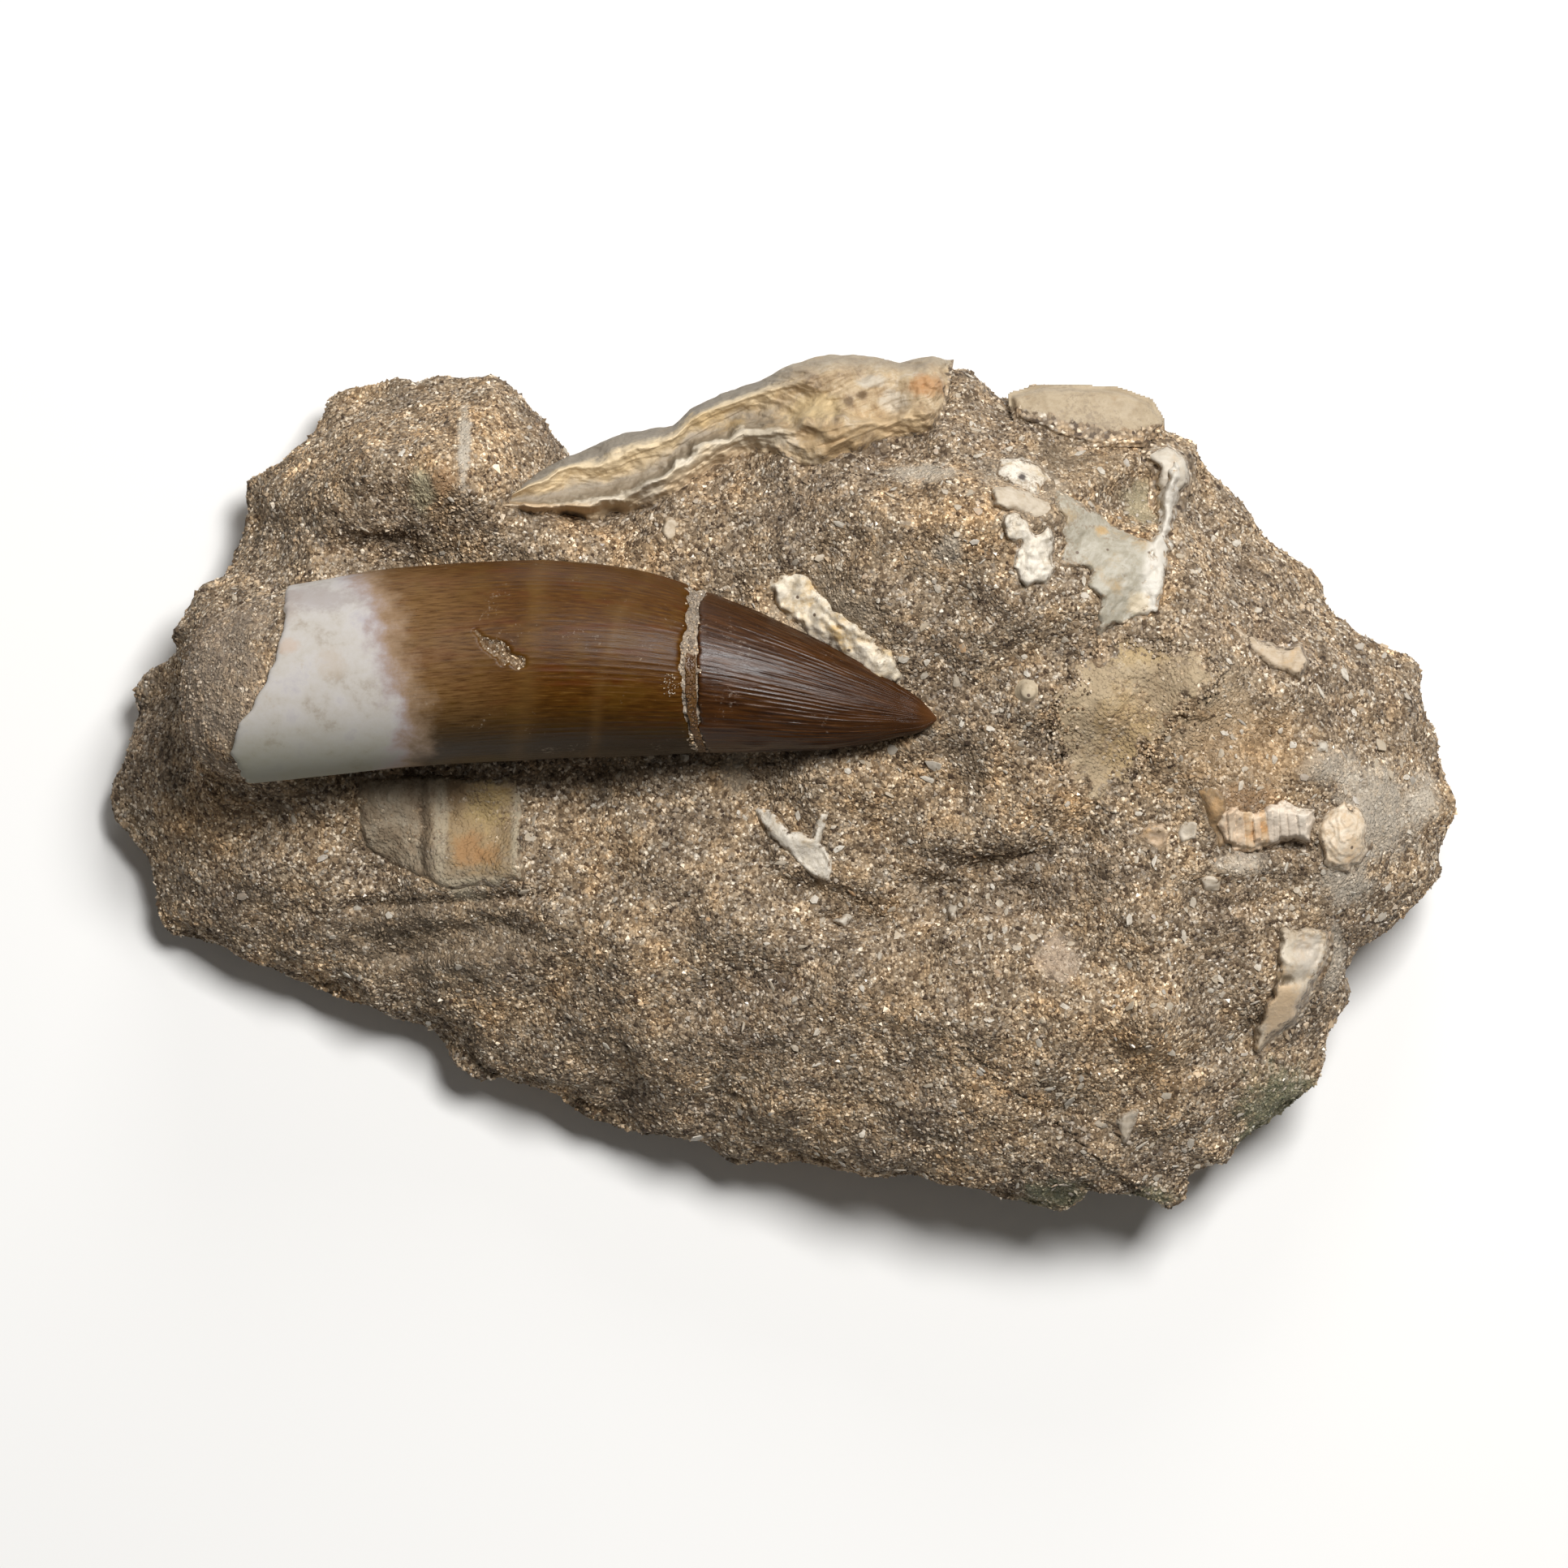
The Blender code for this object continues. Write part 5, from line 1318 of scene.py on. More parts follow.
def brown_enamel(tree, place, fine, wide, white, bands):
    """Brown by the fine streaks, redder by the wide ones, golden in clouds, paler in bands."""
    brown = colour_steps(tree, fine,
                         [(0.30, (0.036, 0.0120, 0.0008)), (0.45, (0.058, 0.0205, 0.0013)),
                          (0.58, (0.080, 0.0300, 0.002)), (0.74, (0.145, 0.072, 0.015))])
    red = reckon(tree, "MULTIPLY", fade(tree, wide, 0.50, 0.66), 0.5)
    colour = blend(tree, red, brown, (0.085, 0.019, 0.0014))
    golden = fade(tree, noise(tree, place, 2.4, detail=4.0), 0.50, 0.66)
    colour = blend(tree, reckon(tree, "MULTIPLY", golden, 0.45), colour, (0.090, 0.041, 0.0035))
    pale = reckon(tree, "MULTIPLY", fade(tree, white, 11.0, 0.5), 0.58)
    pale = reckon(tree, "MULTIPLY", pale, fade(tree, fine, 0.22, 0.62))
    colour = blend(tree, pale, colour, (0.21, 0.120, 0.050))
    # Painted shade: the crown goes near black brown towards its lower side, below y = 6.5 mm.
    north = add_node(tree, "ShaderNodeSeparateXYZ", {"Vector": place}).outputs["Y"]
    low = reckon(tree, "MULTIPLY", fade(tree, north, 6.5 * MM, 2.2 * MM), 0.85)
    colour = blend(tree, low, colour, (0.016, 0.010, 0.0014))
    return blend(tree, reckon(tree, "MULTIPLY", bands, 0.45), colour, (0.15, 0.080, 0.022))


def torn_border(tree, place, white, fine):
    """The distance from the white border, moved by noise and a little by the streaks."""
    torn = reckon(tree, "SUBTRACT", noise(tree, place, 1.7, detail=6.0, roughness=0.66), 0.5)
    streaky = reckon(tree, "SUBTRACT", fine, 0.5)
    moved = reckon(tree, "ADD", white, reckon(tree, "MULTIPLY", torn, 4.6))
    return reckon(tree, "ADD", moved, reckon(tree, "MULTIPLY", streaky, 0.25))


def porcelain(tree, place, edge):
    """White, grey clouds, mauve next to the brown, painted greenish grey shade on the low side."""
    white = colour_steps(tree, noise(tree, place, 2.6, detail=8.0, roughness=0.70),
                         [(0.34, (0.33, 0.285, 0.235)), (0.44, (0.43, 0.395, 0.35)),
                          (0.56, (0.46, 0.43, 0.40)), (0.68, (0.40, 0.37, 0.37))])
    # Painted shade: the root end turns a darker greenish grey towards its lower side, below y = 5.5
    # mm.
    north = add_node(tree, "ShaderNodeSeparateXYZ", {"Vector": place}).outputs["Y"]
    low = reckon(tree, "MULTIPLY", fade(tree, north, 5.5 * MM, 0.5 * MM), 0.75)
    white = blend(tree, low, white, (0.20, 0.20, 0.14))
    return blend(tree, fade(tree, edge, -1.6, 0.3), white, (0.34, 0.29, 0.295))


def make_crown_finish():
    """Brown, then tan and mauve towards the border, porcelain white, and sand in the chip."""
    made, tree, shader, place = new_finish("crown enamel", 0.36)
    shader.inputs["Specular IOR Level"].default_value = 0.16
    skin = add_node(tree, "ShaderNodeUVMap", uv_map="surface").outputs["UV"]
    fine = use_group(tree, STREAKS, {"Skin": skin, "Around": 300.0, "Along": 34.0})["Streak"]
    wide = use_group(tree, STREAKS, {"Skin": skin, "Around": 44.0, "Along": 9.0})["Streak"]
    white, bands = piece_value(tree, "white"), piece_value(tree, "bands")
    colour = brown_enamel(tree, place, fine, wide, white, bands)
    edge = torn_border(tree, place, white, fine)
    tan = reckon(tree, "MULTIPLY", fade(tree, edge, 2.8, 0.1), 0.75)
    colour = blend(tree, tan, colour, (0.31, 0.215, 0.14))
    colour = blend(tree, fade(tree, edge, 1.0, -1.0), colour, porcelain(tree, place, edge))
    dust = use_group(tree, DUST, {"Place": place, "Amount": 0.36})["Mask"]
    colour = blend(tree, reckon(tree, "MULTIPLY", dust, 0.45), colour, (0.38, 0.31, 0.23))
    colour = lay_patches(tree, place, colour, CROWN_PATCHES)
    sand = use_group(tree, SAND, {"Place": place, "Grain Scale": 4600.0})
    chip = fade(tree, piece_value(tree, "chip"), 0.25, 0.6)
    colour = blend(tree, chip, colour, blend(tree, 0.72, sand["Colour"], (0.085, 0.040, 0.012)))
    tree.links.new(colour, shader.inputs["Base Color"])
    gloss = reckon(tree, "ADD", reckon(tree, "MULTIPLY", fine, 0.30), 0.25)
    gloss = reckon(tree, "ADD", gloss, reckon(tree, "MULTIPLY", fade(tree, edge, 1.0, -1.0), 0.22))
    gloss = reckon(tree, "ADD", gloss, reckon(tree, "MULTIPLY", chip, 0.3), clamp=True)
    tree.links.new(gloss, shader.inputs["Roughness"])
    line = reckon(tree, "MULTIPLY", fine, fade(tree, white, -2.0, 3.0))
    grit = reckon(tree, "MULTIPLY", sand["Height"], reckon(tree, "MULTIPLY", chip, 2.0))
    set_bump(tree, shader, reckon(tree, "ADD", line, grit), 0.4, 0.06)
    return made


CROWN_FINISH = make_crown_finish()
print("finish:", CROWN_FINISH.name)

# %% [markdown]
# ## Closing the crown
#
# The real crown ends in a broken, hollow root, with sand packed inside. The skin is closed there
# by a wall that turns inwards and a shallow hollow, and at the break by a plain face, which the
# sand of the break hides.

# %% Make the crown


def make_crown(skin, white, bands, chip):
    """Closes the skin and hands its numbers to the end rings and the two poles as well."""
    root, end = skin[0], skin[-1]
    root_middle, end_middle = root.mean(axis=0), end.mean(axis=0)
    hollow = np.array([ROOT_HOLLOW, 0, 0])
    inner = root_middle + (root - root_middle) * ROOT_WALL
    deep = root_middle + (root - root_middle) * ROOT_WALL * 0.5 + hollow
    face = end_middle + (end - end_middle) * 0.6
    rings = np.concatenate([[deep, inner], skin, [face]])
    points, quads, fans = closed_tube(rings, root_middle + hollow, end_middle)
    x = rings[..., 0].mean(axis=1)

    def carried(value, at_root):
        rows = np.concatenate([np.full((2, CROWN_SIDES), at_root), value, value[-1:]])
        return np.append(rows.ravel(), [at_root, value[-1].mean()])

    return make_piece("crown_enamel", points, quads, CROWN_FINISH, tris=fans,
                      corner_uv=tube_uv(len(rings), CROWN_SIDES, x),
                      values={"white": carried(white, -8.0), "bands": carried(bands, 0.0),
                              "chip": carried(chip, 0.0)})


crown = make_crown(crown_rings, crown_white, crown_bands, crown_chip)
attach(crown, "tooth_crown")

# %% [markdown]
# ## The tip
#
# The tip is darker and glossier than the crown, a red brown like old varnish, and its lines are
# sharp enough to catch a row of cold highlights. It ends in a blunt, slightly worn point. Rings
# crowd towards the point, because the shape changes fastest there.

# %% Finish: tip enamel


def make_tip_finish():
    """Red brown streaks, paler at the worn point, and a little dust."""
    made, tree, shader, place = new_finish("tip enamel", 0.30)
    skin = add_node(tree, "ShaderNodeUVMap", uv_map="surface").outputs["UV"]
    fine = use_group(tree, STREAKS, {"Skin": skin, "Around": 160.0, "Along": 20.0})["Streak"]
    wide = use_group(tree, STREAKS, {"Skin": skin, "Around": 22.0, "Along": 7.0})["Streak"]
    brown = colour_steps(tree, fine,
                         [(0.32, (0.016, 0.0045, 0.0006)), (0.48, (0.034, 0.0105, 0.0010)),
                          (0.60, (0.056, 0.0185, 0.0020)), (0.76, (0.12, 0.052, 0.016))])
    colour = blend(tree, reckon(tree, "MULTIPLY", fade(tree, wide, 0.5, 0.66), 0.5), brown,
                   (0.070, 0.022, 0.0024))
    along = add_node(tree, "ShaderNodeSeparateXYZ", {"Vector": place}).outputs["X"]
    worn = reckon(tree, "MULTIPLY", fade(tree, along, 8.6 * MM, 10.6 * MM), 0.6)
    colour = blend(tree, worn, colour, (0.14, 0.055, 0.018))
    dust = use_group(tree, DUST, {"Place": place, "Amount": 0.36})["Mask"]
    colour = blend(tree, reckon(tree, "MULTIPLY", dust, 0.4), colour, (0.36, 0.28, 0.22))
    tree.links.new(colour, shader.inputs["Base Color"])
    gloss = reckon(tree, "ADD", reckon(tree, "MULTIPLY", fine, 0.40), 0.14)
    tree.links.new(gloss, shader.inputs["Roughness"])
    shader.inputs["Specular IOR Level"].default_value = 0.32
    set_bump(tree, shader, fine, 0.7, 0.06)
    return made


TIP_FINISH = make_tip_finish()
print("finish:", TIP_FINISH.name)

# %% [markdown]
# The shape works as on the crown, but the lines are high. They fade in after the break, and out
# again where they meet at the point.

# %% Make the tip
TIP_ROWS, TIP_SIDES = 150, 480
POINT_CROWDING = 1.35


def make_tip():
    """Rings from the break to the point, closed at the break by a plain face."""
    share = 1 - (1 - np.linspace(0, 0.998, TIP_ROWS)[:, None])**POINT_CROWDING
    angle = girth_angles(TIP_SIDES)
    broken = torn_edge(TIP_BREAK, angle, 39)
    x = broken * (1 - share) + TOOTH_POINT * share
    angle = angle + 0 * x
    strength = ((0.25 + 0.75 * blend_step(x, -5.2, -1.0))
                * np.sqrt(np.clip((TOOTH_POINT - x) / 9.0, 0, 1)))
    relief = TIP_RIDGE_HEIGHT * ridge_lines(x, angle, RIDGES_ON_TIP, 53) * strength
    relief += 0.04 * crumble(np.stack([x / 4, np.cos(angle) * 2, np.sin(angle) * 2], -1), 1.0, 57)
    relief -= 0.12 * np.exp(-(x - broken) / 0.12)
    skin = tooth_skin(x, angle, relief)
    middle = skin[0].mean(axis=0)
    rings = np.concatenate([[middle + (skin[0] - middle) * 0.6], skin])
    points, quads, fans = closed_tube(rings, middle, skin[-1].mean(axis=0))
    return make_piece("tip_enamel", points, quads, TIP_FINISH, tris=fans,
                      corner_uv=tube_uv(len(rings), TIP_SIDES, rings[..., 0].mean(axis=1)))


tip = make_tip()
attach(tip, "tooth_tip")

# %% [markdown]
# ## Sand in the break
#
# The tooth snapped in the ground, and sand filled the crack before the block set. The filling
# is a short tube a little below the skin: whitish crumbs in the upper half, and below them a
# ring of enamel between two thin sandy lines. A number at each point says where the ring is.

# %% Fill the break
FILL_ROWS, FILL_SIDES = 40, 420
FILL_REACH = 0.6


def make_fill_finish():
    """Pale sand with a brown ring."""
    made, tree, shader, place = new_finish("sand in the break", 0.9)
    sand = use_group(tree, SAND, {"Place": place, "Grain Scale": 4200.0})
    grey = blend(tree, 0.45, sand["Colour"], (0.31, 0.26, 0.21))
    ring = fade(tree, piece_value(tree, "ring"), 0.4, 0.6)
    brown = colour_steps(tree, noise(tree, place, 0.6, detail=4.0),
                         [(0.35, (0.06, 0.022, 0.003)), (0.65, (0.13, 0.06, 0.012))])
    tree.links.new(blend(tree, ring, grey, brown), shader.inputs["Base Color"])
    tree.links.new(reckon(tree, "SUBTRACT", 0.92, reckon(tree, "MULTIPLY", ring, 0.45)),
                   shader.inputs["Roughness"])
    set_bump(tree, shader, sand["Height"], 0.9, 0.10)
    return made


def fill_skin():
    """Rings from inside the crown to inside the tip: sunk and crumbly, or smooth on the ring."""
    share, angle = np.linspace(0, 1, FILL_ROWS)[:, None], girth_angles(FILL_SIDES)
    start = edge_at(CROWN_BREAK, angle) - FILL_REACH
    end = edge_at(TIP_BREAK, angle) + FILL_REACH
    x = start * (1 - share) + end * share
    angle = angle + 0 * x
    plain = tooth_skin(x, angle, 0 * x)
    uneven = 0.05 * crumble(plain, 0.8, 63, 2)
    ring = (blend_step(np.degrees(angle) % 360 + 60 * uneven, 74, 84)
            * blend_step(share + uneven, 0.37, 0.41) * blend_step(-share - uneven, -0.70, -0.66))
    loose = 0.24 * crumble(plain, 0.55, 61, 3) - 0.18
    relief = loose * (1 - ring) - 0.03 * ring - 0.16 * ring * (1 - ring)
    shown = blend_step(share, 0.0, 0.2) * blend_step(-share, -1.0, -0.8)
    return tooth_skin(x, angle, relief * shown - 0.40 * (1 - shown)), ring


fill_rings, fill_ring = fill_skin()
points, quads, fans = closed_tube(fill_rings, fill_rings[0].mean(axis=0),
                                  fill_rings[-1].mean(axis=0))
break_fill = make_piece("break_fill", points, quads, make_fill_finish(), tris=fans,
                        values={"ring": np.append(fill_ring.ravel(), [0.0, 0.0])})
attach(break_fill)

# %% [markdown]
# ## Sand in the root, and grains on the tooth
#
# The root is hollow and packed with sand, which comes out of it as a mound that leans on the
# plug of sand behind. The mound is a blunt cap over the broken edge, a little smaller than the
# root, so that a thin rim of enamel stays free. Loose grains lie on it. More are stuck in the
# chip and in the break, and a pinch of very fine ones makes a dusty spot beside the break.

# %% Fill the root and add the grains
ROOT_FILL_ROWS, ROOT_FILL_SIDES = 60, 300
ROOT_FILL_END = (-41.4, 6.1, 16.2)
ROOT_FILL_SIZE, ROOT_FILL_BLUNTNESS = 0.955, 2.2
DUSTY_SPOT, DUSTY_SIZE = (-7.8, 6.7), (0.55, 0.8)


def root_fill_skin():
    """Rings from inside the root to the mound's end.

    The radius falls as the square root of 1 less the share raised to the bluntness.
    """
    share, angle = np.linspace(0, 0.995, ROOT_FILL_ROWS)[:, None], girth_angles(ROOT_FILL_SIDES)
    start = edge_at(ROOT_EDGE, angle) + 0.8
    x = start * (1 - share) + ROOT_FILL_END[0] * share
    angle, at_edge = angle + 0 * x, tooth_middle(start + 0 * x)
    end = np.array(ROOT_FILL_END[1:])
    middle = at_edge[..., :2] * (1 - share[..., None]) + end * share[..., None]
    radius = at_edge[..., 2] * ROOT_FILL_SIZE * np.sqrt(1 - share**ROOT_FILL_BLUNTNESS)
    plain = round_middle(x, middle, radius, angle)
    radius = radius + 0.34 * crumble(plain, 1.9, 65, 4) * blend_step(share, 0.10, 0.35)
    return round_middle(x, middle, radius, angle)


def away_from_middle(place):
    """Directions straight out of the tooth's middle line."""
    away = place[:, 1:] - tooth_middle(place[:, 0])[:, :2]
    away = away / np.linalg.norm(away, axis=1, keepdims=True)
    return np.column_stack([np.zeros(len(place)), away])


def grains_on_tooth(seed):
    """Grains on the root's sand, in the chip, in the break and in the dusty spot."""
    rng = np.random.default_rng(seed)
    mound, _ = random_places(root_fill, 5200, rng)
    mound = mound[(mound[:, 2] > 15) & (mound[:, 0] < -34.0)]
    upper = fill_rings[..., 2] > tooth_middle(fill_rings[..., 0])[..., 1] - 1.0
    dusty = np.hypot((crown_rings[..., 0] - DUSTY_SPOT[0]) / DUSTY_SIZE[0],
                     (crown_rings[..., 1] - DUSTY_SPOT[1]) / DUSTY_SIZE[1]) < 1
    dusty = dusty & (crown_rings[..., 2] > 20)
    groups = [(mound, len(mound), 0.12, 0.0)]
    for rings, mask, count, radius, palest in (
            (crown_rings, crown_chip > 0.30, 150, 0.080, 0.35),
            (fill_rings, upper & (fill_ring < 0.3), 420, 0.085, 0.45),
            (crown_rings, dusty, 90, 0.05, 0.6)):
        points = rings[mask]
        picked = points[rng.integers(0, len(points), count)] + rng.normal(0, 0.04, (count, 3))
        groups.append((picked, count, radius, palest))
    place = np.concatenate([group[0] for group in groups])
    radius, palest = (np.concatenate([np.full(group[1], group[k]) for group in groups])
                      for k in (2, 3))
    points, faces, tone = shape_grains(place, away_from_middle(place), radius[:, None], rng)
    lightest = np.repeat(palest, 6)
    return points, faces, lightest + (1 - lightest) * tone


root_fill = root_fill_skin()
points, quads, fans = closed_tube(root_fill, root_fill[0].mean(axis=0), root_fill[-1].mean(axis=0))
attach(make_piece("root_fill", points, quads, MATRIX_FINISH, tris=fans))
points, faces, tone = grains_on_tooth(21)
tooth_grains = make_piece("tooth_grains", points, np.empty((0, 4)), GRAIN_FINISH, tris=faces,
                          values={"tone": tone}, smooth=False)
attach(tooth_grains)

# %% [markdown]
# ## Shell as a shader group
#
# All the shells are layered lime. A group gives them what they share: thin growth layers, soft
# stains from iron in the sand, dark specks, and dust. Each shell places it with its own colours
# and layer direction.

# %% Group: shell


def make_shell_group():
    """Layers blend two colours, stains add a third, and specks and dust lie over them."""
    tree, given, result = new_group(
        "layered shell",
        [("Place", "place", None), ("Layers", "place", None), ("Light", "colour", (0.6,) * 4),
         ("Shade", "colour", (0.4,) * 4), ("Stain", "colour", (0.5, 0.3, 0.1, 1.0)),
         ("Stain Amount", "value", 0.0), ("Dust Amount", "value", 0.42)],
        [("Colour", "colour"), ("Height", "value")])
    layer = add_node(tree, "ShaderNodeTexNoise", {"Vector": given["Layers"], "Scale": 1.0,
                                                  "Detail": 5.0, "Roughness": 0.66}).outputs["Fac"]
    blotch = noise(tree, given["Place"], 0.9, detail=5.0, roughness=0.68)
    both = reckon(tree, "MULTIPLY", reckon(tree, "ADD", layer, blotch), 0.5)
    colour = blend(tree, fade(tree, both, 0.38, 0.60), given["Shade"], given["Light"])
    stain = reckon(tree, "ADD", noise(tree, given["Place"], 2.2, detail=6.0, roughness=0.68),
                   given["Stain Amount"])
    colour = blend(tree, fade(tree, stain, 0.56, 0.76), colour, given["Stain"])
    cells = add_node(tree, "ShaderNodeTexVoronoi", {"Vector": given["Place"], "Scale": 900.0})
    gate = add_node(tree, "ShaderNodeSeparateColor", {"Color": cells.outputs["Color"]})
    speck = reckon(tree, "MULTIPLY", fade(tree, cells.outputs["Distance"], 0.14, 0.08),
                   fade(tree, gate.outputs["Red"], 0.72, 0.80))
    colour = blend(tree, speck, colour, (0.13, 0.09, 0.06))
    dust = use_group(tree, DUST, {"Place": given["Place"], "Amount": given["Dust Amount"]})
    colour = blend(tree, reckon(tree, "MULTIPLY", dust["Mask"], 0.7), colour, (0.25, 0.19, 0.125))
    fine = noise(tree, given["Place"], 0.35, detail=4.0)
    height = reckon(tree, "ADD", both, reckon(tree, "MULTIPLY", fine, 0.8))
    tree.links.new(colour, result.inputs["Colour"])
    tree.links.new(height, result.inputs["Height"])
    return tree


SHELL = make_shell_group()


def sandy_edge(tree, place, colour, reach=0.5):
    """Sand over the rim of a scrap: its distance from the edge, made uneven by noise."""
    sand = use_group(tree, SAND, {"Place": place, "Grain Scale": 3800.0})
    torn = reckon(tree, "SUBTRACT", noise(tree, place, 0.7, detail=6.0, roughness=0.72), 0.5)
    inside = reckon(tree, "ADD", piece_value(tree, "inside"), reckon(tree, "MULTIPLY", torn, 2.6))
    return blend(tree, fade(tree, inside, reach, reach - 0.35), colour, sand["Colour"])


def make_shell_finish(name, light, dark, stain, amount=0.0, dust=0.42, roughness=0.7,
                      turn=0.0, layers=(700.0, 2600.0, 2600.0), masks=(), patches=(), reach=0.2):
    """A shell with its colours. Masks lay a colour where a number of the piece is high."""
    made, tree, shader, place = new_finish(name, roughness)
    group = use_group(tree, SHELL, {
        "Place": place, "Layers": stretched(tree, place, layers, (0.0, 0.0, turn)),
        "Light": opaque(light), "Shade": opaque(dark), "Stain": opaque(stain),
        "Stain Amount": amount, "Dust Amount": dust})
    colour = group["Colour"]
    for label, tint, low, high, share in masks:
        mask = reckon(tree, "MULTIPLY", fade(tree, piece_value(tree, label), low, high), share)
        colour = blend(tree, mask, colour, tint)
    colour = sandy_edge(tree, place, lay_patches(tree, place, colour, patches), reach)
    tree.links.new(colour, shader.inputs["Base Color"])
    set_bump(tree, shader, group["Height"], 0.7, 0.12)
    return made


print("group:", SHELL.name)

# %% [markdown]
# ## The oyster
#
# The oyster is a strip between its two edges. Across it, a profile gives the shape of the
# ledges: a cream front ledge with a sharp crest, a grey hollow behind it and a cream back ledge.
# Where the front ledge ends moves along the shell, so the profile is stretched to meet it. Broken
# layers are laid over that, and the right end is lumpy and worn. The front edge and both ends
# dive into the sand. At the back a layered wall leans in under the shell, so that the whole is a
# thin bent sheet.

# %% Shape of the oyster
OYSTER_ROWS, OYSTER_COLUMNS, WALL_COLUMNS = 330, 124, 14
LAST_STATION = len(OYSTER_INNER) - 1
WALL_DEPTH, WALL_LEAN = 3.4, 1.4
OYSTER_PROFILE = np.array([
    (0.0, 0.0, 0.1), (0.08, 0.01, 0.45), (0.20, 0.03, 0.85), (0.325, 0.05, 1.55),
    (0.36, 0.16, 0.7), (0.44, 0.36, 0.05), (0.60, 0.50, 0.0), (0.74, 0.55, 0.75),
    (0.81, 0.62, 1.25), (0.85, 0.72, 0.8), (0.93, 0.86, 0.35), (1.0, 1.0, 0.0)])
PROFILE_CREST = 0.34
LEDGE_CREST = [(0, 0.5), (2, 0.30), (3, 0.26), (4.5, 0.22), (5.4, 0.34), (6.2, 0.46),
               (7.5, 0.42), (9.0, 0.34), (12, 0.34), (15, 0.34)]
STRIP_FULL_WIDTH, STRIP_THINNEST = 4.0, 0.15
EDGE_IN_SAND, END_IN_SAND = 0.8, 1.2
FLAKE_STEP = 0.17
OYSTER_THICKNESS = 1.0


def flakes(x, y, size, step, seed):
    """Broken layers: noise cut into flat steps, with a short slope up to each next one."""
    level = 3.0 * flat_noise(x, y, size, seed, 4)
    whole = np.floor(level)
    return step * (whole + blend_step(level - whole, 0.7, 1.0))


def strip_plan():
    """Station, share across, width, heights at the inner edge, fall to the outer, and x and y.

    The inner edge is no higher than the sand there, so that the sand laps over it.
    """
    station, knots = np.linspace(0, LAST_STATION, OYSTER_ROWS), np.arange(LAST_STATION + 1.0)
    inner = smooth_through(knots, OYSTER_INNER, station)
    outer = np.column_stack([np.interp(station, knots, part) for part in OYSTER_OUTER.T])
    outer[:, 1] += 0.06 * flat_noise(outer[:, 0], 0 * station, 0.9, 69, 3)
    inner[:, 2] = np.minimum(inner[:, 2], ground(inner[:, 0], inner[:, 1]) + 0.1)
    width = np.linalg.norm((outer - inner)[:, :2], axis=1)[:, None]
    share = np.linspace(0, 1, OYSTER_COLUMNS)[None] * (1 + EDGE_IN_SAND / width)
    share = share - EDGE_IN_SAND / width
    plan = inner[:, None, :2] + (outer - inner)[:, None, :2] * share[..., None]
    return station[:, None], share, width, inner[:, 2:], (outer - inner)[:, 2:], plan


def oyster_wall(edge, away):
    """Points below the outer edge, their place in the profile and their way up from the bottom.

    A point lies out by a low sine bulge, less the lean times the square of its way down, plus
    a noise drawn out sideways, which makes layers.
    """
    down = np.linspace(0, 1, WALL_COLUMNS + 1)[None, 1:]
    z = edge[:, 2:] - WALL_DEPTH * down
    layer = flat_noise(0.25 * edge[:, :1] + 0 * z, z, 0.6, 89, 2)
    out = 0.2 * np.sin(math.pi * down) - WALL_LEAN * down**2 + 0.14 * layer
    plan = edge[:, None, :2] + away[:, None] * out[..., None]
    return (np.concatenate([plan, z[..., None]], axis=-1), 0.92 + 0.06 * layer,
            2.5 * (1 - down) + 0 * z)


def oyster_surface():
    """Top and wall, station, place in the profile, distance from the sand, way out, taper.

    Height is the inner edge's, plus the profile's share of the fall, its ledge and broken layers.
    """
    station, share, width, level, drop, plan = strip_plan()
    x, y = plan[..., 0], plan[..., 1]
    moved = np.clip(share + 0.10 * flat_noise(x, y, 1.8, 71, 4) * np.sin(math.pi * share), 0, 1)
    crest = np.interp(station, *np.array(LEDGE_CREST, float).T)
    place = np.where(moved < crest, moved / crest * PROFILE_CREST,
                     PROFILE_CREST + (moved - crest) / (1 - crest) * (1 - PROFILE_CREST))
    fall, ledge = np.moveaxis(smooth_through(OYSTER_PROFILE[:, 0], OYSTER_PROFILE[:, 1:], place),
                              -1, 0)
    taper = np.clip(width / STRIP_FULL_WIDTH, STRIP_THINNEST, 1.0)
    lumpy = blend_step(station + 0.6 * flat_noise(x, y, 2.0, 87), 9.2, 11.0)
    along, across = station * 0.55 + 0 * place, share * width
    ledge = ledge * (1 + 0.45 * flat_noise(x, y, 2.2, 75, 3)) * (1 - 0.75 * lumpy)
    z = level + fall * drop + taper * (
        ledge + flakes(along, across, 1.7, FLAKE_STEP, 73) + 0.12 * flat_noise(x, y, 0.55, 77, 3)
        + lumpy * (0.75 + 0.32 * flat_noise(x, y, 2.4, 79, 4)
                   + 0.3 * np.abs(flat_noise(x, y, 1.2, 81, 2))) * np.sin(math.pi * place)**0.5)
    ragged = 0.45 * flat_noise(x, y, 1.3, 83, 4)
    shown = (blend_step(across + ragged, 0.0, 1.2)
             * blend_step(LAST_STATION - station + 0.6 * ragged, 0.0, END_IN_SAND)
             * blend_step(station + ragged, 0.0, 0.3))
    buried = ground(x, y) - 0.6
    z = buried + (z - buried) * shown
    away = plan[:, -1] - plan[:, 0]
    away = away / np.linalg.norm(away, axis=1, keepdims=True)
    top_side = np.concatenate([plan, z[..., None]], axis=-1)
    wall, layer, from_bottom = oyster_wall(top_side[:, -1], away)
    from_sand = np.concatenate([across, from_bottom], axis=1)
    return (np.concatenate([top_side, wall], axis=1),
            np.repeat(station, OYSTER_COLUMNS + WALL_COLUMNS, axis=1),
            np.concatenate([place, layer], axis=1),
            np.minimum(from_sand, 2 * (LAST_STATION - station)), away * taper, taper)


oyster_top, oyster_station, oyster_place, oyster_inside, oyster_away, oyster_taper = (
    oyster_surface())
print("oyster grid:", oyster_top.shape[:2])
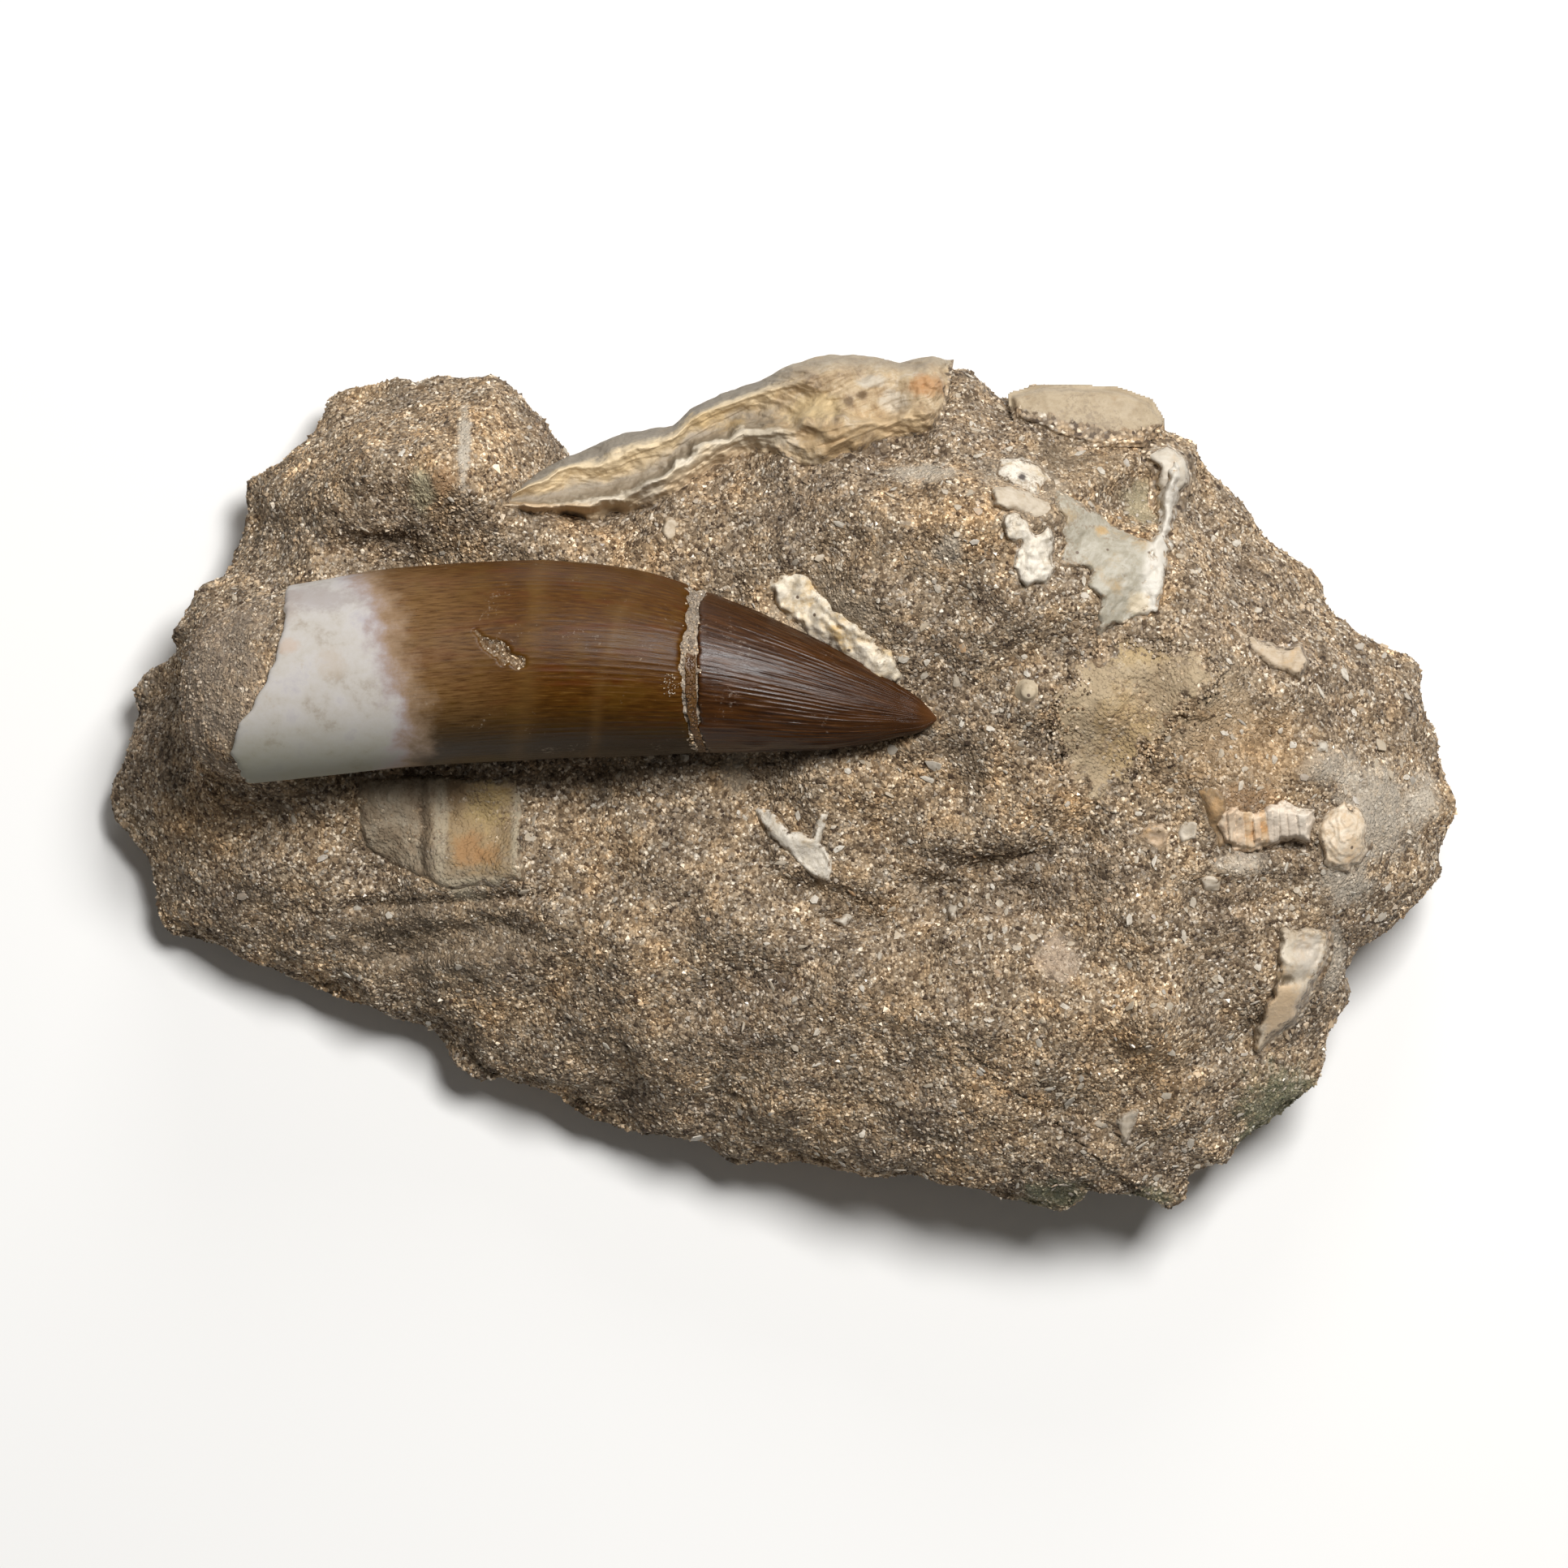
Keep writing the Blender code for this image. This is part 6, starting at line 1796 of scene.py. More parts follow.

# %% [markdown]
# Its finish follows the same profile: cream on the ledges, a pale line along the crest and brown
# grey behind it, darkened further by painted shade in the hollow. Clouds of noise break up every
# border. Yellow and orange stains and dark pits lie on the worn right part.

# %% Make the oyster
OYSTER_PATCHES = [
    ((9.9, 27.3, 16.0), (1.3, 0.8, 6.0), (0.42, 0.21, 0.08), 0.75),
    ((4.4, 26.2, 18.0), (0.45, 0.45, 6.0), (0.11, 0.065, 0.03), 0.85),
    ((5.3, 26.6, 18.0), (0.45, 0.35, 6.0), (0.11, 0.065, 0.03), 0.80),
    ((3.8, 25.3, 18.0), (0.45, 0.45, 6.0), (0.13, 0.08, 0.04), 0.80),
    ((7.6, 24.9, 18.5), (0.5, 0.4, 6.0), (0.13, 0.08, 0.04), 0.70),
    ((6.0, 27.6, 17.5), (1.0, 0.5, 6.0), (0.48, 0.43, 0.35), 0.75),
    ((7.6, 26.1, 17.5), (1.0, 1.0, 6.0), (0.48, 0.43, 0.35), 0.70),
    ((3.4, 23.4, 20.0), (2.6, 1.2, 6.0), (0.40, 0.26, 0.12), 0.55),
    ((-16.0, 18.8, 18.0), (5.5, 0.6, 3.0), (0.60, 0.39, 0.19), 0.60),
    ((-9.2, 20.2, 19.0), (1.1, 1.1, 4.0), (0.52, 0.46, 0.37), 0.60),
    ((-2.0, 23.6, 19.0), (2.4, 0.7, 4.0), (0.52, 0.45, 0.34), 0.60),
    ((-5.0, 25.0, 17.0), (2.6, 0.8, 4.0), (0.60, 0.43, 0.21), 0.60),
    ((2.0, 25.6, 18.5), (2.2, 1.2, 4.0), (0.60, 0.45, 0.23), 0.60),
    ((7.6, 24.6, 19.0), (2.6, 1.2, 4.0), (0.58, 0.41, 0.22), 0.55),
]


def make_oyster_finish():
    """Ramp over the place in the profile, moved by clouds, then worn and stained to the right."""
    made, tree, shader, place = new_finish("oyster shell", 0.66)
    cloud = reckon(tree, "SUBTRACT", noise(tree, place, 1.6, detail=7.0, roughness=0.70), 0.5)
    moved = reckon(tree, "ADD", piece_value(tree, "layer"), reckon(tree, "MULTIPLY", cloud, 0.18))
    banded = colour_steps(tree, moved,
                          [(0.0, (0.38, 0.27, 0.16)), (0.12, (0.62, 0.46, 0.28)),
                           (0.26, (0.68, 0.55, 0.37)), (0.335, (0.74, 0.66, 0.53)),
                           # Behind the crest: the hollow's own brown grey, darkened further by
                           # painted shade.
                           (0.375, (0.20, 0.155, 0.10)), (0.56, (0.28, 0.23, 0.17)),
                           (0.70, (0.66, 0.50, 0.285)), (0.83, (0.72, 0.57, 0.36)),
                           (0.89, (0.20, 0.172, 0.135)), (1.0, (0.155, 0.133, 0.104))])
    worn = colour_steps(tree, noise(tree, place, 1.9, detail=8.0, roughness=0.74),
                        [(0.36, (0.19, 0.12, 0.062)), (0.45, (0.36, 0.245, 0.13)),
                         (0.55, (0.47, 0.35, 0.205)), (0.66, (0.60, 0.50, 0.37))])
    outer = fade(tree, piece_value(tree, "layer"), 0.80, 0.96)
    worn = blend(tree, reckon(tree, "MULTIPLY", outer, 0.7), worn, (0.25, 0.215, 0.165))
    station = reckon(tree, "ADD", piece_value(tree, "station"),
                     reckon(tree, "MULTIPLY", cloud, 4.0))
    colour = blend(tree, fade(tree, station, 8.8, 10.6), banded, worn)
    layers = stretched(tree, place, (500.0, 1700.0, 1700.0), (0.0, 0.0, -18.0))
    grain = use_group(tree, SHELL, {
        "Place": place, "Layers": layers,
        "Light": (0.48, 0.41, 0.31, 1.0), "Shade": (0.25, 0.195, 0.13, 1.0),
        "Stain": (0.42, 0.28, 0.14, 1.0), "Stain Amount": 0.05, "Dust Amount": 0.46})
    colour = blend(tree, 0.2, colour, grain["Colour"])
    colour = lay_patches(tree, place, colour, OYSTER_PATCHES)
    colour = sandy_edge(tree, place, colour, 0.6)
    tree.links.new(colour, shader.inputs["Base Color"])
    set_bump(tree, shader, grain["Height"], 0.8, 0.16)
    return made


lean = np.concatenate([np.zeros(OYSTER_COLUMNS), np.linspace(0, math.pi / 2, WALL_COLUMNS)])
oyster_bottom = oyster_top.copy()
oyster_bottom[..., :2] -= OYSTER_THICKNESS * oyster_away[:, None] * np.sin(lean)[:, None]
oyster_bottom[..., 2] -= OYSTER_THICKNESS * oyster_taper * np.cos(lean)
points, quads, places = closed_slab(oyster_top, oyster_bottom,
                                    np.ones((OYSTER_ROWS - 1, len(lean) - 1), bool))
oyster = make_piece("oyster", points, quads, make_oyster_finish(),
                    values={"layer": oyster_place.ravel()[places],
                            "station": oyster_station.ravel()[places],
                            "inside": oyster_inside.ravel()[places]})
attach(oyster, "oyster_shell")

# %% [markdown]
# ## Scraps set in the sand
#
# A scrap of shell or bone comes out of the sand at a ragged line. One helper makes them all. It
# lays a fine grid over the outline, lifts it proud of the sand inside and lets it dive into the
# sand outside, so the sand itself draws the ragged edge. A flat scrap that lies at a slant looks
# broken rather than moulded, so most have a tilt of their own. Relief is added by each scrap's own
# function, and each point carries its distance from the edge for the finish.

# %% Helper: a scrap in the sand
SCRAP_STEP = 0.11
DIVE = 0.9


def scrap_height(x, y, distance, proud, ragged, edge, seed):
    """Height over the sand, and the ragged distance from the edge, positive inside.

    It is steep at the edge, a little domed inside, and dives outside.
    """
    inside = ragged * flat_noise(x, y, 0.9, seed, 3) - distance
    rise = proud * (0.8 * blend_step(inside, 0, edge) + 0.2 * blend_step(inside, 0, 2.2))
    return rise - DIVE * blend_step(-inside, 0, 0.35), inside


def scrap_slab(outlines, proud, relief=None, ragged=0.2, edge=0.16, depth=1.2, seed=5,
               tilt=(0.0, 0.0), step=SCRAP_STEP, lean=0.0):
    """Points, faces and distance from the edge of a closed slab near the outlines.

    lean is how much smaller the underside is, as a share of the slab's size.
    """
    corners = np.concatenate([np.asarray(outline, float) for outline in outlines])
    reach = ragged * 1.2 + 0.35
    low, high = corners.min(axis=0) - reach, corners.max(axis=0) + reach
    x, y = np.meshgrid(*(np.arange(a, b, step) for a, b in zip(low, high)), indexing="ij")
    distance = nearest_outline(x, y, outlines)
    height, inside = scrap_height(x, y, distance, proud, ragged, edge, seed)
    middle = corners.mean(axis=0)
    slant = tilt[0] * (x - middle[0]) + tilt[1] * (y - middle[1])
    z = ground(x, y) + SCRAP_LIFT + height + slant * blend_step(inside, -0.2, 0.1)
    if relief is not None:
        z = z + relief(x, y) * blend_step(inside, 0, 0.4)
    near = distance < reach
    keep = near[:-1, :-1] | near[1:, :-1] | near[1:, 1:] | near[:-1, 1:]
    floor = np.minimum(z - 0.3, ground(x, y) - depth)
    below = [part - lean * (part - centre) for part, centre in zip((x, y), middle)]
    points, quads, places = closed_slab(np.stack([x, y, z], axis=-1),
                                        np.stack([*below, floor], axis=-1), keep)
    return points, quads, inside.ravel()[places]


def make_scrap(name, outlines, finish, slot, replaced, proud, values=None, **shape):
    """A scrap as a piece. Its values are functions of x and y that the finish needs."""
    points, quads, inside = scrap_slab(outlines, proud, **shape)
    carried = {label: value(points[:, 0], points[:, 1]) for label, value in (values or {}).items()}
    piece = make_piece(name, points, quads, finish, values={"inside": inside, **carried})
    attach(piece, replaced)


print("grid step of the scraps:", SCRAP_STEP, "mm")

# %% [markdown]
# ## Bone plate and bone patch
#
# Bone is fibrous. The plate below the tooth has a seam that parts a pale dusty left half from an
# orange and golden right half with cream borders. Its colours are dimmed by painted shade from
# the tooth above it. The patch right of the tooth's point is a thin worn film, level with the
# sand, with fibres that run up to the right.

# %% Make the bones
BONE_RIB = ((-24.3, 1.0), (-24.0, -6.9))


def plate_relief(x, y):
    """A low crest beside the seam's wavy groove, and a lightly pitted face."""
    (x0, y0), (x1, y1) = BONE_RIB
    offset = ((x - x0) * (y1 - y0) - (y - y0) * (x1 - x0)) / math.hypot(x1 - x0, y1 - y0)
    offset = offset + 0.22 * flat_noise(x, y, 1.5, 81, 3)
    pits = 0.14 * flat_noise(x, y, 1.1, 83, 4) + 0.06 * flat_noise(x, y, 0.35, 85, 2)
    return 0.22 * np.exp(-(offset / 0.7)**2) - 0.22 * np.exp(-((offset - 0.9) / 0.35)**2) + pits


def patch_relief(x, y):
    """Fine fibres: noise drawn out along a line that runs up to the right."""
    along, across = (x + y) / math.sqrt(2), (y - x) / math.sqrt(2)
    return 0.09 * flat_noise(along / 5, across, 0.4, 87, 2) + 0.14 * flat_noise(x, y, 1.6, 89, 3)


def make_bone_finish(name, stops, size, turn, sandy, patches, reach):
    """Fibre noise through a ramp of bone colours, with patches, and partly sanded over."""
    made, tree, shader, place = new_finish(name, 0.85)
    fibres = stretched(tree, place, (300.0, 1900.0, 1900.0), (0.0, 0.0, turn))
    fibre = add_node(tree, "ShaderNodeTexNoise", {"Vector": fibres, "Scale": 1.0, "Detail": 5.0,
                                                  "Roughness": 0.7}).outputs["Fac"]
    blotch = noise(tree, place, size, detail=6.0, roughness=0.70)
    colour = colour_steps(tree, reckon(tree, "ADD", reckon(tree, "MULTIPLY", blotch, 0.68),
                                       reckon(tree, "MULTIPLY", fibre, 0.32)), stops)
    colour = lay_patches(tree, place, colour, patches)
    sand = use_group(tree, SAND, {"Place": place, "Grain Scale": 3800.0})
    dust = use_group(tree, DUST, {"Place": place, "Amount": sandy})["Mask"]
    colour = blend(tree, reckon(tree, "MULTIPLY", dust, 0.8), colour, sand["Colour"])
    tree.links.new(sandy_edge(tree, place, colour, reach), shader.inputs["Base Color"])
    height = reckon(tree, "ADD", fibre, reckon(tree, "MULTIPLY", sand["Height"], 0.5))
    set_bump(tree, shader, height, 0.8, 0.12)
    return made


# Painted shade: the plate's colours are kept dark for the shade below the tooth; the dark brown
# spot at its upper edge is painted shadow.
PLATE_FINISH = make_bone_finish(
    "bone plate", [(0.36, (0.15, 0.10, 0.06)), (0.46, (0.24, 0.18, 0.115)),
                   (0.55, (0.30, 0.24, 0.165)), (0.66, (0.36, 0.305, 0.225))],
    2.0, 80.0, 0.45,
    [((-20.9, -3.0, 13.0), (3.0, 4.6, 8.0), (0.33, 0.225, 0.11), 0.85),
     ((-20.2, -1.4, 13.0), (1.6, 1.8, 8.0), (0.40, 0.29, 0.125), 0.70),
     ((-21.6, -4.6, 13.0), (1.2, 1.4, 8.0), (0.34, 0.160, 0.055), 0.55),
     ((-20.2, -4.8, 13.0), (1.0, 0.8, 8.0), (0.34, 0.170, 0.060), 0.50),
     ((-22.6, -0.6, 13.0), (0.8, 1.2, 8.0), (0.17, 0.105, 0.05), 0.65),
     ((-18.3, -3.4, 13.0), (0.5, 3.4, 8.0), (0.41, 0.345, 0.24), 0.80),
     ((-21.2, -6.8, 13.0), (3.0, 0.55, 8.0), (0.41, 0.345, 0.24), 0.80),
     ((-23.6, -3.0, 13.0), (0.5, 4.0, 8.0), (0.39, 0.33, 0.235), 0.70),
     ((-24.7, -3.0, 13.0), (0.3, 4.4, 8.0), (0.14, 0.10, 0.06), 0.75)], 0.3)
PATCH_FINISH = make_bone_finish(
    "bone patch", [(0.36, (0.25, 0.175, 0.10)), (0.46, (0.36, 0.27, 0.165)),
                   (0.55, (0.43, 0.33, 0.205)), (0.66, (0.48, 0.405, 0.30))],
    2.6, 40.0, 0.50,
    [((23.2, 3.4, 21.0), (2.0, 3.0, 6.0), (0.44, 0.30, 0.135), 0.65),
     ((24.0, 9.0, 21.0), (2.4, 1.0, 6.0), (0.46, 0.33, 0.155), 0.55)], 1.0)
make_scrap("bone_plate_detail", [BONE_PLATE], PLATE_FINISH, "bone", "bone_plate", 0.42,
           relief=plate_relief, ragged=0.25, edge=0.3, seed=101)
make_scrap("bone_patch_detail", [BONE_PATCH], PATCH_FINISH, "bone", "bone_patch", FILM_LIFT,
           relief=patch_relief, ragged=0.9, edge=1.2, seed=103)

# %% [markdown]
# ## The white shells
#
# The valve is a thin pale sheet that ends on the right in a thick chalky rim, with a hollow in
# the sand beside it. A curved fragment, a chunky lump, a chalky strip along the tooth and a small
# splinter are bits of similar shell. The chalk also runs on along the tooth as a thin crust.

# %% Make the white shells


def valve_relief(x, y):
    """Broken layers, and a rim that stands up as an uneven wall, lower to the south."""
    rim = -outline_distance(x, y, VALVE_RIM)
    wall = 0.30 + 0.60 * blend_step(y, 15.0, 18.5) + 0.35 * flat_noise(x, y, 1.2, 90, 3)
    return (wall * blend_step(rim, -0.5, 0.4) + flakes(x, y, 3.6, 0.07, 91)
            + 0.06 * flat_noise(x, y, 0.6, 92, 3))


def lump_relief(x, y):
    """Chunks parted by creases: folded noise, with steps on it."""
    return 1.0 * np.abs(flat_noise(x, y, 1.7, 93, 4)) - 0.05 + flakes(x, y, 1.4, 0.10, 94)


def chalk_relief(x, y):
    """Crumbs of chalk of all sizes."""
    return 0.42 * np.abs(flat_noise(x, y, 1.3, 95, 4)) + 0.12 * flat_noise(x, y, 0.4, 97, 2)


def flake_relief(x, y):
    """Thin broken layers."""
    return flakes(x, y, 1.8, 0.09, 96) + 0.05 * flat_noise(x, y, 0.5, 98, 2)


VALVE_FINISH = make_shell_finish(
    "valve shell", (0.42, 0.385, 0.31), (0.31, 0.275, 0.205), (0.38, 0.28, 0.16), amount=0.03,
    dust=0.46, roughness=0.55, turn=-50.0, reach=0.2,
    masks=[("rim", (0.66, 0.61, 0.53), -0.6, 0.1, 0.8)],
    patches=[((24.2, 12.3, 21.0), (0.8, 0.7, 6.0), (0.58, 0.48, 0.33), 0.80),
             ((21.6, 17.2, 21.0), (0.5, 0.4, 6.0), (0.50, 0.30, 0.10), 0.60)])
WHITE_FINISH = make_shell_finish(
    "white shell", (0.72, 0.655, 0.555), (0.55, 0.485, 0.385), (0.46, 0.34, 0.19), amount=0.03,
    dust=0.45, roughness=0.75, turn=60.0,
    patches=[((16.2, 20.9, 21.0), (0.35, 0.3, 3.0), (0.05, 0.035, 0.03), 0.95)])
CHALK_FINISH = make_shell_finish(
    "chalky shell", (0.74, 0.66, 0.53), (0.57, 0.47, 0.33), (0.56, 0.38, 0.16), amount=0.08,
    dust=0.44, roughness=0.9, turn=-40.0, layers=(1500.0, 2200.0, 2200.0), reach=0.1)
make_scrap("valve_detail", [VALVE_SHEET, VALVE_RIM], VALVE_FINISH, "white_shell",
           "valve_shell", 0.34, relief=valve_relief, ragged=0.36, seed=105, tilt=(0.04, 0.0),
           values={"rim": lambda x, y: -outline_distance(x, y, VALVE_RIM)})
make_scrap("curved_shell_detail", [CURVED_SHELL], WHITE_FINISH, "white_shell",
           "curved_shell", 0.5, relief=flake_relief, ragged=0.25, seed=107, tilt=(-0.08, 0.15))
make_scrap("shell_lump_detail", [SHELL_LUMP], WHITE_FINISH, "white_shell", "shell_lump",
           0.7, relief=lump_relief, ragged=0.4, seed=109, tilt=(0.08, 0.08))
make_scrap("chalky_shell_detail", [CHALKY_SHELL, CHALK_CRUST], CHALK_FINISH, "white_shell",
           "chalky_shell", 0.42, relief=chalk_relief, ragged=0.45, edge=0.5, seed=111)
make_scrap("shell_splinter_detail", [SHELL_SPLINTER], WHITE_FINISH, "white_shell",
           "shell_splinter", 0.30, relief=flake_relief, ragged=0.12, edge=0.12, seed=113,
           tilt=(0.0, -0.05))

# %% [markdown]
# ## The orange shells and the blade
#
# Near the right end a ribbed shell is seen edge on, as a row of upright broken plates between a
# brown wedge and a layered disc. Below it a smooth cream blade runs down the flank.

# %% Make the orange shells and the blade
PLATE_PITCH, DISC_LAYERS = 0.52, 3.4
RIBS_TO_WEDGE = [(29.7, -2.0), (30.8, -1.7), (30.8, -4.1), (29.9, -3.9)]


def plate_number(x, y):
    """Which upright plate a place is in, and how far through it: uneven steps along the row."""
    phase = (x + 0.10 * y) / PLATE_PITCH + 0.9 * flat_noise(x, 0 * y, 1.7, 97)
    return np.floor(phase), phase % 1.0


def plate_random(x, y, seed):
    """A random number from 0 to 1 for each plate."""
    number = plate_number(x, y)[0].astype(np.int64)
    return corner_value(np.stack([number, 0 * number, 0 * number], axis=-1), seed)


def ribs_relief(x, y):
    """Upright plates, each with its own height and slope, and a gap between neighbours."""
    through = plate_number(x, y)[1]
    slope = (plate_random(x, y, 5) - 0.5) * 0.3 * (y + 2.9)
    gap = 0.22 * (1 - blend_step(np.abs(through - 0.5), 0.5, 0.38))
    return 0.2 + 0.5 * plate_random(x, y, 3) + slope - gap + 0.08 * flat_noise(x, y, 0.6, 97, 3)


def disc_reach(x, y):
    """Share of the way from a point near the disc's upper edge to its lower edge, made uneven."""
    reach = np.hypot((x - DISC_CENTRE[0] - 0.3) / DISC_RADII[0],
                     (y - DISC_CENTRE[1] - 0.9) / DISC_RADII[1])
    return reach + 0.30 * flat_noise(x, y, 1.5, 99, 4)


def disc_layer(x, y):
    """How far out in its own layer a point is, from 0 to 1: the fraction of reach times layers."""
    return disc_reach(x, y) * DISC_LAYERS % 1.0


def disc_relief(x, y):
    """Overlapping layers: each rises slowly outwards and ends in a step, on a low dome."""
    return (0.12 * disc_layer(x, y)**2 + 0.45 * (1 - disc_reach(x, y))
            + 0.07 * flat_noise(x, y, 0.5, 101, 3))


def blade_relief(x, y):
    """A smooth keel along the blade, a hollow across its middle and flakes at its upper end."""
    keel = np.exp(-(((x - 35.0) + 0.28 * (y + 13.5)) / 0.8)**2)
    return (0.3 * keel - 0.4 * np.exp(-((y + 13.4) / 0.45)**2)
            + flakes(x, y, 1.6, 0.16, 98) * blend_step(y, -13.5, -11.5))


RIBBED_FINISH = make_shell_finish(
    "ribbed shell", (0.64, 0.49, 0.33), (0.54, 0.36, 0.20), (0.56, 0.31, 0.13), amount=0.10,
    dust=0.38, roughness=0.6, turn=90.0, layers=(300.0, 3000.0, 3000.0), reach=0.0,
    masks=[("white half", (0.68, 0.62, 0.53), 0.2, 0.8, 0.8),
           ("plate", (0.66, 0.54, 0.42), 0.3, 0.9, 0.5)])
DISC_FINISH = make_shell_finish(
    "layered disc", (0.66, 0.56, 0.43), (0.54, 0.41, 0.27), (0.54, 0.35, 0.18), amount=0.02,
    dust=0.42, roughness=0.6, layers=(1400.0, 1400.0, 1400.0), reach=0.05,
    masks=[("rings", (0.48, 0.31, 0.16), 0.6, 1.0, 0.35)])
WEDGE_FINISH = make_shell_finish(
    "brown wedge", (0.34, 0.23, 0.125), (0.20, 0.13, 0.07), (0.46, 0.28, 0.13), amount=0.08,
    dust=0.42, roughness=0.6, turn=70.0, reach=0.05)
BLADE_FINISH = make_shell_finish(
    "cream blade", (0.55, 0.475, 0.37), (0.42, 0.335, 0.235), (0.50, 0.34, 0.18), amount=0.06,
    dust=0.42, roughness=0.55, turn=62.0, layers=(300.0, 1500.0, 1500.0),
    patches=[((34.2, -15.4, 16.0), (1.5, 2.2, 8.0), (0.62, 0.44, 0.26), 0.80),
             # Painted shade: a near black stripe lies in the hollow across the blade's middle.
             ((34.4, -13.4, 16.0), (0.8, 0.35, 8.0), (0.10, 0.07, 0.035), 0.85),
             ((35.8, -11.6, 16.0), (1.1, 1.5, 8.0), (0.54, 0.49, 0.42), 0.60)])
make_scrap("ribbed_shell_detail", [RIBBED_SHELL, RIBS_TO_WEDGE], RIBBED_FINISH, "orange_shell",
           "ribbed_shell", 0.5, relief=ribs_relief, ragged=0.3, edge=0.12, seed=115, step=0.07,
           values={"white half": lambda x, y: blend_step(x + 0.2 * y, 32.3, 32.6),
                   "plate": lambda x, y: plate_random(x, y, 7)})
make_scrap("shell_disc_detail", [oval(DISC_CENTRE, DISC_RADII)], DISC_FINISH,
           "orange_shell", "shell_disc", 0.5, relief=disc_relief, ragged=0.3, seed=117,
           tilt=(-0.10, 0.0), step=0.08, values={"rings": disc_layer})
make_scrap("shell_wedge_detail", [SHELL_WEDGE], WEDGE_FINISH, "orange_shell",
           "shell_wedge", 0.4, relief=flake_relief, ragged=0.15, seed=119, tilt=(0.25, 0.0))
make_scrap("shell_blade_detail", [SHELL_BLADE], BLADE_FINISH, "cream_shell", "shell_blade",
           0.6, relief=blade_relief, ragged=0.25, seed=121, tilt=(-0.12, 0.0))

# %% [markdown]
# ## Small scraps
#
# A few bits of shell are too small for a solid of their own. They are made in the same way and
# joined as one mesh, with their tone as a number for the finish.

# %% Make the small scraps


def make_scrap_finish():
    """White over tan to orange by the tone, with fine layers and dust."""
    made, tree, shader, place = new_finish("small scraps", 0.65)
    colour = colour_steps(tree, piece_value(tree, "tone"),
                          [(0.0, (0.56, 0.52, 0.45)), (0.3, (0.50, 0.42, 0.32)),
                           (0.6, (0.44, 0.33, 0.21)), (1.0, (0.50, 0.30, 0.15))])
    grain = use_group(tree, SHELL, {
        "Place": place, "Layers": stretched(tree, place, (600.0, 3000.0, 3000.0)),
        "Light": (0.56, 0.50, 0.41, 1.0), "Shade": (0.36, 0.29, 0.20, 1.0)})
    colour = blend(tree, 0.45, colour, grain["Colour"])
    tree.links.new(sandy_edge(tree, place, colour, 0.1), shader.inputs["Base Color"])
    set_bump(tree, shader, grain["Height"], 0.5, 0.08)
    return made


def join_slabs(slabs):
    """Several slabs as one mesh: each slab's faces count on from the points before it."""
    starts = np.cumsum([0] + [len(points) for points, _, _ in slabs[:-1]])
    return (np.concatenate([points for points, _, _ in slabs]),
            np.concatenate([quads + start for (_, quads, _), start in zip(slabs, starts)]),
            np.concatenate([inside for _, _, inside in slabs]))


slabs = [scrap_slab([outline], 0.35, relief=flake_relief, ragged=0.2, seed=140 + k,
                    tilt=(0.3 * math.sin(2.4 * k), 0.3 * math.cos(2.4 * k)))
         for k, (outline, _) in enumerate(SMALL_SCRAPS)]
tones = np.concatenate([np.full(len(points), tone)
                        for (points, _, _), (_, tone) in zip(slabs, SMALL_SCRAPS)])
points, quads, inside = join_slabs(slabs)
scraps = make_piece("shell_scraps", points, quads, make_scrap_finish(),
                    values={"tone": tones, "inside": inside})
attach(scraps)

# %% [markdown]
# ## The slab on the rim, and the pebble
#
# The smooth tan slab at the upper right forms part of the block's edge. It is a scrap that rises
# outwards: sand laps over its inner side, and its outer side stands free. Its outline is a little
# larger than its solid's, and its underside is smaller, so that its wall leans in. The small round
# pebble is a scrap too, with part of a ball as its relief.

# %% Make the slab and the pebble
SLAB_OUTLINE = [(15.9, 26.5), (17.9, 27.1), (19.8, 27.0), (22.7, 26.9), (25.0, 26.1),
                (25.8, 24.8), (24.4, 23.6), (21.2, 23.6), (18.8, 24.3), (16.2, 25.3)]
SLAB_SAND_LINE = [(14.5, 26.4), (16.6, 25.9), (18.8, 25.2), (21.2, 24.6), (23.6, 24.3),
                  (24.8, 24.6), (26.5, 25.0)]


def slab_relief(x, y):
    """Nearly flat, with a few thin layers."""
    return flakes(x, y, 4.0, 0.05, 122) + 0.04 * flat_noise(x, y, 0.8, 124, 2)


def past_sand_line(x, y):
    """Distance from the line where the sand ends on the slab, positive towards the rim."""
    beyond = y - np.interp(x, *np.array(SLAB_SAND_LINE).T)
    return np.sign(beyond) * line_distance(x, y, SLAB_SAND_LINE)


def pebble_relief(x, y):
    """The upper part of a ball: the root of 1 less the square of the reach."""
    reach = np.hypot(x - PEBBLE_CENTRE[0], y - PEBBLE_CENTRE[1]) / PEBBLE_RADIUS
    return 0.75 * np.sqrt(np.clip(1 - reach**2, 0, 1)) - 0.15


SLAB_FINISH = make_shell_finish(
    "tan slab", (0.42, 0.335, 0.225), (0.33, 0.25, 0.155), (0.32, 0.22, 0.12),
    dust=0.46, roughness=0.65, turn=-12.0, layers=(240.0, 900.0, 900.0), reach=0.1)
PEBBLE_FINISH = make_shell_finish(
    "pebble", (0.50, 0.41, 0.285), (0.42, 0.335, 0.22), (0.38, 0.28, 0.16),
    dust=0.40, roughness=0.75, layers=(900.0, 900.0, 900.0), reach=-0.4)
make_scrap("edge_shell_detail", [SLAB_OUTLINE], SLAB_FINISH, "cream_shell", "edge_shell", 0.1,
           relief=slab_relief, ragged=0.10, edge=0.3, depth=2.4, seed=123, tilt=(0.0, 0.34),
           lean=0.28, values={"inside": past_sand_line})
make_scrap("pebble_detail", [oval(PEBBLE_CENTRE, (PEBBLE_RADIUS, PEBBLE_RADIUS))], PEBBLE_FINISH,
           "pebble", "pebble", 0.15, relief=pebble_relief, ragged=0.05, edge=0.1, seed=127,
           step=0.05)

# %% [markdown]
# ## Shell flecks
#
# The sand is full of tiny flat shell flecks, most of them on the right half. Each is a thin
# plate with six corners, stretched and turned at random and laid on the surface.

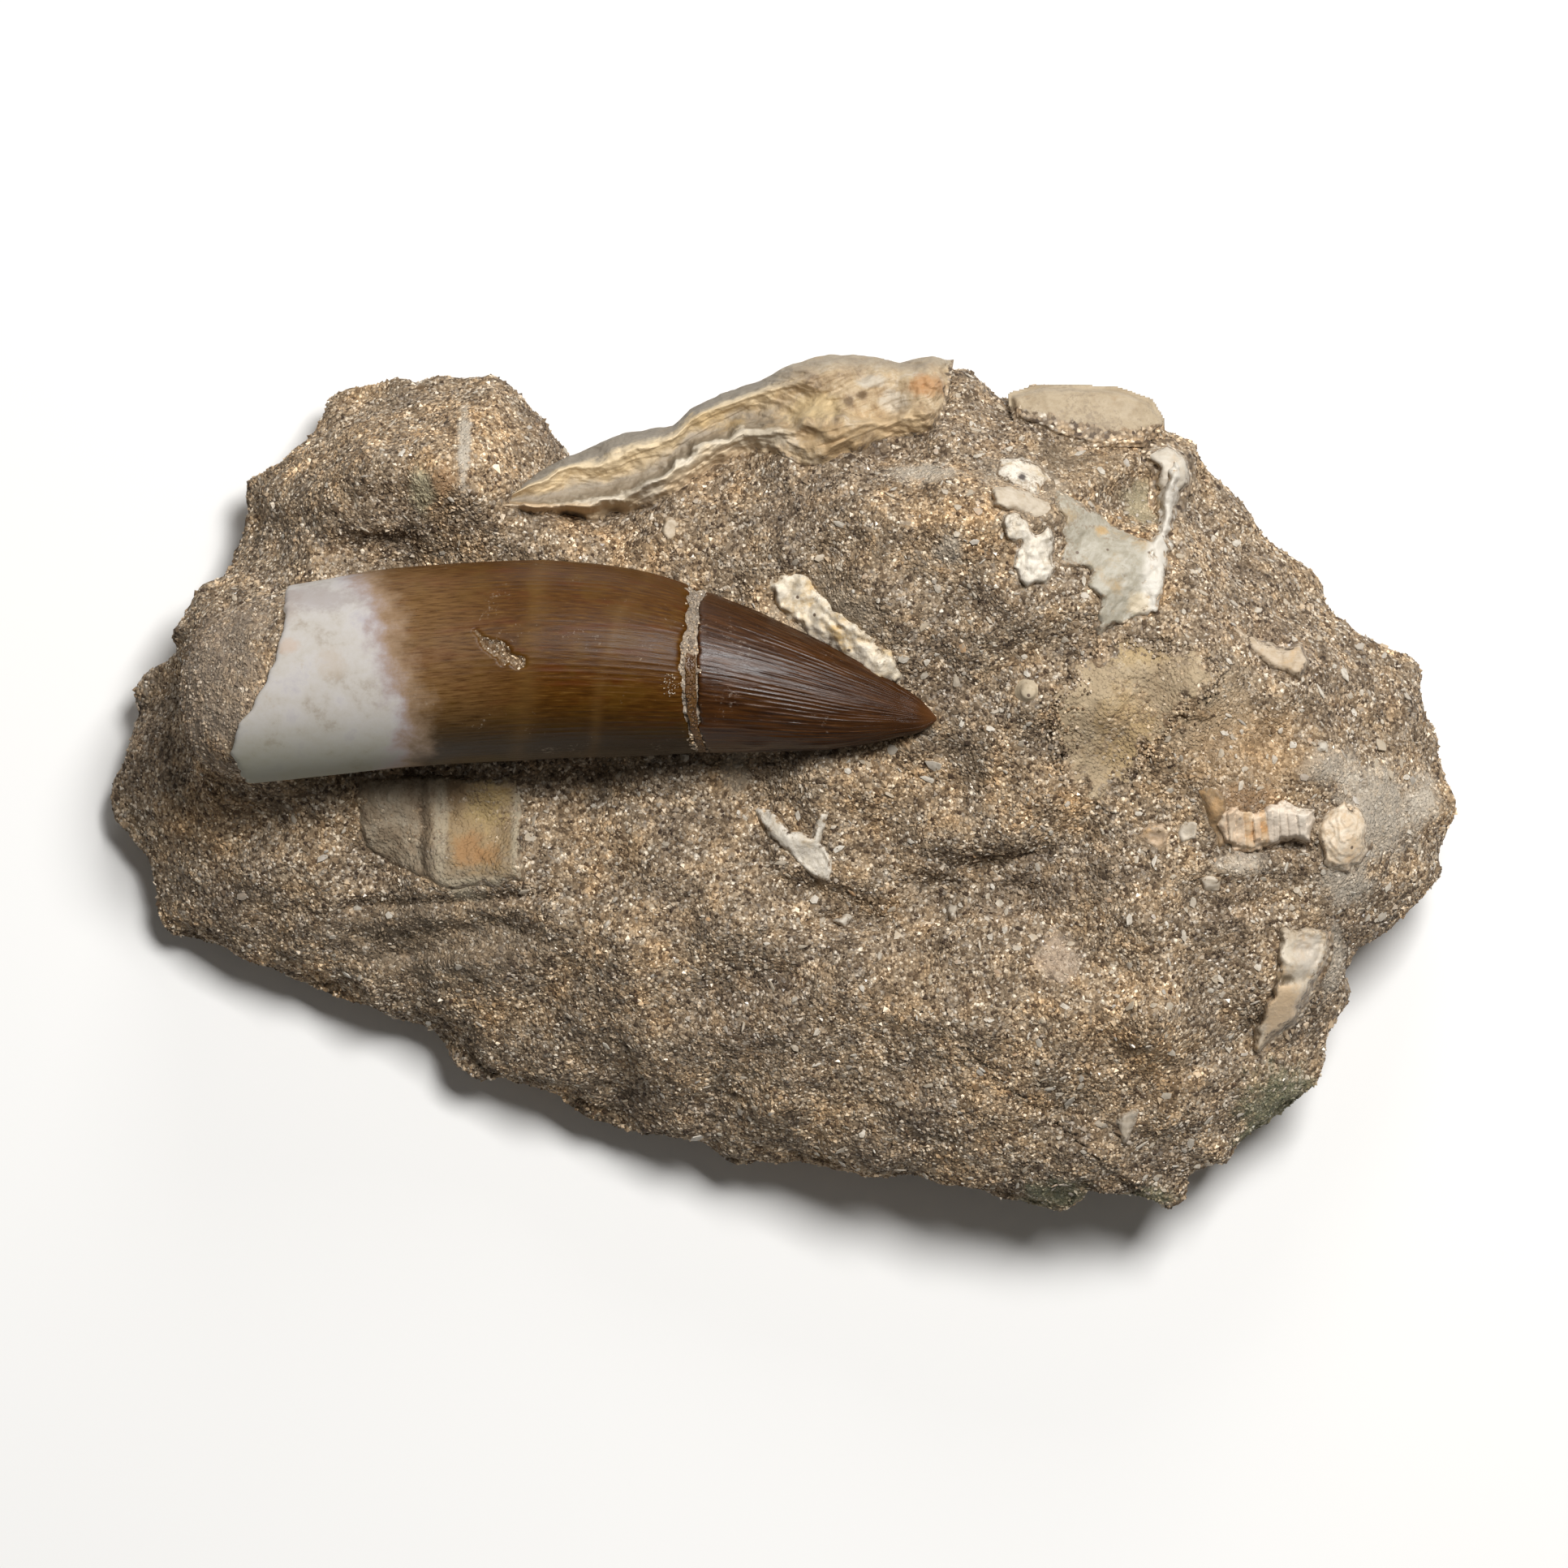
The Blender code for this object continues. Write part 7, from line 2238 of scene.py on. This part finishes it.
# %% Scatter the flecks
FLECKS = 1100
FLECK_SIDES = 6
FLECK_POINTS = 2 * FLECK_SIDES + 2
FLECK_RADIUS, FLECK_THICKNESS = 0.22, 0.035


def fleck_shapes(count, rng):
    """Plates of two rings of six and a point above and below, each with its own stretch."""
    angle = np.arange(FLECK_SIDES) * math.pi / 3
    reach = rng.uniform(0.55, 1.2, (count, FLECK_SIDES))
    ring = np.stack([reach * np.cos(angle), reach * np.sin(angle), 0 * reach], axis=-1)
    lift, point = np.array([0, 0, FLECK_THICKNESS]), np.zeros((count, 1, 3))
    shape = np.concatenate([ring + lift, ring - lift, point + 2 * lift, point - 2 * lift], axis=1)
    length = FLECK_RADIUS * rng.lognormal(0.0, 0.45, (count, 1))
    width = length * rng.uniform(0.25, 0.9, (count, 1))
    return shape * np.concatenate([length, width, np.ones((count, 1))], axis=1)[:, None]


def lying_axes(normal, rng):
    """Three axes for each fleck: along, across and up, with up near the surface's normal."""
    count = len(normal)
    turn = rng.uniform(0, 2 * math.pi, count)
    up = normal + np.column_stack([rng.normal(0, 0.25, (count, 2)), np.zeros(count)])
    up /= np.linalg.norm(up, axis=1, keepdims=True)
    along = np.stack([np.cos(turn), np.sin(turn), 0 * turn], axis=-1)
    along -= up * (along * up).sum(axis=1, keepdims=True)
    along /= np.linalg.norm(along, axis=1, keepdims=True)
    return np.stack([along, np.cross(up, along), up], axis=1)


def fleck_mesh(surface, count, seed):
    """Points, faces and tones of flecks at random free places, more of them to the right."""
    rng = np.random.default_rng(seed)
    place, normal = random_places(surface, count * 6, rng)
    wanted = rng.random(len(place)) < 0.2 + 0.8 * blend_step(place[:, 0], -25.0, 30.0)
    clear = nearest_outline(place[:, 0], place[:, 1], ALL_OUTLINES) > 0.2
    free = wanted & clear & ~in_tooth(place)
    place, normal = place[free][:count], normal[free][:count]
    points = fleck_shapes(count, rng) @ lying_axes(normal, rng) + (place + 0.05 * normal)[:, None]
    high = np.arange(FLECK_SIDES)
    low, high_after = high + FLECK_SIDES, np.roll(high, -1)
    low_after, pole = high_after + FLECK_SIDES, np.full(FLECK_SIDES, 2 * FLECK_SIDES)
    faces = np.concatenate([
        np.stack([high, high_after, pole], -1), np.stack([low_after, low, pole + 1], -1),
        np.stack([low, low_after, high_after], -1), np.stack([low, high_after, high], -1)])
    faces = faces + FLECK_POINTS * np.arange(count)[:, None, None]
    tone = np.repeat(rng.random(count), FLECK_POINTS)
    return points.reshape(-1, 3), faces.reshape(-1, 3), tone


def make_fleck_finish():
    """White to cream and a few orange, by the tone of each fleck."""
    made, tree, shader, place = new_finish("shell flecks", 0.55)
    colour = colour_steps(tree, piece_value(tree, "tone"),
                          [(0.0, (0.58, 0.53, 0.45)), (0.4, (0.50, 0.43, 0.34)),
                           (0.7, (0.44, 0.35, 0.24)), (0.88, (0.40, 0.36, 0.31)),
                           (1.0, (0.50, 0.31, 0.16))])
    fine = noise(tree, place, 0.3, detail=3.0)
    tree.links.new(blend(tree, fade(tree, fine, 0.35, 0.75), colour, (0.36, 0.31, 0.24)),
                   shader.inputs["Base Color"])
    return made


points, faces, tone = fleck_mesh(top, FLECKS, 9)
flecks = make_piece("shell_flecks", points, np.empty((0, 4)), make_fleck_finish(), tris=faces,
                    values={"tone": tone}, smooth=False)
attach(flecks)

# %% [markdown]
# ## Sizes
#
# The dressed block is meant to keep the size of the solids, apart from a few percent. Both boxes
# are printed, so that they can be compared.

# %% Print the sizes
visual_box = [list(map(float, corner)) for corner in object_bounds()]
for label, (low, high) in (("solids", cad_box), ("dressed", visual_box)):
    print(label, [round((b - a) / MM, 2) for a, b in zip(low, high)], "mm")
